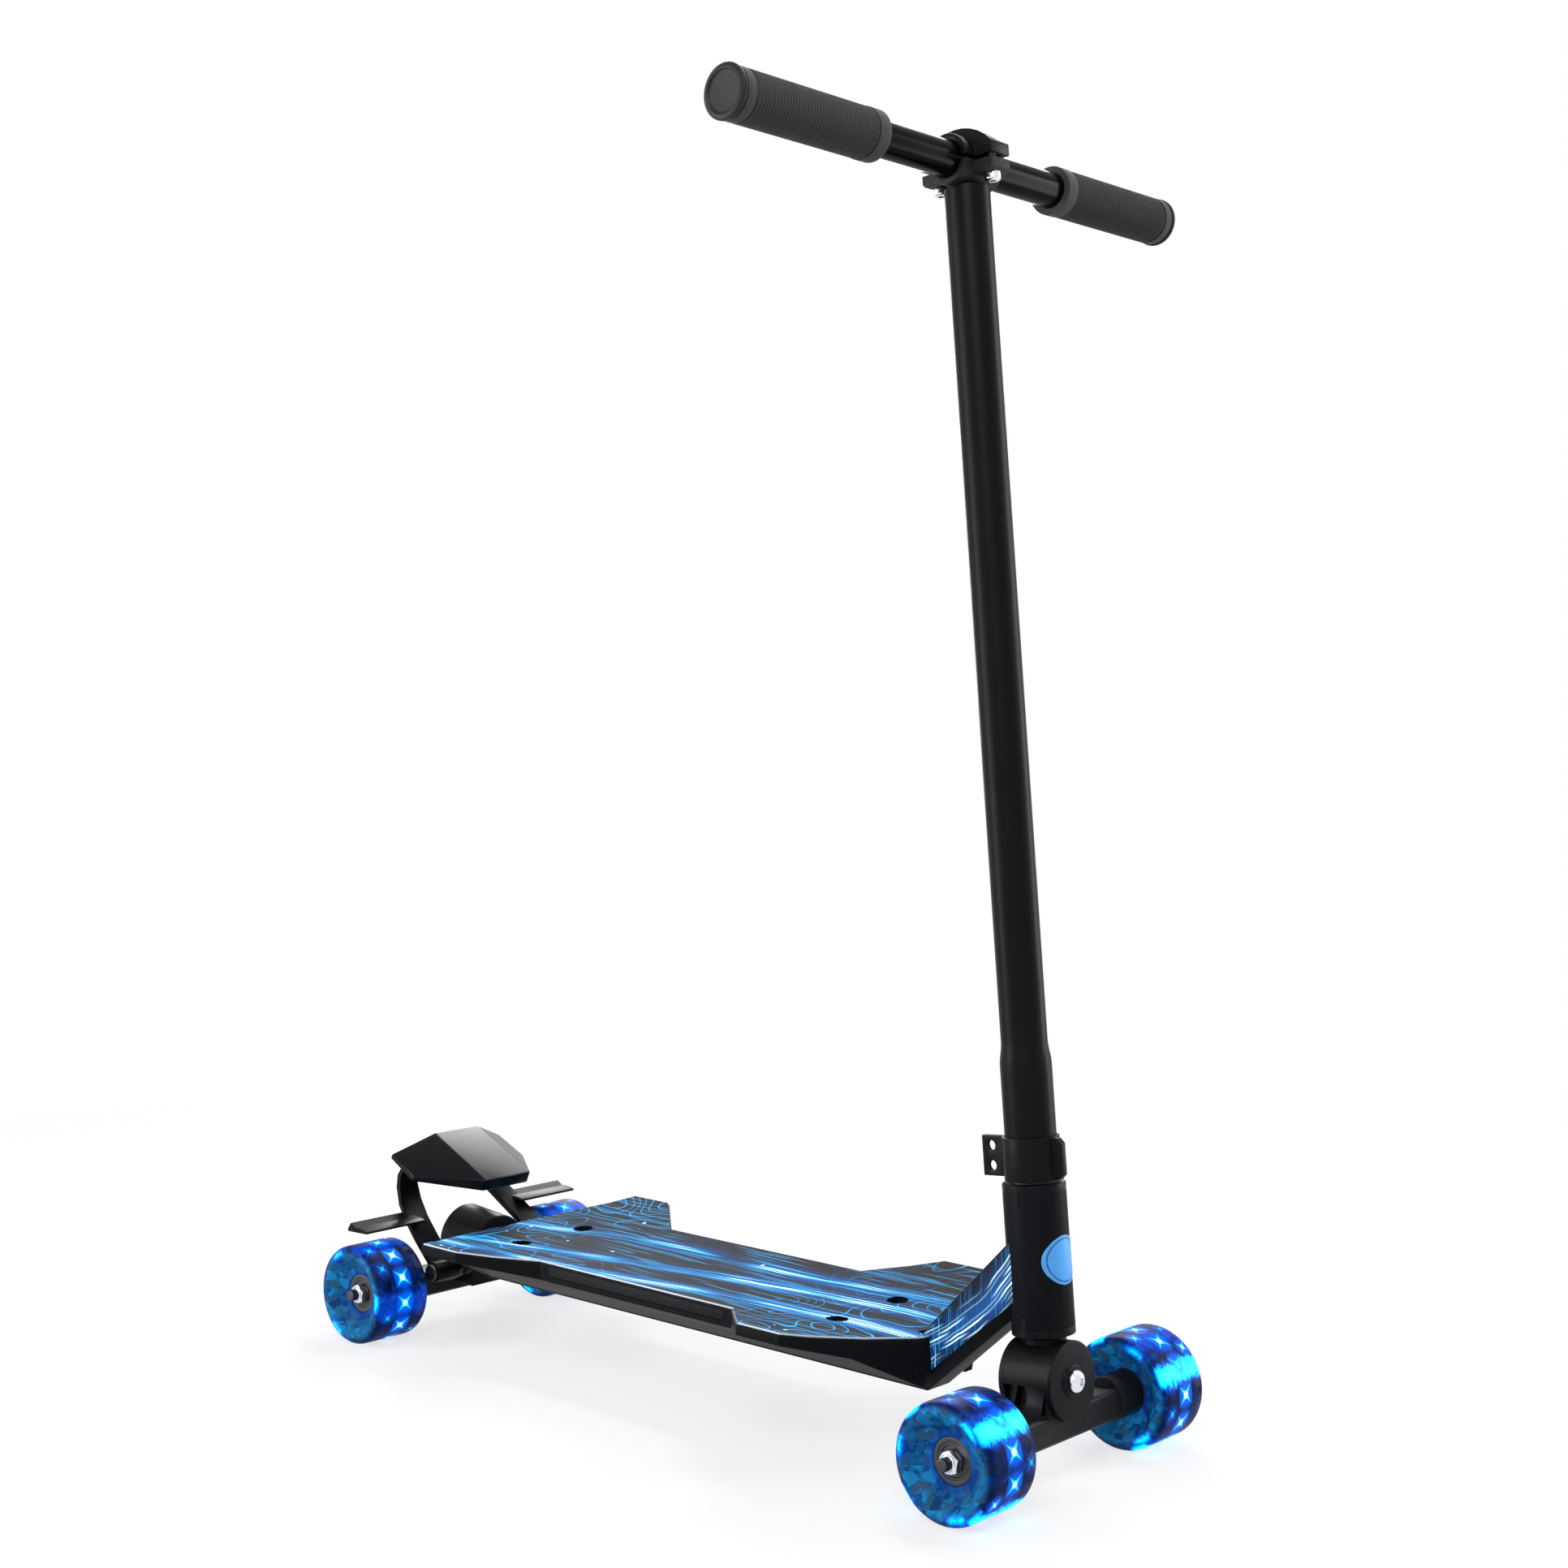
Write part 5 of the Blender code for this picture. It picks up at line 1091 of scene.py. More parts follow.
class Bench:
    """Shapes made with operators, on one piece at a time."""

    @staticmethod
    def rest() -> None:
        """Leaves edit mode and deselects everything."""
        if bpy.context.mode != "OBJECT":
            bpy.ops.object.mode_set(mode="OBJECT")
        bpy.ops.object.select_all(action="DESELECT")

    @staticmethod
    def take(*pieces: bpy.types.Object) -> None:
        """Selects pieces and nothing else.

        Args:
            *pieces: the pieces; the first becomes the active one.
        """
        Bench.rest()
        for piece in pieces:
            piece.select_set(True)
        bpy.context.view_layer.objects.active = pieces[0]

    @staticmethod
    def edit(piece: bpy.types.Object) -> None:
        """Opens a piece in edit mode with all of it selected.

        Args:
            piece: the piece.
        """
        Bench.take(piece)
        bpy.ops.object.mode_set(mode="EDIT")
        bpy.ops.mesh.select_mode(type="VERT")
        bpy.ops.mesh.select_all(action="SELECT")

    @staticmethod
    def pick_edges(piece: bpy.types.Object, test: Callable[[bpy.types.MeshEdge], bool]) -> None:
        """Opens a piece in edit mode with only some of its edges selected.

        Args:
            piece: the piece.
            test: says of an edge whether it is wanted.
        """
        Bench.edit(piece)
        bpy.ops.mesh.select_mode(type="EDGE")
        bpy.ops.mesh.select_all(action="DESELECT")
        bpy.ops.object.mode_set(mode="OBJECT")
        for edge in piece.data.edges:
            edge.select = test(edge)
        bpy.ops.object.mode_set(mode="EDIT")

    @staticmethod
    def settle(piece: bpy.types.Object, place: Matrix) -> bpy.types.Object:
        """Puts a piece at a place and writes that place into its mesh.

        Args:
            piece: the piece.
            place: where its own frame goes.

        Returns:
            The piece.
        """
        Bench.take(piece)
        piece.matrix_world = place @ piece.matrix_world
        bpy.ops.object.transform_apply(location=True, rotation=True, scale=True)
        return piece

    @staticmethod
    def smooth(piece: bpy.types.Object, angle: float = 30.0) -> bpy.types.Object:
        """Shades a piece smooth up to its sharper edges.

        Args:
            piece: the piece.
            angle: edges sharper than this, in degrees, stay hard.

        Returns:
            The piece.
        """
        Bench.take(piece)
        bpy.ops.object.shade_smooth_by_angle(angle=math.radians(angle))
        return piece

    @staticmethod
    def lathe(
        name: str,
        rings: Sequence[Ring],
        place: Matrix,
        segments: int = 64,
        loop: bool = False,
    ) -> bpy.types.Object:
        """Turns a profile about the place's Z, one extruded ring after another.

        Args:
            name: the new piece's name.
            rings: radius and height of each ring, no radius being zero.
            place: where the profile's own frame lies.
            segments: sides of each ring.
            loop: whether the profile closes on itself, as a hollow ring's does.

        Returns:
            The piece.
        """
        Bench.rest()
        radius, height = rings[0]
        bpy.ops.mesh.primitive_circle_add(vertices=segments, radius=radius, location=(0, 0, height))
        piece = bpy.context.object
        piece.name = name
        Bench.edit(piece)
        for next_radius, next_height in list(rings[1:]) + ([rings[0]] if loop else []):
            bpy.ops.mesh.extrude_edges_move(
                TRANSFORM_OT_translate={"value": (0, 0, next_height - height)}
            )
            if abs(next_radius - radius) > EQUAL:
                share = next_radius / radius
                bpy.ops.transform.resize(
                    value=(share, share, 1), center_override=(0, 0, next_height)
                )
            radius, height = next_radius, next_height
        bpy.ops.mesh.select_all(action="SELECT")
        if loop:
            bpy.ops.mesh.remove_doubles(threshold=SAME)
        else:
            bpy.ops.mesh.fill_holes(sides=0)
        bpy.ops.mesh.select_all(action="SELECT")
        bpy.ops.mesh.normals_make_consistent(inside=False)
        Bench.settle(piece, place)
        return Bench.smooth(piece)

    @staticmethod
    def block(name: str, low: Point, high: Point) -> bpy.types.Object:
        """A box, to be trimmed or bevelled.

        Args:
            name: the new piece's name.
            low: its lowest corner.
            high: its highest corner.

        Returns:
            The box.
        """
        Bench.rest()
        middle = [(a + b) / 2 for a, b in zip(low, high)]
        size = [b - a for a, b in zip(low, high)]
        bpy.ops.mesh.primitive_cube_add(size=1, location=middle, scale=size)
        piece = bpy.context.object
        piece.name = name
        return Bench.settle(piece, UPRIGHT)

    @staticmethod
    def trim(piece: bpy.types.Object, spot: Point, outward: Point) -> None:
        """Cuts off what lies beyond a plane, and closes the cut.

        Args:
            piece: the piece.
            spot: a point of the plane.
            outward: points to the side that goes.
        """
        Bench.edit(piece)
        bpy.ops.mesh.bisect(plane_co=spot, plane_no=outward, use_fill=True, clear_outer=True)
        Bench.rest()

    @staticmethod
    def combine(piece: bpy.types.Object, others: Iterable[bpy.types.Object], mode: str) -> None:
        """Joins, cuts or intersects a piece with others, which are used up.

        Args:
            piece: what stays.
            others: the tools.
            mode: UNION, DIFFERENCE or INTERSECT.
        """
        for other in others:
            Bench.take(piece)
            step = piece.modifiers.new("combine", "BOOLEAN")
            step.operation = mode
            step.object = other
            step.solver = "EXACT"
            bpy.ops.object.modifier_apply(modifier=step.name)
            bpy.data.objects.remove(other, do_unlink=True)

    @staticmethod
    def bevel(piece: bpy.types.Object, width: float, segments: int = 2, angle: float = 30.0) -> None:
        """Bevels the sharp edges.

        Args:
            piece: the piece.
            width: bevel width.
            segments: bevel pieces.
            angle: edges sharper than this, in degrees, are bevelled.
        """
        Bench.take(piece)
        step = piece.modifiers.new("edges", "BEVEL")
        step.width = width
        step.segments = segments
        step.limit_method = "ANGLE"
        step.angle_limit = math.radians(angle)
        step.use_clamp_overlap = False
        step.harden_normals = False
        bpy.ops.object.modifier_apply(modifier=step.name)

    @staticmethod
    def bevel_by(
        piece: bpy.types.Object,
        width: float,
        segments: int,
        angle: float,
        share: Callable[[Vector], float],
    ) -> None:
        """Bevels each sharp edge by its own share of a width.

        Args:
            piece: the piece.
            width: width of a full bevel.
            segments: bevel pieces.
            angle: edges sharper than this, in degrees, are bevelled.
            share: gives an edge's share of the width from its middle.
        """
        normals: dict[tuple[int, int], list[Vector]] = {}
        for face in piece.data.polygons:
            for key in face.edge_keys:
                normals.setdefault(key, []).append(face.normal.copy())
        weights = []
        for edge in piece.data.edges:
            sides = normals.get(edge.key, [])
            bent = len(sides) == 2 and sides[0].angle(sides[1], 0.0) > math.radians(angle)
            first, second = (piece.data.vertices[i].co for i in edge.vertices)
            weights.append(share((first + second) / 2) if bent else 0.0)
        marks = piece.data.attributes.new("bevel_weight_edge", "FLOAT", "EDGE")
        marks.data.foreach_set("value", weights)
        Bench.take(piece)
        step = piece.modifiers.new("edges", "BEVEL")
        step.width = width
        step.segments = segments
        step.limit_method = "WEIGHT"
        step.use_clamp_overlap = False
        bpy.ops.object.modifier_apply(modifier=step.name)

    @staticmethod
    def weld(piece: bpy.types.Object, flat: float = 0.5) -> None:
        """Merges a mesh's doubles and melts the edges inside its flat faces.

        Args:
            piece: the piece.
            flat: faces that bend less than this, in degrees, become one.
        """
        Bench.edit(piece)
        bpy.ops.mesh.remove_doubles(threshold=DOUBLES)
        bpy.ops.mesh.dissolve_limited(angle_limit=math.radians(flat))
        Bench.rest()

    @staticmethod
    def copy(piece: bpy.types.Object, name: str, move: Matrix) -> bpy.types.Object:
        """Copies a piece with a mesh of its own.

        Args:
            piece: the piece.
            name: the copy's name.
            move: where the copy goes.

        Returns:
            The copy.
        """
        Bench.take(piece)
        bpy.ops.object.duplicate()
        other = bpy.context.object
        other.name = name
        return Bench.settle(other, move)


class Workshop:
    """Keeps the frame, dresses pieces and says what each one stands for."""

    def __init__(self, frame: dict) -> None:
        """Notes each node's object, body and material slot.
        """
        self.nodes: dict[str, bpy.types.Object] = frame["nodes"]
        self.body: dict[str, str] = {
            node: body
            for body, members in frame["record"]["behaviour"]["bodies"].items()
            for node in members
        }
        self.slots: dict[str, str] = {
            part["node"]: part["material_slot"] for part in frame["record"]["subparts"]
        }

    def dress(self, piece: bpy.types.Object, finish: Finish, *nodes: str) -> bpy.types.Object:
        """Gives a piece its finish and lets it stand for CAD nodes.

        Args:
            piece: the finished mesh.
            finish: its finish.
            *nodes: the nodes that it replaces; the first gives its body.

        Returns:
            The piece.
        """
        piece.data.materials.clear()
        piece.data.materials.append(finish.material)
        return self.stand_in(piece, *nodes)

    def stand_in(self, piece: bpy.types.Object, *nodes: str) -> bpy.types.Object:
        """Lets a piece ride and stand for its nodes.

        Args:
            piece: the piece.
            *nodes: the nodes that it replaces; the first gives its body.

        Returns:
            The piece.
        """
        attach(piece, self.body[nodes[0]])
        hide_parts(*nodes)
        LOG.info("%s stands for %s, %d faces", piece.name, ", ".join(nodes), len(piece.data.polygons))
        return piece

    def add(self, piece: bpy.types.Object, finish: Finish, beside: str) -> bpy.types.Object:
        """Dresses a piece that has no node of its own.

        Args:
            piece: the piece.
            finish: its finish.
            beside: the node whose body it shares.

        Returns:
            The piece.
        """
        piece.data.materials.clear()
        piece.data.materials.append(finish.material)
        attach(piece, self.body[beside])
        LOG.info("%s rides beside %s", piece.name, beside)
        return piece

    def paint(self, node: str, finish: Finish) -> None:
        """Gives a CAD node that stays in sight its finish.

        Args:
            node: the node.
            finish: its finish.
        """
        for slot in self.nodes[node].material_slots:
            slot.material = finish.material
        LOG.info("%s keeps its solid", node)

    def trace(self, node: str, name: str, flat: float = 0.5) -> bpy.types.Object:
        """A merged copy of a CAD node's mesh, free of the frame.

        Args:
            node: the node.
            name: the copy's name.
            flat: faces that bend less than this, in degrees, become one.

        Returns:
            The copy.
        """
        Bench.take(self.nodes[node])
        bpy.ops.object.duplicate()
        piece = bpy.context.object
        bpy.ops.object.parent_clear(type="CLEAR")
        piece.name = name
        for key in [k for k in piece.keys() if k.startswith("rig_")]:
            del piece[key]
        piece.data.materials.clear()
        if "custom_normal" in piece.data.attributes:
            piece.data.attributes.remove(piece.data.attributes["custom_normal"])
        Bench.weld(piece, flat=flat)
        return piece

    def refine(
        self,
        node: str,
        finish: Finish,
        width: float = 0.0005,
        segments: int = 2,
        angle: float = 40.0,
        soft: float = 35.0,
    ) -> bpy.types.Object:
        """Replaces a node by its own shape with broken edges and smooth curves.

        Args:
            node: the CAD node.
            finish: its finish.
            width: bevel width.
            segments: bevel pieces.
            angle: edges sharper than this, in degrees, are bevelled.
            soft: edges flatter than this, in degrees, are shaded smooth.

        Returns:
            The new piece.
        """
        piece = self.trace(node, node + "_look")
        Bench.bevel(piece, width, segments, angle)
        Bench.smooth(piece, soft)
        return self.dress(piece, finish, node)


@dataclass
class Assembly:
    """A sub-assembly: its sizes are fields, and its methods build and dress its pieces."""

    shop: Workshop


# Wheels and trucks


@dataclass
class Wheel(Assembly):
    """Tyre, hub and bearings of one wheel, modelled about the axle and copied to four places.

    Each of the ends has its name, its X, its wheels' turn and how brightly their windows glow.
    """

    width: float = 0.046
    tread_round: float = 0.0065
    face_radius: float = 0.0285
    recess_radius: float = 0.0190
    recess_half: float = 0.0128
    hub_radius: float = 0.01405
    hub_half: float = 0.0122
    hub_step: float = 0.008
    bearing_radius: float = 0.0110
    bearing_sunk: float = 0.0004
    shield_dip: float = 0.0007
    outer_race: tuple[float, float] = (0.0014, 0.0018)
    inner_race: tuple[float, float] = (0.0068, 0.0064)
    bore: float = 0.0043
    recess_round: float = 0.0008
    face_round: float = 0.0014
    hub_bore_round: float = 0.0004
    hub_round: float = 0.0007
    ends: tuple[tuple[str, float, float, float], ...] = (
        ("front", WHEELBASE / 2, 0.35, 1.0),
        ("rear", -WHEELBASE / 2, 1.25, 0.35),
    )
    side_turn: float = 0.9

    def model(self) -> list[bpy.types.Object]:
        """Models the three pieces about the origin, with the axle along Y.

        Returns:
            Tyre, hub and bearings.
        """
        half = self.width / 2
        tyre = Bench.lathe("tyre", soften(mirrored([
            (self.hub_radius + SEAT_GAP, self.recess_half, 0),
            (self.recess_radius, self.recess_half, self.recess_round),
            (self.face_radius, half, self.face_round),
            (WHEEL_RADIUS, half, self.tread_round),
        ]), 6), ALONG_Y, 96, loop=True)
        self._mark_places(tyre)
        seat = self.bearing_radius + BORE_GAP
        hub = Bench.lathe("hub", soften(mirrored([
            (seat, self.hub_step, 0),
            (seat, self.hub_half, self.hub_bore_round),
            (self.hub_radius, self.hub_half, self.hub_round),
        ]), 3), ALONG_Y, 64, loop=True)
        return [tyre, hub, self._bearings()]

    def _bearings(self) -> bpy.types.Object:
        """Two shielded ball bearings on one sleeve.

        Returns:
            The piece.
        """
        out = self.bearing_radius
        face = self.hub_half - self.bearing_sunk
        dip = face - self.shield_dip
        half = [
            (out, face), (out - self.outer_race[0], face), (out - self.outer_race[1], dip),
            (self.inner_race[0], dip), (self.inner_race[1], face), (self.bore, face),
        ]
        rings = [(radius, -height) for radius, height in half[::-1]] + half
        return Bench.lathe("bearings", rings, ALONG_Y, 48, loop=True)

    @staticmethod
    def _mark_places(tyre: bpy.types.Object) -> None:
        """Stores each point's place from the wheel's centre for the finish.

        Args:
            tyre: the tyre, still about the origin.
        """
        marks = tyre.data.attributes.new("wheel_place", "FLOAT_VECTOR", "POINT")
        flat = [part for vertex in tyre.data.vertices for part in vertex.co]
        marks.data.foreach_set("vector", flat)

    @staticmethod
    def _mark_windows(tyre: bpy.types.Object, share: float) -> None:
        """Stores how brightly a tyre's windows glow."""
        marks = tyre.data.attributes.new("window_share", "FLOAT", "POINT")
        marks.data.foreach_set("value", [share] * len(tyre.data.vertices))

    def build(self) -> None:
        """Copies the wheel to its four places, each turned on its axle."""
        masters = self.model()
        finishes = (Finish.WHEEL, Finish.HUB, Finish.STEEL)
        names = ("tyre", "hub_core", "bearings")
        for end, x, turn, light in self.ends:
            for side in Side:
                spin = Matrix.Rotation(turn + self.side_turn * side.value, 4, "Y")
                move = Matrix.Translation((x, side.value * TRACK_HALF, WHEEL_RADIUS)) @ spin
                for master, finish, name in zip(masters, finishes, names):
                    node = f"{name}_{end}_{side.word}"
                    piece = self.shop.dress(Bench.copy(master, node + "_look", move), finish, node)
                    if finish is Finish.WHEEL:
                        self._mark_windows(piece, light)
        for master in masters:
            bpy.data.objects.remove(master, do_unlink=True)


@dataclass
class Truck(Assembly):
    """Crown, pivot bolt, axle beam, axle and nuts of one end."""

    end: str
    pivot: Matrix
    crown_node: str
    crown_length: float
    axle_x: float
    bolt_side: int
    bolt_seat: float
    bolt_tail: float
    rear_drop: float = 0.024
    crown_radius: float = 0.024
    crown_wall: float = 0.0032
    cover_short: float = 0.001
    cover_low: float = 0.00005
    plate: float = 0.004
    plate_rounds: tuple[float, float] = (0.0002, 0.0009)
    root_radius: float = 0.0135
    root_top: float = 0.0255
    steerer_radius: float = 0.0092
    steerer_start: float = 0.0262
    steerer_top: float = 0.166
    boss_radii: tuple[float, float] = (0.0112, 0.0095)
    boss_height: float = 0.0014
    nut_flats: float = 0.013
    nut_start: float = 0.1017
    nut_height: float = 0.0058
    collar_height: float = 0.0006
    axle_radius: float = 0.004
    axle_tip: float = 0.1127
    tip_round: float = 0.0010
    bolt_radius: float = 0.004
    bolt_head: float = 0.007
    bolt_head_height: float = 0.0048
    socket_radius: float = 0.0026
    socket_depth: float = 0.0028

    def build(self) -> None:
        """Builds and dresses every piece of this end."""
        self._crown()
        self.shop.refine(f"{self.end}_beam", Finish.BEAM, 0.0007, 3, 38, 32)
        self._axle()
        self._pivot_bolt()
        self.shop.paint(f"pivot_bushing_{self.end}", Finish.CUSHION)

    def _crown(self) -> None:
        """Half-round cover with an end plate at each end."""
        half = self.crown_length / 2
        radius, inner = self.crown_radius, self.crown_radius - self.crown_wall
        place = self.pivot @ ALONG_X
        axis_up = self.pivot.to_3x3() @ Vector((0, 0, 1))
        spot = self.pivot.to_translation()
        end, out = half - self.cover_short, radius - self.cover_low
        rings = [(inner, -end), (out, -end), (out, end), (inner, end)]
        cover = Bench.lathe("cover", rings, place, 96, loop=True)
        Bench.trim(cover, spot, -axis_up)
        plates = []
        for side in (-1, 1):
            far, near = side * half, side * (half - self.plate)
            inside, outside = self.plate_rounds
            plate = Bench.lathe("plate", soften([
                (POLE, near, 0), (radius, near, inside), (radius, far, outside), (POLE, far, 0),
            ], 4), place, 96)
            if side < 0 and self.rear_drop < radius:
                Bench.trim(plate, spot - axis_up * self.rear_drop, -axis_up)
            plates.append(plate)
        Bench.combine(cover, plates, "UNION")
        if self.end == "front":
            Bench.combine(cover, self._steerer(), "UNION")
        Bench.weld(cover)
        Bench.smooth(cover, 28)
        cover.name = self.crown_node + "_look"
        self.shop.dress(cover, Finish.TRUCK, self.crown_node)

    def _steerer(self) -> list[bpy.types.Object]:
        """Steering tube over the front crown, and the boss under the bolt's head.

        Returns:
            Tube and boss.
        """
        half = self.crown_length / 2
        low = self.crown_radius - self.crown_wall + 0.001
        tube = Bench.lathe("steerer", soften([
            (POLE, low, 0), (self.root_radius, low, 0), (self.root_radius, self.root_top, 0.0006),
            (self.steerer_radius, self.steerer_start, 0.0003),
            (self.steerer_radius, self.steerer_top, 0.0005), (POLE, self.steerer_top, 0),
        ]), self.pivot, 48)
        wide, narrow = self.boss_radii
        boss = Bench.lathe("boss", soften([
            (POLE, half - 0.001, 0), (wide, half - 0.001, 0),
            (narrow, half + self.boss_height, 0.0006), (POLE, half + self.boss_height, 0),
        ]), self.pivot @ ALONG_X, 64)
        return [tube, boss]

    def _axle(self) -> None:
        """Through axle with rounded tips, and a lock nut on each end."""
        place = Matrix.Translation((self.axle_x, 0, WHEEL_RADIUS)) @ ALONG_Y
        rod = Bench.lathe(f"axle_rod_{self.end}_look", soften(mirrored([
            (WIDE_POLE, self.axle_tip, 0), (self.axle_radius, self.axle_tip, self.tip_round),
        ])), place, 40)
        self.shop.dress(rod, Finish.STEEL, f"axle_rod_{self.end}")
        for side in Side:
            node = f"axle_nut_{self.end}_{side.word}"
            flip = place if side is Side.LEFT else place @ TURNED_ROUND
            nut = self._nut(node + "_look", flip, 0.25 + 0.4 * side.value)
            self.shop.dress(nut, Finish.CHROME, node)

    def _nut(self, name: str, place: Matrix, turn: float) -> bpy.types.Object:
        """Hexagon nut: six flats, chamfered corners and a raised collar round the thread.

        Args:
            name: its name.
            place: the axle's frame, with Z outward.
            turn: how far it is turned on the thread.

        Returns:
            The nut.
        """
        corner = self.nut_flats / math.sqrt(3)
        near, far = self.nut_start, self.nut_start + self.nut_height
        turned = Matrix.Rotation(turn, 4, "Z")
        nut = Bench.lathe("hexagon", [(corner, near), (corner, far)], turned, 6)
        flat, clear = self.nut_flats / 2, corner + 0.0004
        shoulder = far - self.collar_height
        cone = Bench.lathe("cone", soften([
            (POLE, near - 0.001, 0), (flat, near, 0), (clear, near + 0.0009, 0),
            (clear, far - 0.0019, 0), (flat - 0.0006, shoulder, 0.0002),
            (flat - 0.0014, shoulder, 0.0003), (flat - 0.0018, far, 0.0003), (POLE, far, 0),
        ]), UPRIGHT, 48)
        bore = self.axle_radius + BORE_GAP
        hole = Bench.lathe("hole", [(bore, near - 0.01), (bore, far + 0.01)], UPRIGHT, 40)
        Bench.combine(nut, [cone], "INTERSECT")
        Bench.combine(nut, [hole], "DIFFERENCE")
        Bench.weld(nut)
        Bench.settle(nut, place)
        nut.name = name
        return Bench.smooth(nut, 25)

    def _pivot_bolt(self) -> None:
        """Button-headed pivot bolt with a hexagon socket, and its nut at the front truck."""
        seat = self.crown_length / 2 + self.bolt_seat
        tail = self.crown_length / 2 + self.bolt_tail
        high = self.bolt_head_height
        place = self.pivot @ ALONG_X
        if self.bolt_side < 0:
            place = place @ TURNED_ROUND
        bolt = Bench.lathe(f"pivot_bolt_{self.end}_look", soften([
            (WIDE_POLE, -tail, 0), (self.bolt_radius, -tail, 0.0006), (self.bolt_radius, seat, 0),
            (self.bolt_head, seat, 0.0004), (self.bolt_head, seat + 0.3 * high, 0.0008),
            (0.80 * self.bolt_head, seat + 0.82 * high, 0.0014),
            (0.45 * self.bolt_head, seat + high, 0.0004), (WIDE_POLE, seat + high, 0),
        ], 5), place, 64)
        key = Bench.lathe("key", [
            (self.socket_radius, seat + high - self.socket_depth),
            (self.socket_radius, seat + high + 0.002),
        ], place @ Matrix.Rotation(0.3, 4, "Z"), 6)
        Bench.combine(bolt, [key], "DIFFERENCE")
        Bench.weld(bolt)
        Bench.smooth(bolt, 30)
        self.shop.dress(bolt, Finish.CHROME, f"pivot_bolt_{self.end}")
        if self.end == "front":
            self.shop.refine("pivot_nut_front", Finish.STEEL, 0.0003, 2)


# Frame, headset and deck


@dataclass
class Frame(Assembly):
    """Backbone, neck and head tube, with the headset's cups and the neck's print with its painted glow.
    """

    tube_radius: float = 0.0195
    tube_bottom: float = 0.0926
    tube_top: float = 0.1744
    lip: float = 0.0049
    cup_sunk: float = 0.006
    cup_radii: tuple[float, float, float] = (0.0164, 0.0140, 0.0125)
    tab_width: float = 0.0042
    tab_height: float = 0.0083
    tab_lap: float = 0.0006
    tab_proud: float = 0.00025
    rim: float = 0.0009
    badge_height: float = 0.1335
    badge_radius: float = 0.0148
    badge_proud: float = 0.0003
    print_out: float = 0.01702
    print_thick: float = 0.00012
    print_margin: float = 0.0016
    neck_corners: tuple[Ring, ...] = (
        (0.1748, 0.0655), (0.2595, 0.1516), (0.2655, 0.1132), (0.1855, 0.0450),
    )

    def build(self) -> None:
        """Builds the weldment and what is fixed to its head tube."""
        weldment = self.shop.trace("main_frame", "main_frame_look")
        Bench.bevel_by(weldment, self.rim, 3, 35, self._softness)
        Bench.smooth(weldment, 30)
        self.shop.dress(weldment, Finish.FRAME, "main_frame")
        self._cups()
        for word in ("lower", "upper"):
            self.shop.paint(f"headset_bearing_{word}", Finish.STEEL)
        self._badge()
        self._prints()

    def _softness(self, middle: Vector) -> float:
        """Share of the bevel at an edge: none where the neck meets the head tube, little at its ends.

        Args:
            middle: the edge's middle.

        Returns:
            The share, from 0 to 1.
        """
        spot = STEERING.inverted() @ middle
        if Vector((spot.x, spot.y)).length > self.tube_radius + 0.002:
            return 1.0
        ends = min(abs(spot.z - self.tube_bottom), abs(spot.z - self.tube_top))
        return 0.3 if ends < 0.001 else 0.0

    def _cups(self) -> None:
        """Headset cups with a rounded lip, and two tongues each."""
        for word, seat, up in (("lower", self.tube_bottom, -1), ("upper", self.tube_top, 1)):
            rim = seat + up * self.lip
            sunk = seat - up * self.cup_sunk
            skirt, throat, mouth = self.cup_radii
            cup = Bench.lathe(f"headset_cup_{word}_look", soften([
                (skirt, sunk, 0), (skirt, seat - up * 0.0002, 0),
                (self.tube_radius, seat, 0.0003), (self.tube_radius, rim, 0.0008),
                (mouth, rim, 0.0003), (mouth, seat - up * 0.001, 0), (throat, sunk, 0),
            ], 4), STEERING, 96, loop=True)
            self.shop.dress(cup, Finish.TRUCK, f"headset_cup_{word}")
            for side in Side:
                tongue = self._tongue(seat, up, side)
                tongue.name = f"cup_tongue_{word}_{side.word}"
                self.shop.add(tongue, Finish.TRUCK, f"headset_cup_{word}")

    def _tongue(self, seat: float, up: int, side: Side) -> bpy.types.Object:
        """A tongue that lies on the head tube and ends round.

        Args:
            seat: height at which the cup meets the tube.
            up: 1 at the upper cup, -1 at the lower.
            side: the tongue's side.

        Returns:
            The tongue.
        """
        inner, out = self.tube_radius - self.tab_lap, self.tube_radius + self.tab_proud
        start, tip = seat + up * self.tab_lap, seat - up * self.tab_height
        rings = [(inner, start), (out, start), (out, tip), (inner, tip)]
        ring = Bench.lathe("tongue", rings, UPRIGHT, 256, loop=True)
        half = self.tab_width / 2
        Bench.trim(ring, (0, 0, 0), (0, -side.value, 0))
        keeper = Bench.block("keeper", (-half, -0.03, 0.0), (half, 0.03, 0.3))
        Bench.trim(keeper, (0, 0, tip), (0, 0, -up))
        Bench.trim(keeper, (0, 0, start), (0, 0, up))

        def at_tip(edge: bpy.types.MeshEdge) -> bool:
            """Whether an edge of the keeper runs along Y at the tongue's tip."""
            a, b = (keeper.data.vertices[i].co for i in edge.vertices)
            return abs(a.z - tip) + abs(b.z - tip) + abs(a.x - b.x) < SAME

        Bench.pick_edges(keeper, at_tip)
        bpy.ops.mesh.bevel(offset=half * 0.98, segments=8, affect="EDGES")
        Bench.rest()
        Bench.combine(ring, [keeper], "INTERSECT")
        Bench.weld(ring)
        Bench.bevel(ring, 0.00012, 1, 40)
        Bench.settle(ring, STEERING)
        return Bench.smooth(ring, 40)

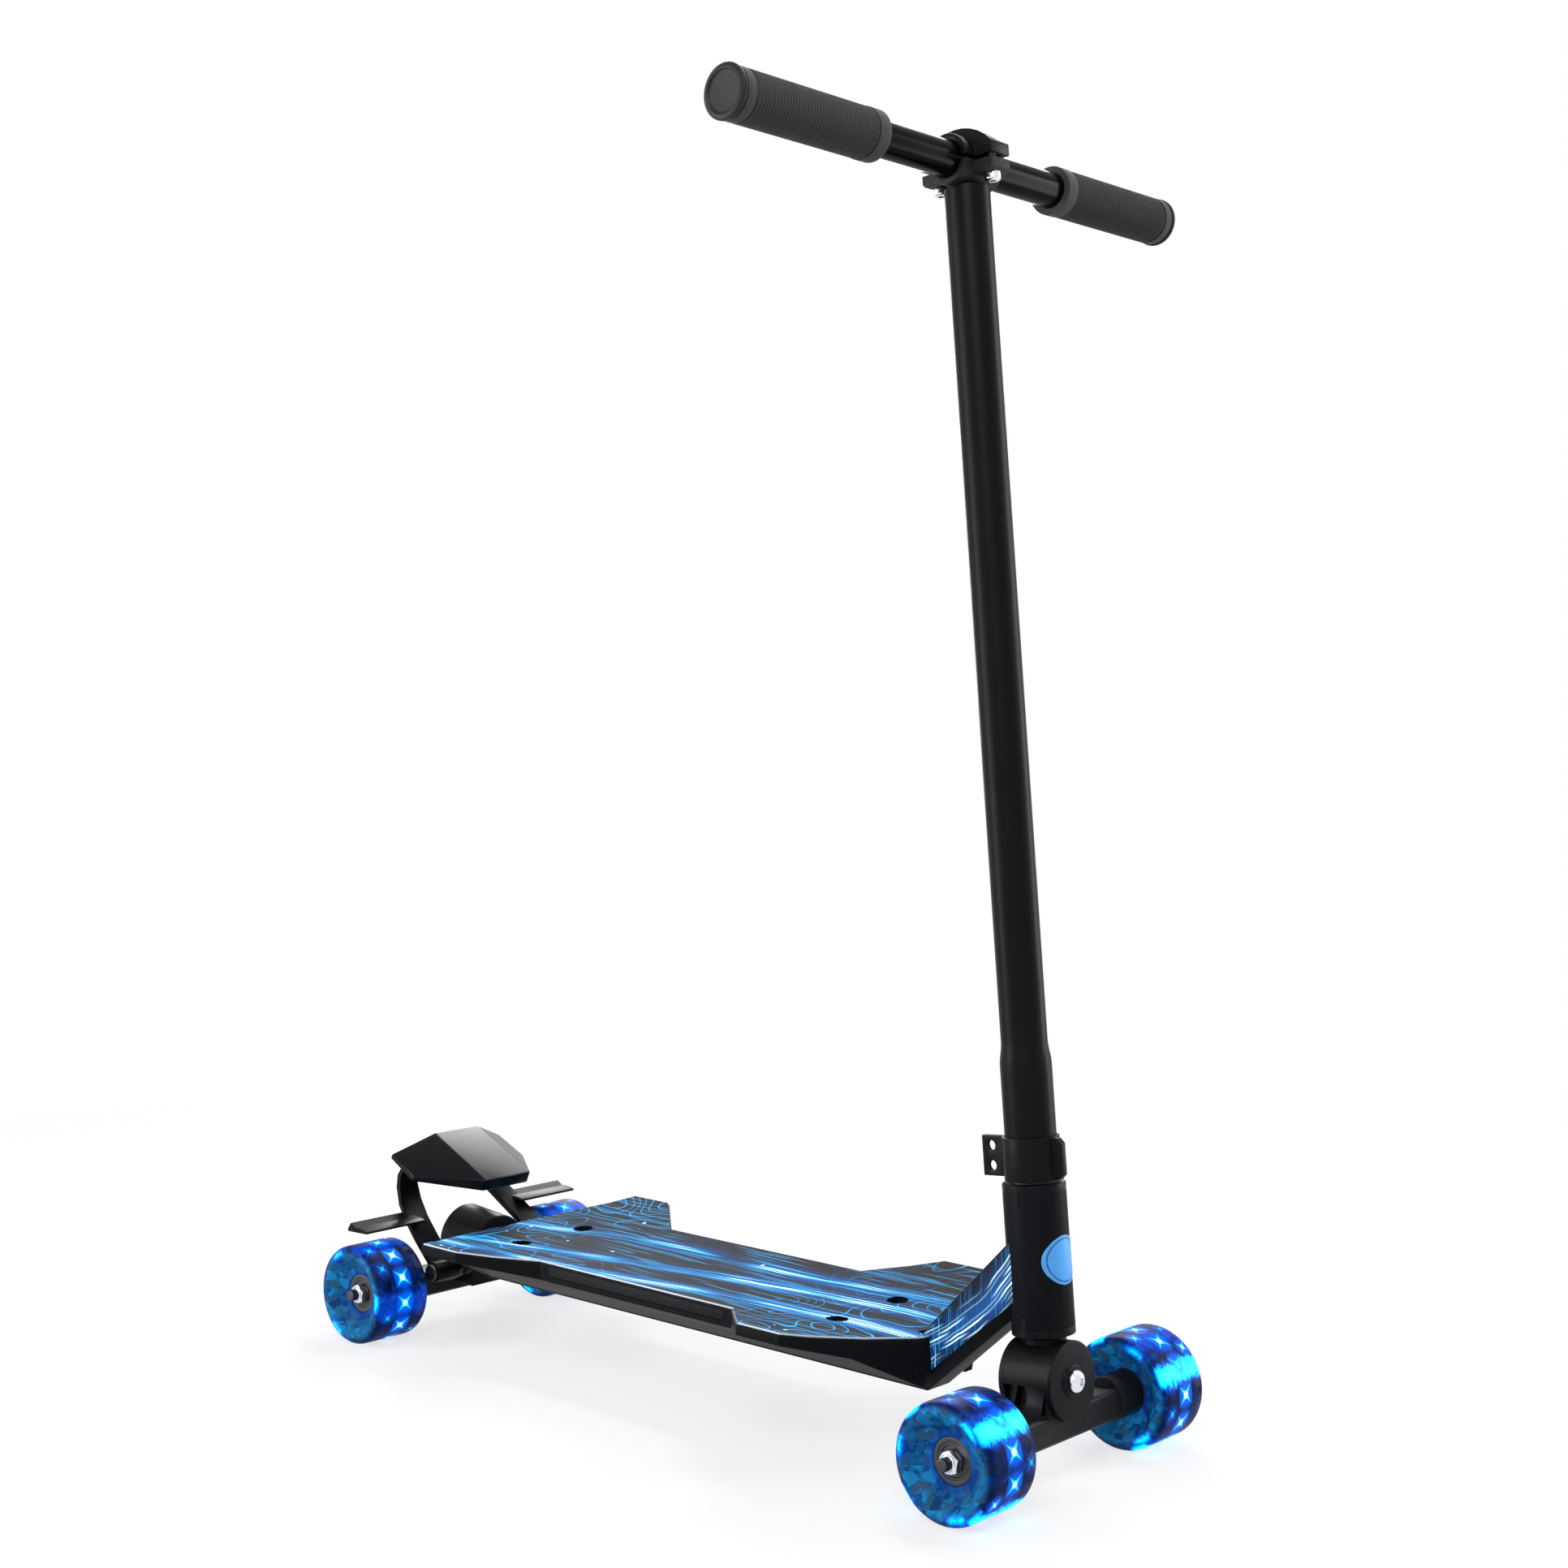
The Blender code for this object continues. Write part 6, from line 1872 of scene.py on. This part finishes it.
    def _badge(self) -> None:
        """Round badge wrapped on the front of the head tube."""
        middle = self.badge_height
        low, high = middle - 0.018, middle + 0.018
        inner, out = self.tube_radius - 0.0006, self.tube_radius + self.badge_proud
        rings = [(inner, low), (out, low), (out, high), (inner, high)]
        shell = Bench.lathe("badge_plain_disc", rings, UPRIGHT, 192, loop=True)
        forward = Matrix.Translation((0, 0, middle)) @ ALONG_X
        punch_rings = [(self.badge_radius, 0.0), (self.badge_radius, 0.04)]
        punch = Bench.lathe("punch", punch_rings, forward, 96)
        Bench.combine(shell, [punch], "INTERSECT")
        Bench.weld(shell)
        Bench.bevel(shell, 0.00015, 2, 40)
        Bench.settle(shell, STEERING)
        Bench.smooth(shell, 35)
        spot = STEERING @ Vector((self.tube_radius, 0, middle))
        material = BadgeDisc("badge_enamel", tuple(spot)).make()
        shell.data.materials.append(material)
        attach(shell, "frame")
        LOG.info("badge_plain_disc rides on the head tube")

    def _prints(self) -> None:
        """Thin printed skins with a painted glow on the two sides of the neck."""
        corners = self.neck_corners
        for side in Side:
            y = side.value * self.print_out
            low, high = sorted((y, y + side.value * self.print_thick))
            skin = Bench.block(f"neck_print_{side.word}", (0.15, low, 0.03), (0.262, high, 0.16))
            for (ax, az), (bx, bz) in zip(corners, corners[1:] + corners[:1]):
                direction = Vector((bx - ax, 0, bz - az)).normalized()
                outward = Vector((-direction.z, 0, direction.x))
                Bench.trim(skin, Vector((ax, 0, az)) - outward * self.print_margin, outward)
            self.shop.add(skin, Finish.NECK, "deck_sheet")


@dataclass
class Deck(Assembly):
    """Moulded deck, printed sheet with its painted glow and a pale painted highlight on its edge, side
    panels and screws.
    """

    screw_backs: tuple[float, float] = (0.1485, 0.4536)
    screw_out: float = 0.0305
    screw_seat: float = 0.0683
    screw_tip: float = 0.0575
    screw_radius: float = 0.0025
    head_radii: tuple[float, float] = (0.0045, 0.0030)
    head_heights: tuple[float, float] = (0.0026, 0.0040)
    socket_radius: float = 0.0017
    socket_start: float = 0.0018
    hole_radius: float = 0.0074
    waist_out: float = 0.0653
    waist: tuple[float, float] = (-0.1155, 0.0632)
    keel_out: float = 0.026
    keel_height: float = 0.0445
    chine_height: float = 0.0660
    pocket_in: float = 0.0200
    pocket_out: float = 0.0611
    pocket_top: float = 0.0713
    plate_in: float = 0.0176
    plate_out: float = 0.0422
    plate_half: float = 0.0143
    plate_under: float = 0.0606
    panel_low: float = 0.0690
    panel_high: float = 0.0775
    panel_middle: float = -0.026
    panel_half: float = 0.0868
    neck_half: float = 0.0195
    neck_start: float = 0.15
    rim: float = 0.0009

    def build(self) -> None:
        """Builds the deck's pieces."""
        self._shell()
        self._sheet()
        for side in Side:
            self.shop.refine(f"side_panel_{side.word}", Finish.PANEL, 0.0002, 2)
        self._screws()

    def _shell(self) -> None:
        """The moulding, its pockets under the waist closed and its edges broken."""
        shell = self.shop.trace("deck_shell", "deck_shell_look", 0.2)
        skins = []
        for side in Side:
            pocket = (self.pocket_in, self.pocket_out)
            skins.append(self._underside(side, self.waist, pocket, self.pocket_top))
            for back in self.screw_backs:
                middle = WHEELBASE / 2 - back
                span = (middle - self.plate_half, middle + self.plate_half)
                slot = (self.plate_in, self.plate_out)
                skins.append(self._underside(side, span, slot, self.plate_under))
        Bench.combine(shell, skins, "UNION")
        Bench.weld(shell, flat=0.2)
        Bench.bevel_by(shell, self.rim, 3, 28, self._softness)
        Bench.smooth(shell, 30)
        self.shop.dress(shell, Finish.SHELL, "deck_shell")

    def _underside(
        self, side: Side, span: tuple[float, float], out: tuple[float, float], top: float
    ) -> bpy.types.Object:
        """A block flush with the sloping underside.

        Args:
            side: which side of the backbone.
            span: its two ends along X.
            out: its inner and outer distance from the middle.
            top: its top's height.

        Returns:
            The block.
        """
        low_y, high_y = sorted(side.value * distance for distance in out)
        block = Bench.block("skin", (span[0], low_y, self.keel_height), (span[1], high_y, top))
        rise, run = self.chine_height - self.keel_height, self.waist_out - self.keel_out
        outward = Vector((0, side.value * rise, -run)).normalized()
        Bench.trim(block, (0, side.value * self.keel_out, self.keel_height), outward)
        return block

    def _softness(self, middle: Vector) -> float:
        """Share of the bevel at an edge: little round the panels and the screw holes.

        Args:
            middle: the edge's middle.

        Returns:
            The share, from 0 to 1.
        """
        beside = abs(abs(middle.y) - self.waist_out) < 0.0016
        along = abs(middle.x - self.panel_middle) < self.panel_half
        if beside and along and self.panel_low < middle.z < self.panel_high:
            return 0.2
        return 0.25 if self._by_screw(middle, 0.003) else 0.8

    def _by_screw(self, middle: Vector, reach: float) -> bool:
        """Whether a place lies in a screw's hole or near it.

        Args:
            middle: the place.
            reach: how far from the hole's wall still counts.

        Returns:
            True where it does.
        """
        spot = Vector((middle.x, abs(middle.y)))
        screws = [Vector((WHEELBASE / 2 - back, self.screw_out)) for back in self.screw_backs]
        return any((spot - screw).length < self.hole_radius + reach for screw in screws)

    def _sheet(self) -> None:
        """The printed sheet, pale on its outer edge as a painted highlight, and dark in its holes."""
        sheet = self.shop.trace("deck_sheet", "deck_sheet_look", 0.2)
        for finish in (Finish.DECK, Finish.SHELL, Finish.EDGE):
            sheet.data.materials.append(finish.material)
        for face in sheet.data.polygons:
            face.material_index = self._sheet_finish(face)
        Bench.smooth(sheet, 20)
        self.shop.stand_in(sheet, "deck_sheet")

    def _sheet_finish(self, face: bpy.types.MeshPolygon) -> int:
        """Which of the sheet's finishes a face has: print, dark, or the pale painted edge highlight.

        Args:
            face: a face of the sheet.

        Returns:
            The finish's number.
        """
        if face.normal.z > 0.8:
            return 0
        middle = Vector(face.center)
        by_neck = abs(middle.y) < self.neck_half and middle.x > self.neck_start
        hidden = by_neck or face.normal.z < -0.8
        # Sheet faces on the outer edge, away from the holes, take the pale painted highlight.
        return 1 if hidden or self._by_screw(middle, 0.001) else 2

    def _screws(self) -> None:
        """Pan-head screws with a hexagon socket."""
        seat = self.screw_seat
        side_height, top_height = (seat + height for height in self.head_heights)
        wide, narrow = self.head_radii
        profile = soften([
            (FINE_POLE, self.screw_tip, 0), (self.screw_radius, self.screw_tip, 0.0005),
            (self.screw_radius, seat, 0), (wide, seat, 0.0003), (wide, side_height, 0.0006),
            (narrow, top_height, 0.0006), (FINE_POLE, top_height, 0),
        ])
        socket = [(self.socket_radius, seat + self.socket_start), (self.socket_radius, seat + 0.006)]
        spots = [(WHEELBASE / 2 - back, sign) for back in self.screw_backs for sign in (-1, 1)]
        for number, (x, sign) in enumerate(spots, 1):
            place = Matrix.Translation((x, sign * self.screw_out, 0))
            screw = Bench.lathe(f"deck_screw_{number}_look", profile, place, 40)
            Bench.combine(screw, [Bench.lathe("key", socket, place, 6)], "DIFFERENCE")
            Bench.smooth(screw, 30)
            self.shop.dress(screw, Finish.STEEL, f"deck_screw_{number}")


# Steering column and bar


@dataclass
class Column(Assembly):
    """Upright, clamp collar and what they hold."""

    socket_radius: float = 0.0159
    stem_radius: float = 0.0143
    wall: float = 0.0016
    socket_bottom: float = 0.1809
    socket_length: float = 0.0722
    swage: float = 0.0096
    swage_round: float = 0.003
    below_bar: float = 0.0155

    def build(self) -> None:
        """Builds the upright and its clamp."""
        rise = self.socket_bottom + self.socket_length
        top = BAR_HEIGHT - self.below_bar
        stem = Bench.lathe("stem_tube_look", soften([
            (self.socket_radius - self.wall, self.socket_bottom, 0),
            (self.socket_radius, self.socket_bottom, 0.0005),
            (self.socket_radius, rise, self.swage_round),
            (self.stem_radius, rise + self.swage, self.swage_round),
            (self.stem_radius, top, 0),
            (self.stem_radius - self.wall, top, 0),
            (self.stem_radius - self.wall, rise + self.swage, 0),
            (self.socket_radius - self.wall, rise, 0),
        ], 5), STEERING, 96, loop=True)
        self.shop.dress(stem, Finish.STEM, "stem_tube")
        self.shop.refine("clamp_collar", Finish.TRUCK, 0.0005, 3, 40, 35)
        self.shop.paint("steerer_sleeve", Finish.STEEL)


@dataclass
class Handlebar(Assembly):
    """Crossbar, its clamp and bolts, ribbed grips and end caps."""

    radius: float = 0.0111
    wall: float = 0.002
    half: float = 0.212
    grip_start: float = 0.0897
    collar_width: float = 0.010
    collar_radius: float = 0.0156
    ribs: int = 41
    rib_span: float = 0.1032
    rib_radius: float = 0.0153
    groove_radius: float = 0.0143
    ring_width: float = 0.0066
    groove_width: float = 0.0022
    cap_radius: float = 0.01585
    cap_width: float = 0.004
    plug_radius: float = 0.0088
    plug_length: float = 0.014
    bolt_reach: float = 0.0202
    bolt_radius: float = 0.003
    bolt_top: float = 0.0042
    bolt_head_radius: float = 0.005
    bolt_head_height: float = 0.0052
    bolt_socket: float = 0.0022
    rib_steps: tuple[Ring, ...] = ((0.18, 0.0), (0.34, 0.75), (0.50, 1.0), (0.66, 1.0), (0.82, 0.75))

    def build(self) -> None:
        """Builds the bar and everything on it."""
        out, inner, half = self.radius, self.radius - self.wall, self.half
        rings = [(inner, -half), (out, -half), (out, half), (inner, half)]
        bar = Bench.lathe("handlebar_look", rings, BAR @ ALONG_Y, 96, loop=True)
        self.shop.dress(bar, Finish.BAR, "handlebar")
        self.shop.refine("bar_clamp_saddle", Finish.CAST, 0.0006, 3, 40, 35)
        self.shop.refine("bar_clamp_cap", Finish.TRUCK, 0.0006, 3, 40, 35)
        self._bolts()
        grip = self._grip()
        cap = self._cap()
        for side in Side:
            for master, finish, kind in ((grip, Finish.RUBBER, "grip"), (cap, Finish.CAP, "bar_end")):
                node = f"{kind}_{side.word}"
                self.shop.dress(Bench.copy(master, node + "_look", BAR @ side.outward), finish, node)
        bpy.data.objects.remove(grip, do_unlink=True)
        bpy.data.objects.remove(cap, do_unlink=True)

    def _grip(self) -> bpy.types.Object:
        """One grip along Z: plain collar, fine ribs, a groove and an end ring.

        Returns:
            The grip.
        """
        start, first = self.grip_start, self.grip_start + self.collar_width
        pitch = self.rib_span / self.ribs
        bore = self.radius + SEAT_GAP
        rings: list[Ring] = soften([
            (bore, start, 0), (self.collar_radius, start, 0.0008),
            (self.collar_radius, first, 0.0003), (self.groove_radius, first, 0),
        ], 3)
        for i in range(self.ribs):
            base = first + i * pitch
            for share, height in self.rib_steps:
                radius = self.groove_radius + (self.rib_radius - self.groove_radius) * height
                rings.append((radius, base + share * pitch))
        end = first + self.rib_span
        ring_start = end + self.groove_width
        ring_end = end + 0.0024 + self.ring_width
        rings += soften([
            (self.groove_radius, end, 0), (self.groove_radius, ring_start, 0),
            (self.rib_radius, ring_start, 0.0004), (self.rib_radius, ring_end, 0.0007),
            (bore, ring_end, 0),
        ], 3)
        return Bench.lathe("grip", rings, UPRIGHT, 72, loop=True)

    def _cap(self) -> bpy.types.Object:
        """End cap along Z: rounded flange with a dished face inside a raised rim.

        Returns:
            The cap.
        """
        face = self.half + SEAT_GAP
        end = face + self.cap_width
        radius = self.cap_radius
        tail = face - self.plug_length
        return Bench.lathe("cap", soften([
            (WIDE_POLE, tail, 0), (self.plug_radius, tail, 0), (self.plug_radius, face, 0),
            (radius - 0.0012, face, 0.0004), (radius, face + 0.0012, 0.0005),
            (radius, end - 0.0009, 0.0009), (radius - 0.0022, end, 0.0008),
            (radius - 0.0034, end, 0.0006), (radius - 0.0044, end - 0.0011, 0.0006),
            (WIDE_POLE, end - 0.0012, 0),
        ], 4), UPRIGHT, 72)

    def _bolts(self) -> None:
        """Two socket-head bolts that come up through the clamp from below."""
        for word, reach in (("front", self.bolt_reach), ("rear", -self.bolt_reach)):
            node = f"bar_clamp_bolt_{word}"
            low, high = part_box(node)
            place = BAR @ Matrix.Translation((reach, 0, 0))
            base = (place.inverted() @ Vector(((low.x + high.x) / 2, 0, low.z))).z + 0.0004
            head, top = base + self.bolt_head_height, self.bolt_top
            bolt = Bench.lathe(node + "_look", soften([
                (POLE, base, 0), (0.0036, base, 0.0003), (self.bolt_head_radius, base + 0.0010, 0.0006),
                (self.bolt_head_radius, head, 0.0003), (self.bolt_radius, head, 0),
                (self.bolt_radius, top, 0), (POLE, top, 0),
            ]), place, 48)
            socket = [(self.bolt_socket, base - 0.002), (self.bolt_socket, base + 0.0026)]
            Bench.combine(bolt, [Bench.lathe("key", socket, place, 6)], "DIFFERENCE")
            Bench.smooth(bolt, 30)
            self.shop.dress(bolt, Finish.CHROME, node)


# Foot brake


@dataclass
class FootBrake(Assembly):
    """Faceted pedal on two bent arms, with their pins and return springs."""

    pivot: Point = (-0.2435, 0.0, 0.0490)
    eye_out: float = 0.0606
    pin_start: float = 0.0294
    pin_radius: float = 0.004
    head_radius: float = 0.006
    head_height: float = 0.0025

    def build(self) -> None:
        """Builds the brake's pieces."""
        self.shop.refine("brake_pedal", Finish.PEDAL, 0.0011, 3, 20, 25)
        for side in Side:
            self.shop.refine(f"brake_arm_{side.word}", Finish.ARM, 0.0007, 3, 35, 32)
            self._pin(side)
            self.shop.paint(f"brake_spring_{side.word}", Finish.STEEL)

    def _pin(self, side: Side) -> None:
        """Headed pin through one arm's eye.

        Args:
            side: the arm's side.
        """
        head = self.eye_out + SEAT_GAP
        top = head + self.head_height
        pin = Bench.lathe(f"brake_pin_{side.word}_look", soften([
            (POLE, self.pin_start, 0), (self.pin_radius, self.pin_start, 0.0004),
            (self.pin_radius, head, 0), (self.head_radius, head, 0.0004),
            (self.head_radius, top, 0.0008), (POLE, top, 0),
        ]), Matrix.Translation(self.pivot) @ side.outward, 40)
        self.shop.dress(pin, Finish.STEEL, f"brake_pin_{side.word}")


# Studio


@dataclass
class Studio:
    """Floor, soft light and the camera of the photograph."""

    eye: Point = (1.0414, -1.0922, 0.4604)
    right: Point = (0.7417, 0.6708, 0.0)
    up: Point = (-0.0198, 0.0219, 0.9996)
    back: Point = (0.6705, -0.7413, 0.0295)
    lens: float = 50.61
    sensor: float = 36.0
    world_level: float = 0.40
    world_tint: Colour = (0.97, 0.985, 1.0)
    floor_radius: float = 40.0
    floor_tone: Colour = (0.86, 0.86, 0.86)
    fade_start: float = 0.5
    fade_end: float = 1.6
    near_white: float = 0.72
    aim: Point = (0, 0, 0.35)
    lamps: tuple[tuple[str, Point, tuple[float, float], float, bool], ...] = (
        ("key", (1.15, -1.6, 1.9), (0.9, 0.9), 22.0, True),
        ("key_sheen", (1.15, -1.6, 1.9), (0.9, 0.9), 26.0, False),
        ("left_strip", (-1.00, -1.30, 0.55), (0.35, 1.5), 20.0, True),
        ("left_sheen", (-1.00, -1.30, 0.55), (0.35, 1.5), 22.0, False),
        ("right_strip", (0.95, 1.25, 0.60), (0.35, 1.5), 16.0, True),
        ("right_sheen", (0.95, 1.25, 0.60), (0.35, 1.5), 6.0, False),
        ("rear_box", (-0.87, 1.15, 1.27), (0.6, 0.6), 9.0, True),
        ("rear_sheen", (-0.87, 1.15, 1.27), (1.1, 1.1), 34.0, False),
        ("low_sheen", (-1.35, 1.05, 0.62), (0.4, 0.4), 4.0, False),
        ("top", (0.15, 0.85, 2.1), (1.6, 0.25), 16.0, True),
        ("top_sheen", (0.15, 0.85, 2.1), (1.6, 0.25), 14.0, False),
    )

    def build(self) -> None:
        """Sets the view transform, the world, the floor, the lamps and the camera."""
        bpy.context.scene.view_settings.view_transform = "Standard"
        self._world()
        self._floor()
        self._lamps()
        self._camera()

    @staticmethod
    def _seen(tree: bpy.types.NodeTree) -> bpy.types.NodeSocket:
        """Finds what the camera, a mirror or glass sees straight.

        Args:
            tree: the node tree that it is for.

        Returns:
            A socket that is 1 there, else 0.
        """
        path = tree.nodes.new("ShaderNodeLightPath")
        last = path.outputs["Is Camera Ray"]
        for name in ("Is Glossy Ray", "Is Transmission Ray"):
            larger = tree.nodes.new("ShaderNodeMath")
            larger.operation = "MAXIMUM"
            tree.links.new(last, larger.inputs[0])
            tree.links.new(path.outputs[name], larger.inputs[1])
            last = larger.outputs[0]
        return last

    @staticmethod
    def _blend(
        tree: bpy.types.NodeTree,
        share: bpy.types.NodeSocket,
        first: bpy.types.NodeSocket,
        second: bpy.types.NodeSocket,
        output: bpy.types.Node,
    ) -> None:
        """Mixes two shaders and sends the result to an output.

        Args:
            tree: the node tree.
            share: how much of the second.
            first: one shader.
            second: the other shader.
            output: the tree's output node.
        """
        blend = tree.nodes.new("ShaderNodeMixShader")
        for number, socket in enumerate((share, first, second)):
            tree.links.new(socket, blend.inputs[number])
        tree.links.new(blend.outputs[0], output.inputs[0])

    def _world(self) -> None:
        """White to the eye and in reflections, and softer as a light."""
        world = bpy.data.worlds.new("studio")
        bpy.context.scene.world = world
        world.use_nodes = True
        tree = world.node_tree
        tree.nodes.clear()
        output = tree.nodes.new("ShaderNodeOutputWorld")
        lit, shown = (tree.nodes.new("ShaderNodeBackground") for _ in range(2))
        lit.inputs["Color"].default_value = (*self.world_tint, 1.0)
        lit.inputs["Strength"].default_value = self.world_level
        shown.inputs["Color"].default_value = (1, 1, 1, 1)
        self._blend(tree, self._seen(tree), lit.outputs[0], shown.outputs[0], output)

    def _floor(self) -> None:
        """Pale floor that keeps a soft shadow near the scooter and fades to white."""
        Bench.rest()
        bpy.ops.mesh.primitive_circle_add(vertices=96, radius=self.floor_radius, fill_type="NGON")
        floor = bpy.context.object
        floor.name = "studio_floor"
        recipe = Recipe("studio_floor")
        tree = recipe.tree
        recipe.set(Base_Color=self.floor_tone, Roughness=0.9, Specular_IOR_Level=0.1)
        x, y, _ = recipe.parts(recipe.place())
        far = ((x * x + y * y) ** 0.5).fade(self.fade_start, self.fade_end)
        white = (self.near_white + far * (1.0 - self.near_white)).least(1.0)
        share = white * Signal(recipe, self._seen(tree))
        glow = tree.nodes.new("ShaderNodeEmission")
        self._blend(tree, share.socket, recipe.shader.outputs[0], glow.outputs[0], recipe.output)
        floor.data.materials.append(recipe.material)

    def _lamps(self) -> None:
        """Soft boxes in front, behind and above, and a tall strip on either side.

        The last value of a lamp is False where it shows only in reflections.
        """
        for name, spot, (wide, high), power, spread in self.lamps:
            data = bpy.data.lights.new("lamp_" + name, "AREA")
            data.shape = "RECTANGLE"
            data.size, data.size_y = wide, high
            data.energy = power
            lamp = bpy.data.objects.new("lamp_" + name, data)
            lamp.visible_diffuse = spread
            lamp.location = spot
            away = Vector(self.aim) - Vector(spot)
            lamp.rotation_euler = away.to_track_quat("-Z", "Y").to_euler()
            bpy.context.scene.collection.objects.link(lamp)

    def _camera(self) -> None:
        """The photograph's camera, solved from its four wheels and its straight edges."""
        data = bpy.data.cameras.new("camera")
        data.lens = self.lens
        data.sensor_width = self.sensor
        data.clip_start = 0.05
        camera = bpy.data.objects.new("camera", data)
        columns = Matrix((self.right, self.up, self.back)).transposed().to_4x4()
        camera.matrix_world = Matrix.Translation(self.eye) @ columns
        bpy.context.scene.collection.objects.link(camera)
        bpy.context.scene.camera = camera


def main() -> None:
    """Builds the scooter's looks, one sub-assembly after another."""
    logging.basicConfig(level=logging.INFO, format="%(name)s: %(message)s", stream=sys.stdout)
    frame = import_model()
    shop = Workshop(frame)
    Studio().build()
    assemblies = (
        Wheel(shop),
        Truck(
            shop, "front", FRONT_PIVOT, "fork_crown", crown_length=0.0382, axle_x=WHEELBASE / 2,
            bolt_side=1, bolt_seat=0.0017, bolt_tail=0.0078,
        ),
        Truck(
            shop, "rear", REAR_PIVOT, "rear_crown", crown_length=0.0400, axle_x=-WHEELBASE / 2,
            bolt_side=-1, bolt_seat=0.0003, bolt_tail=0.018, rear_drop=0.0129,
        ),
        Frame(shop),
        Deck(shop),
        Column(shop),
        Handlebar(shop),
        FootBrake(shop),
    )
    for assembly in assemblies:
        LOG.info("building %s", type(assembly).__name__)
        assembly.build()
    Bench.rest()


if __name__ == "__main__":
    main()
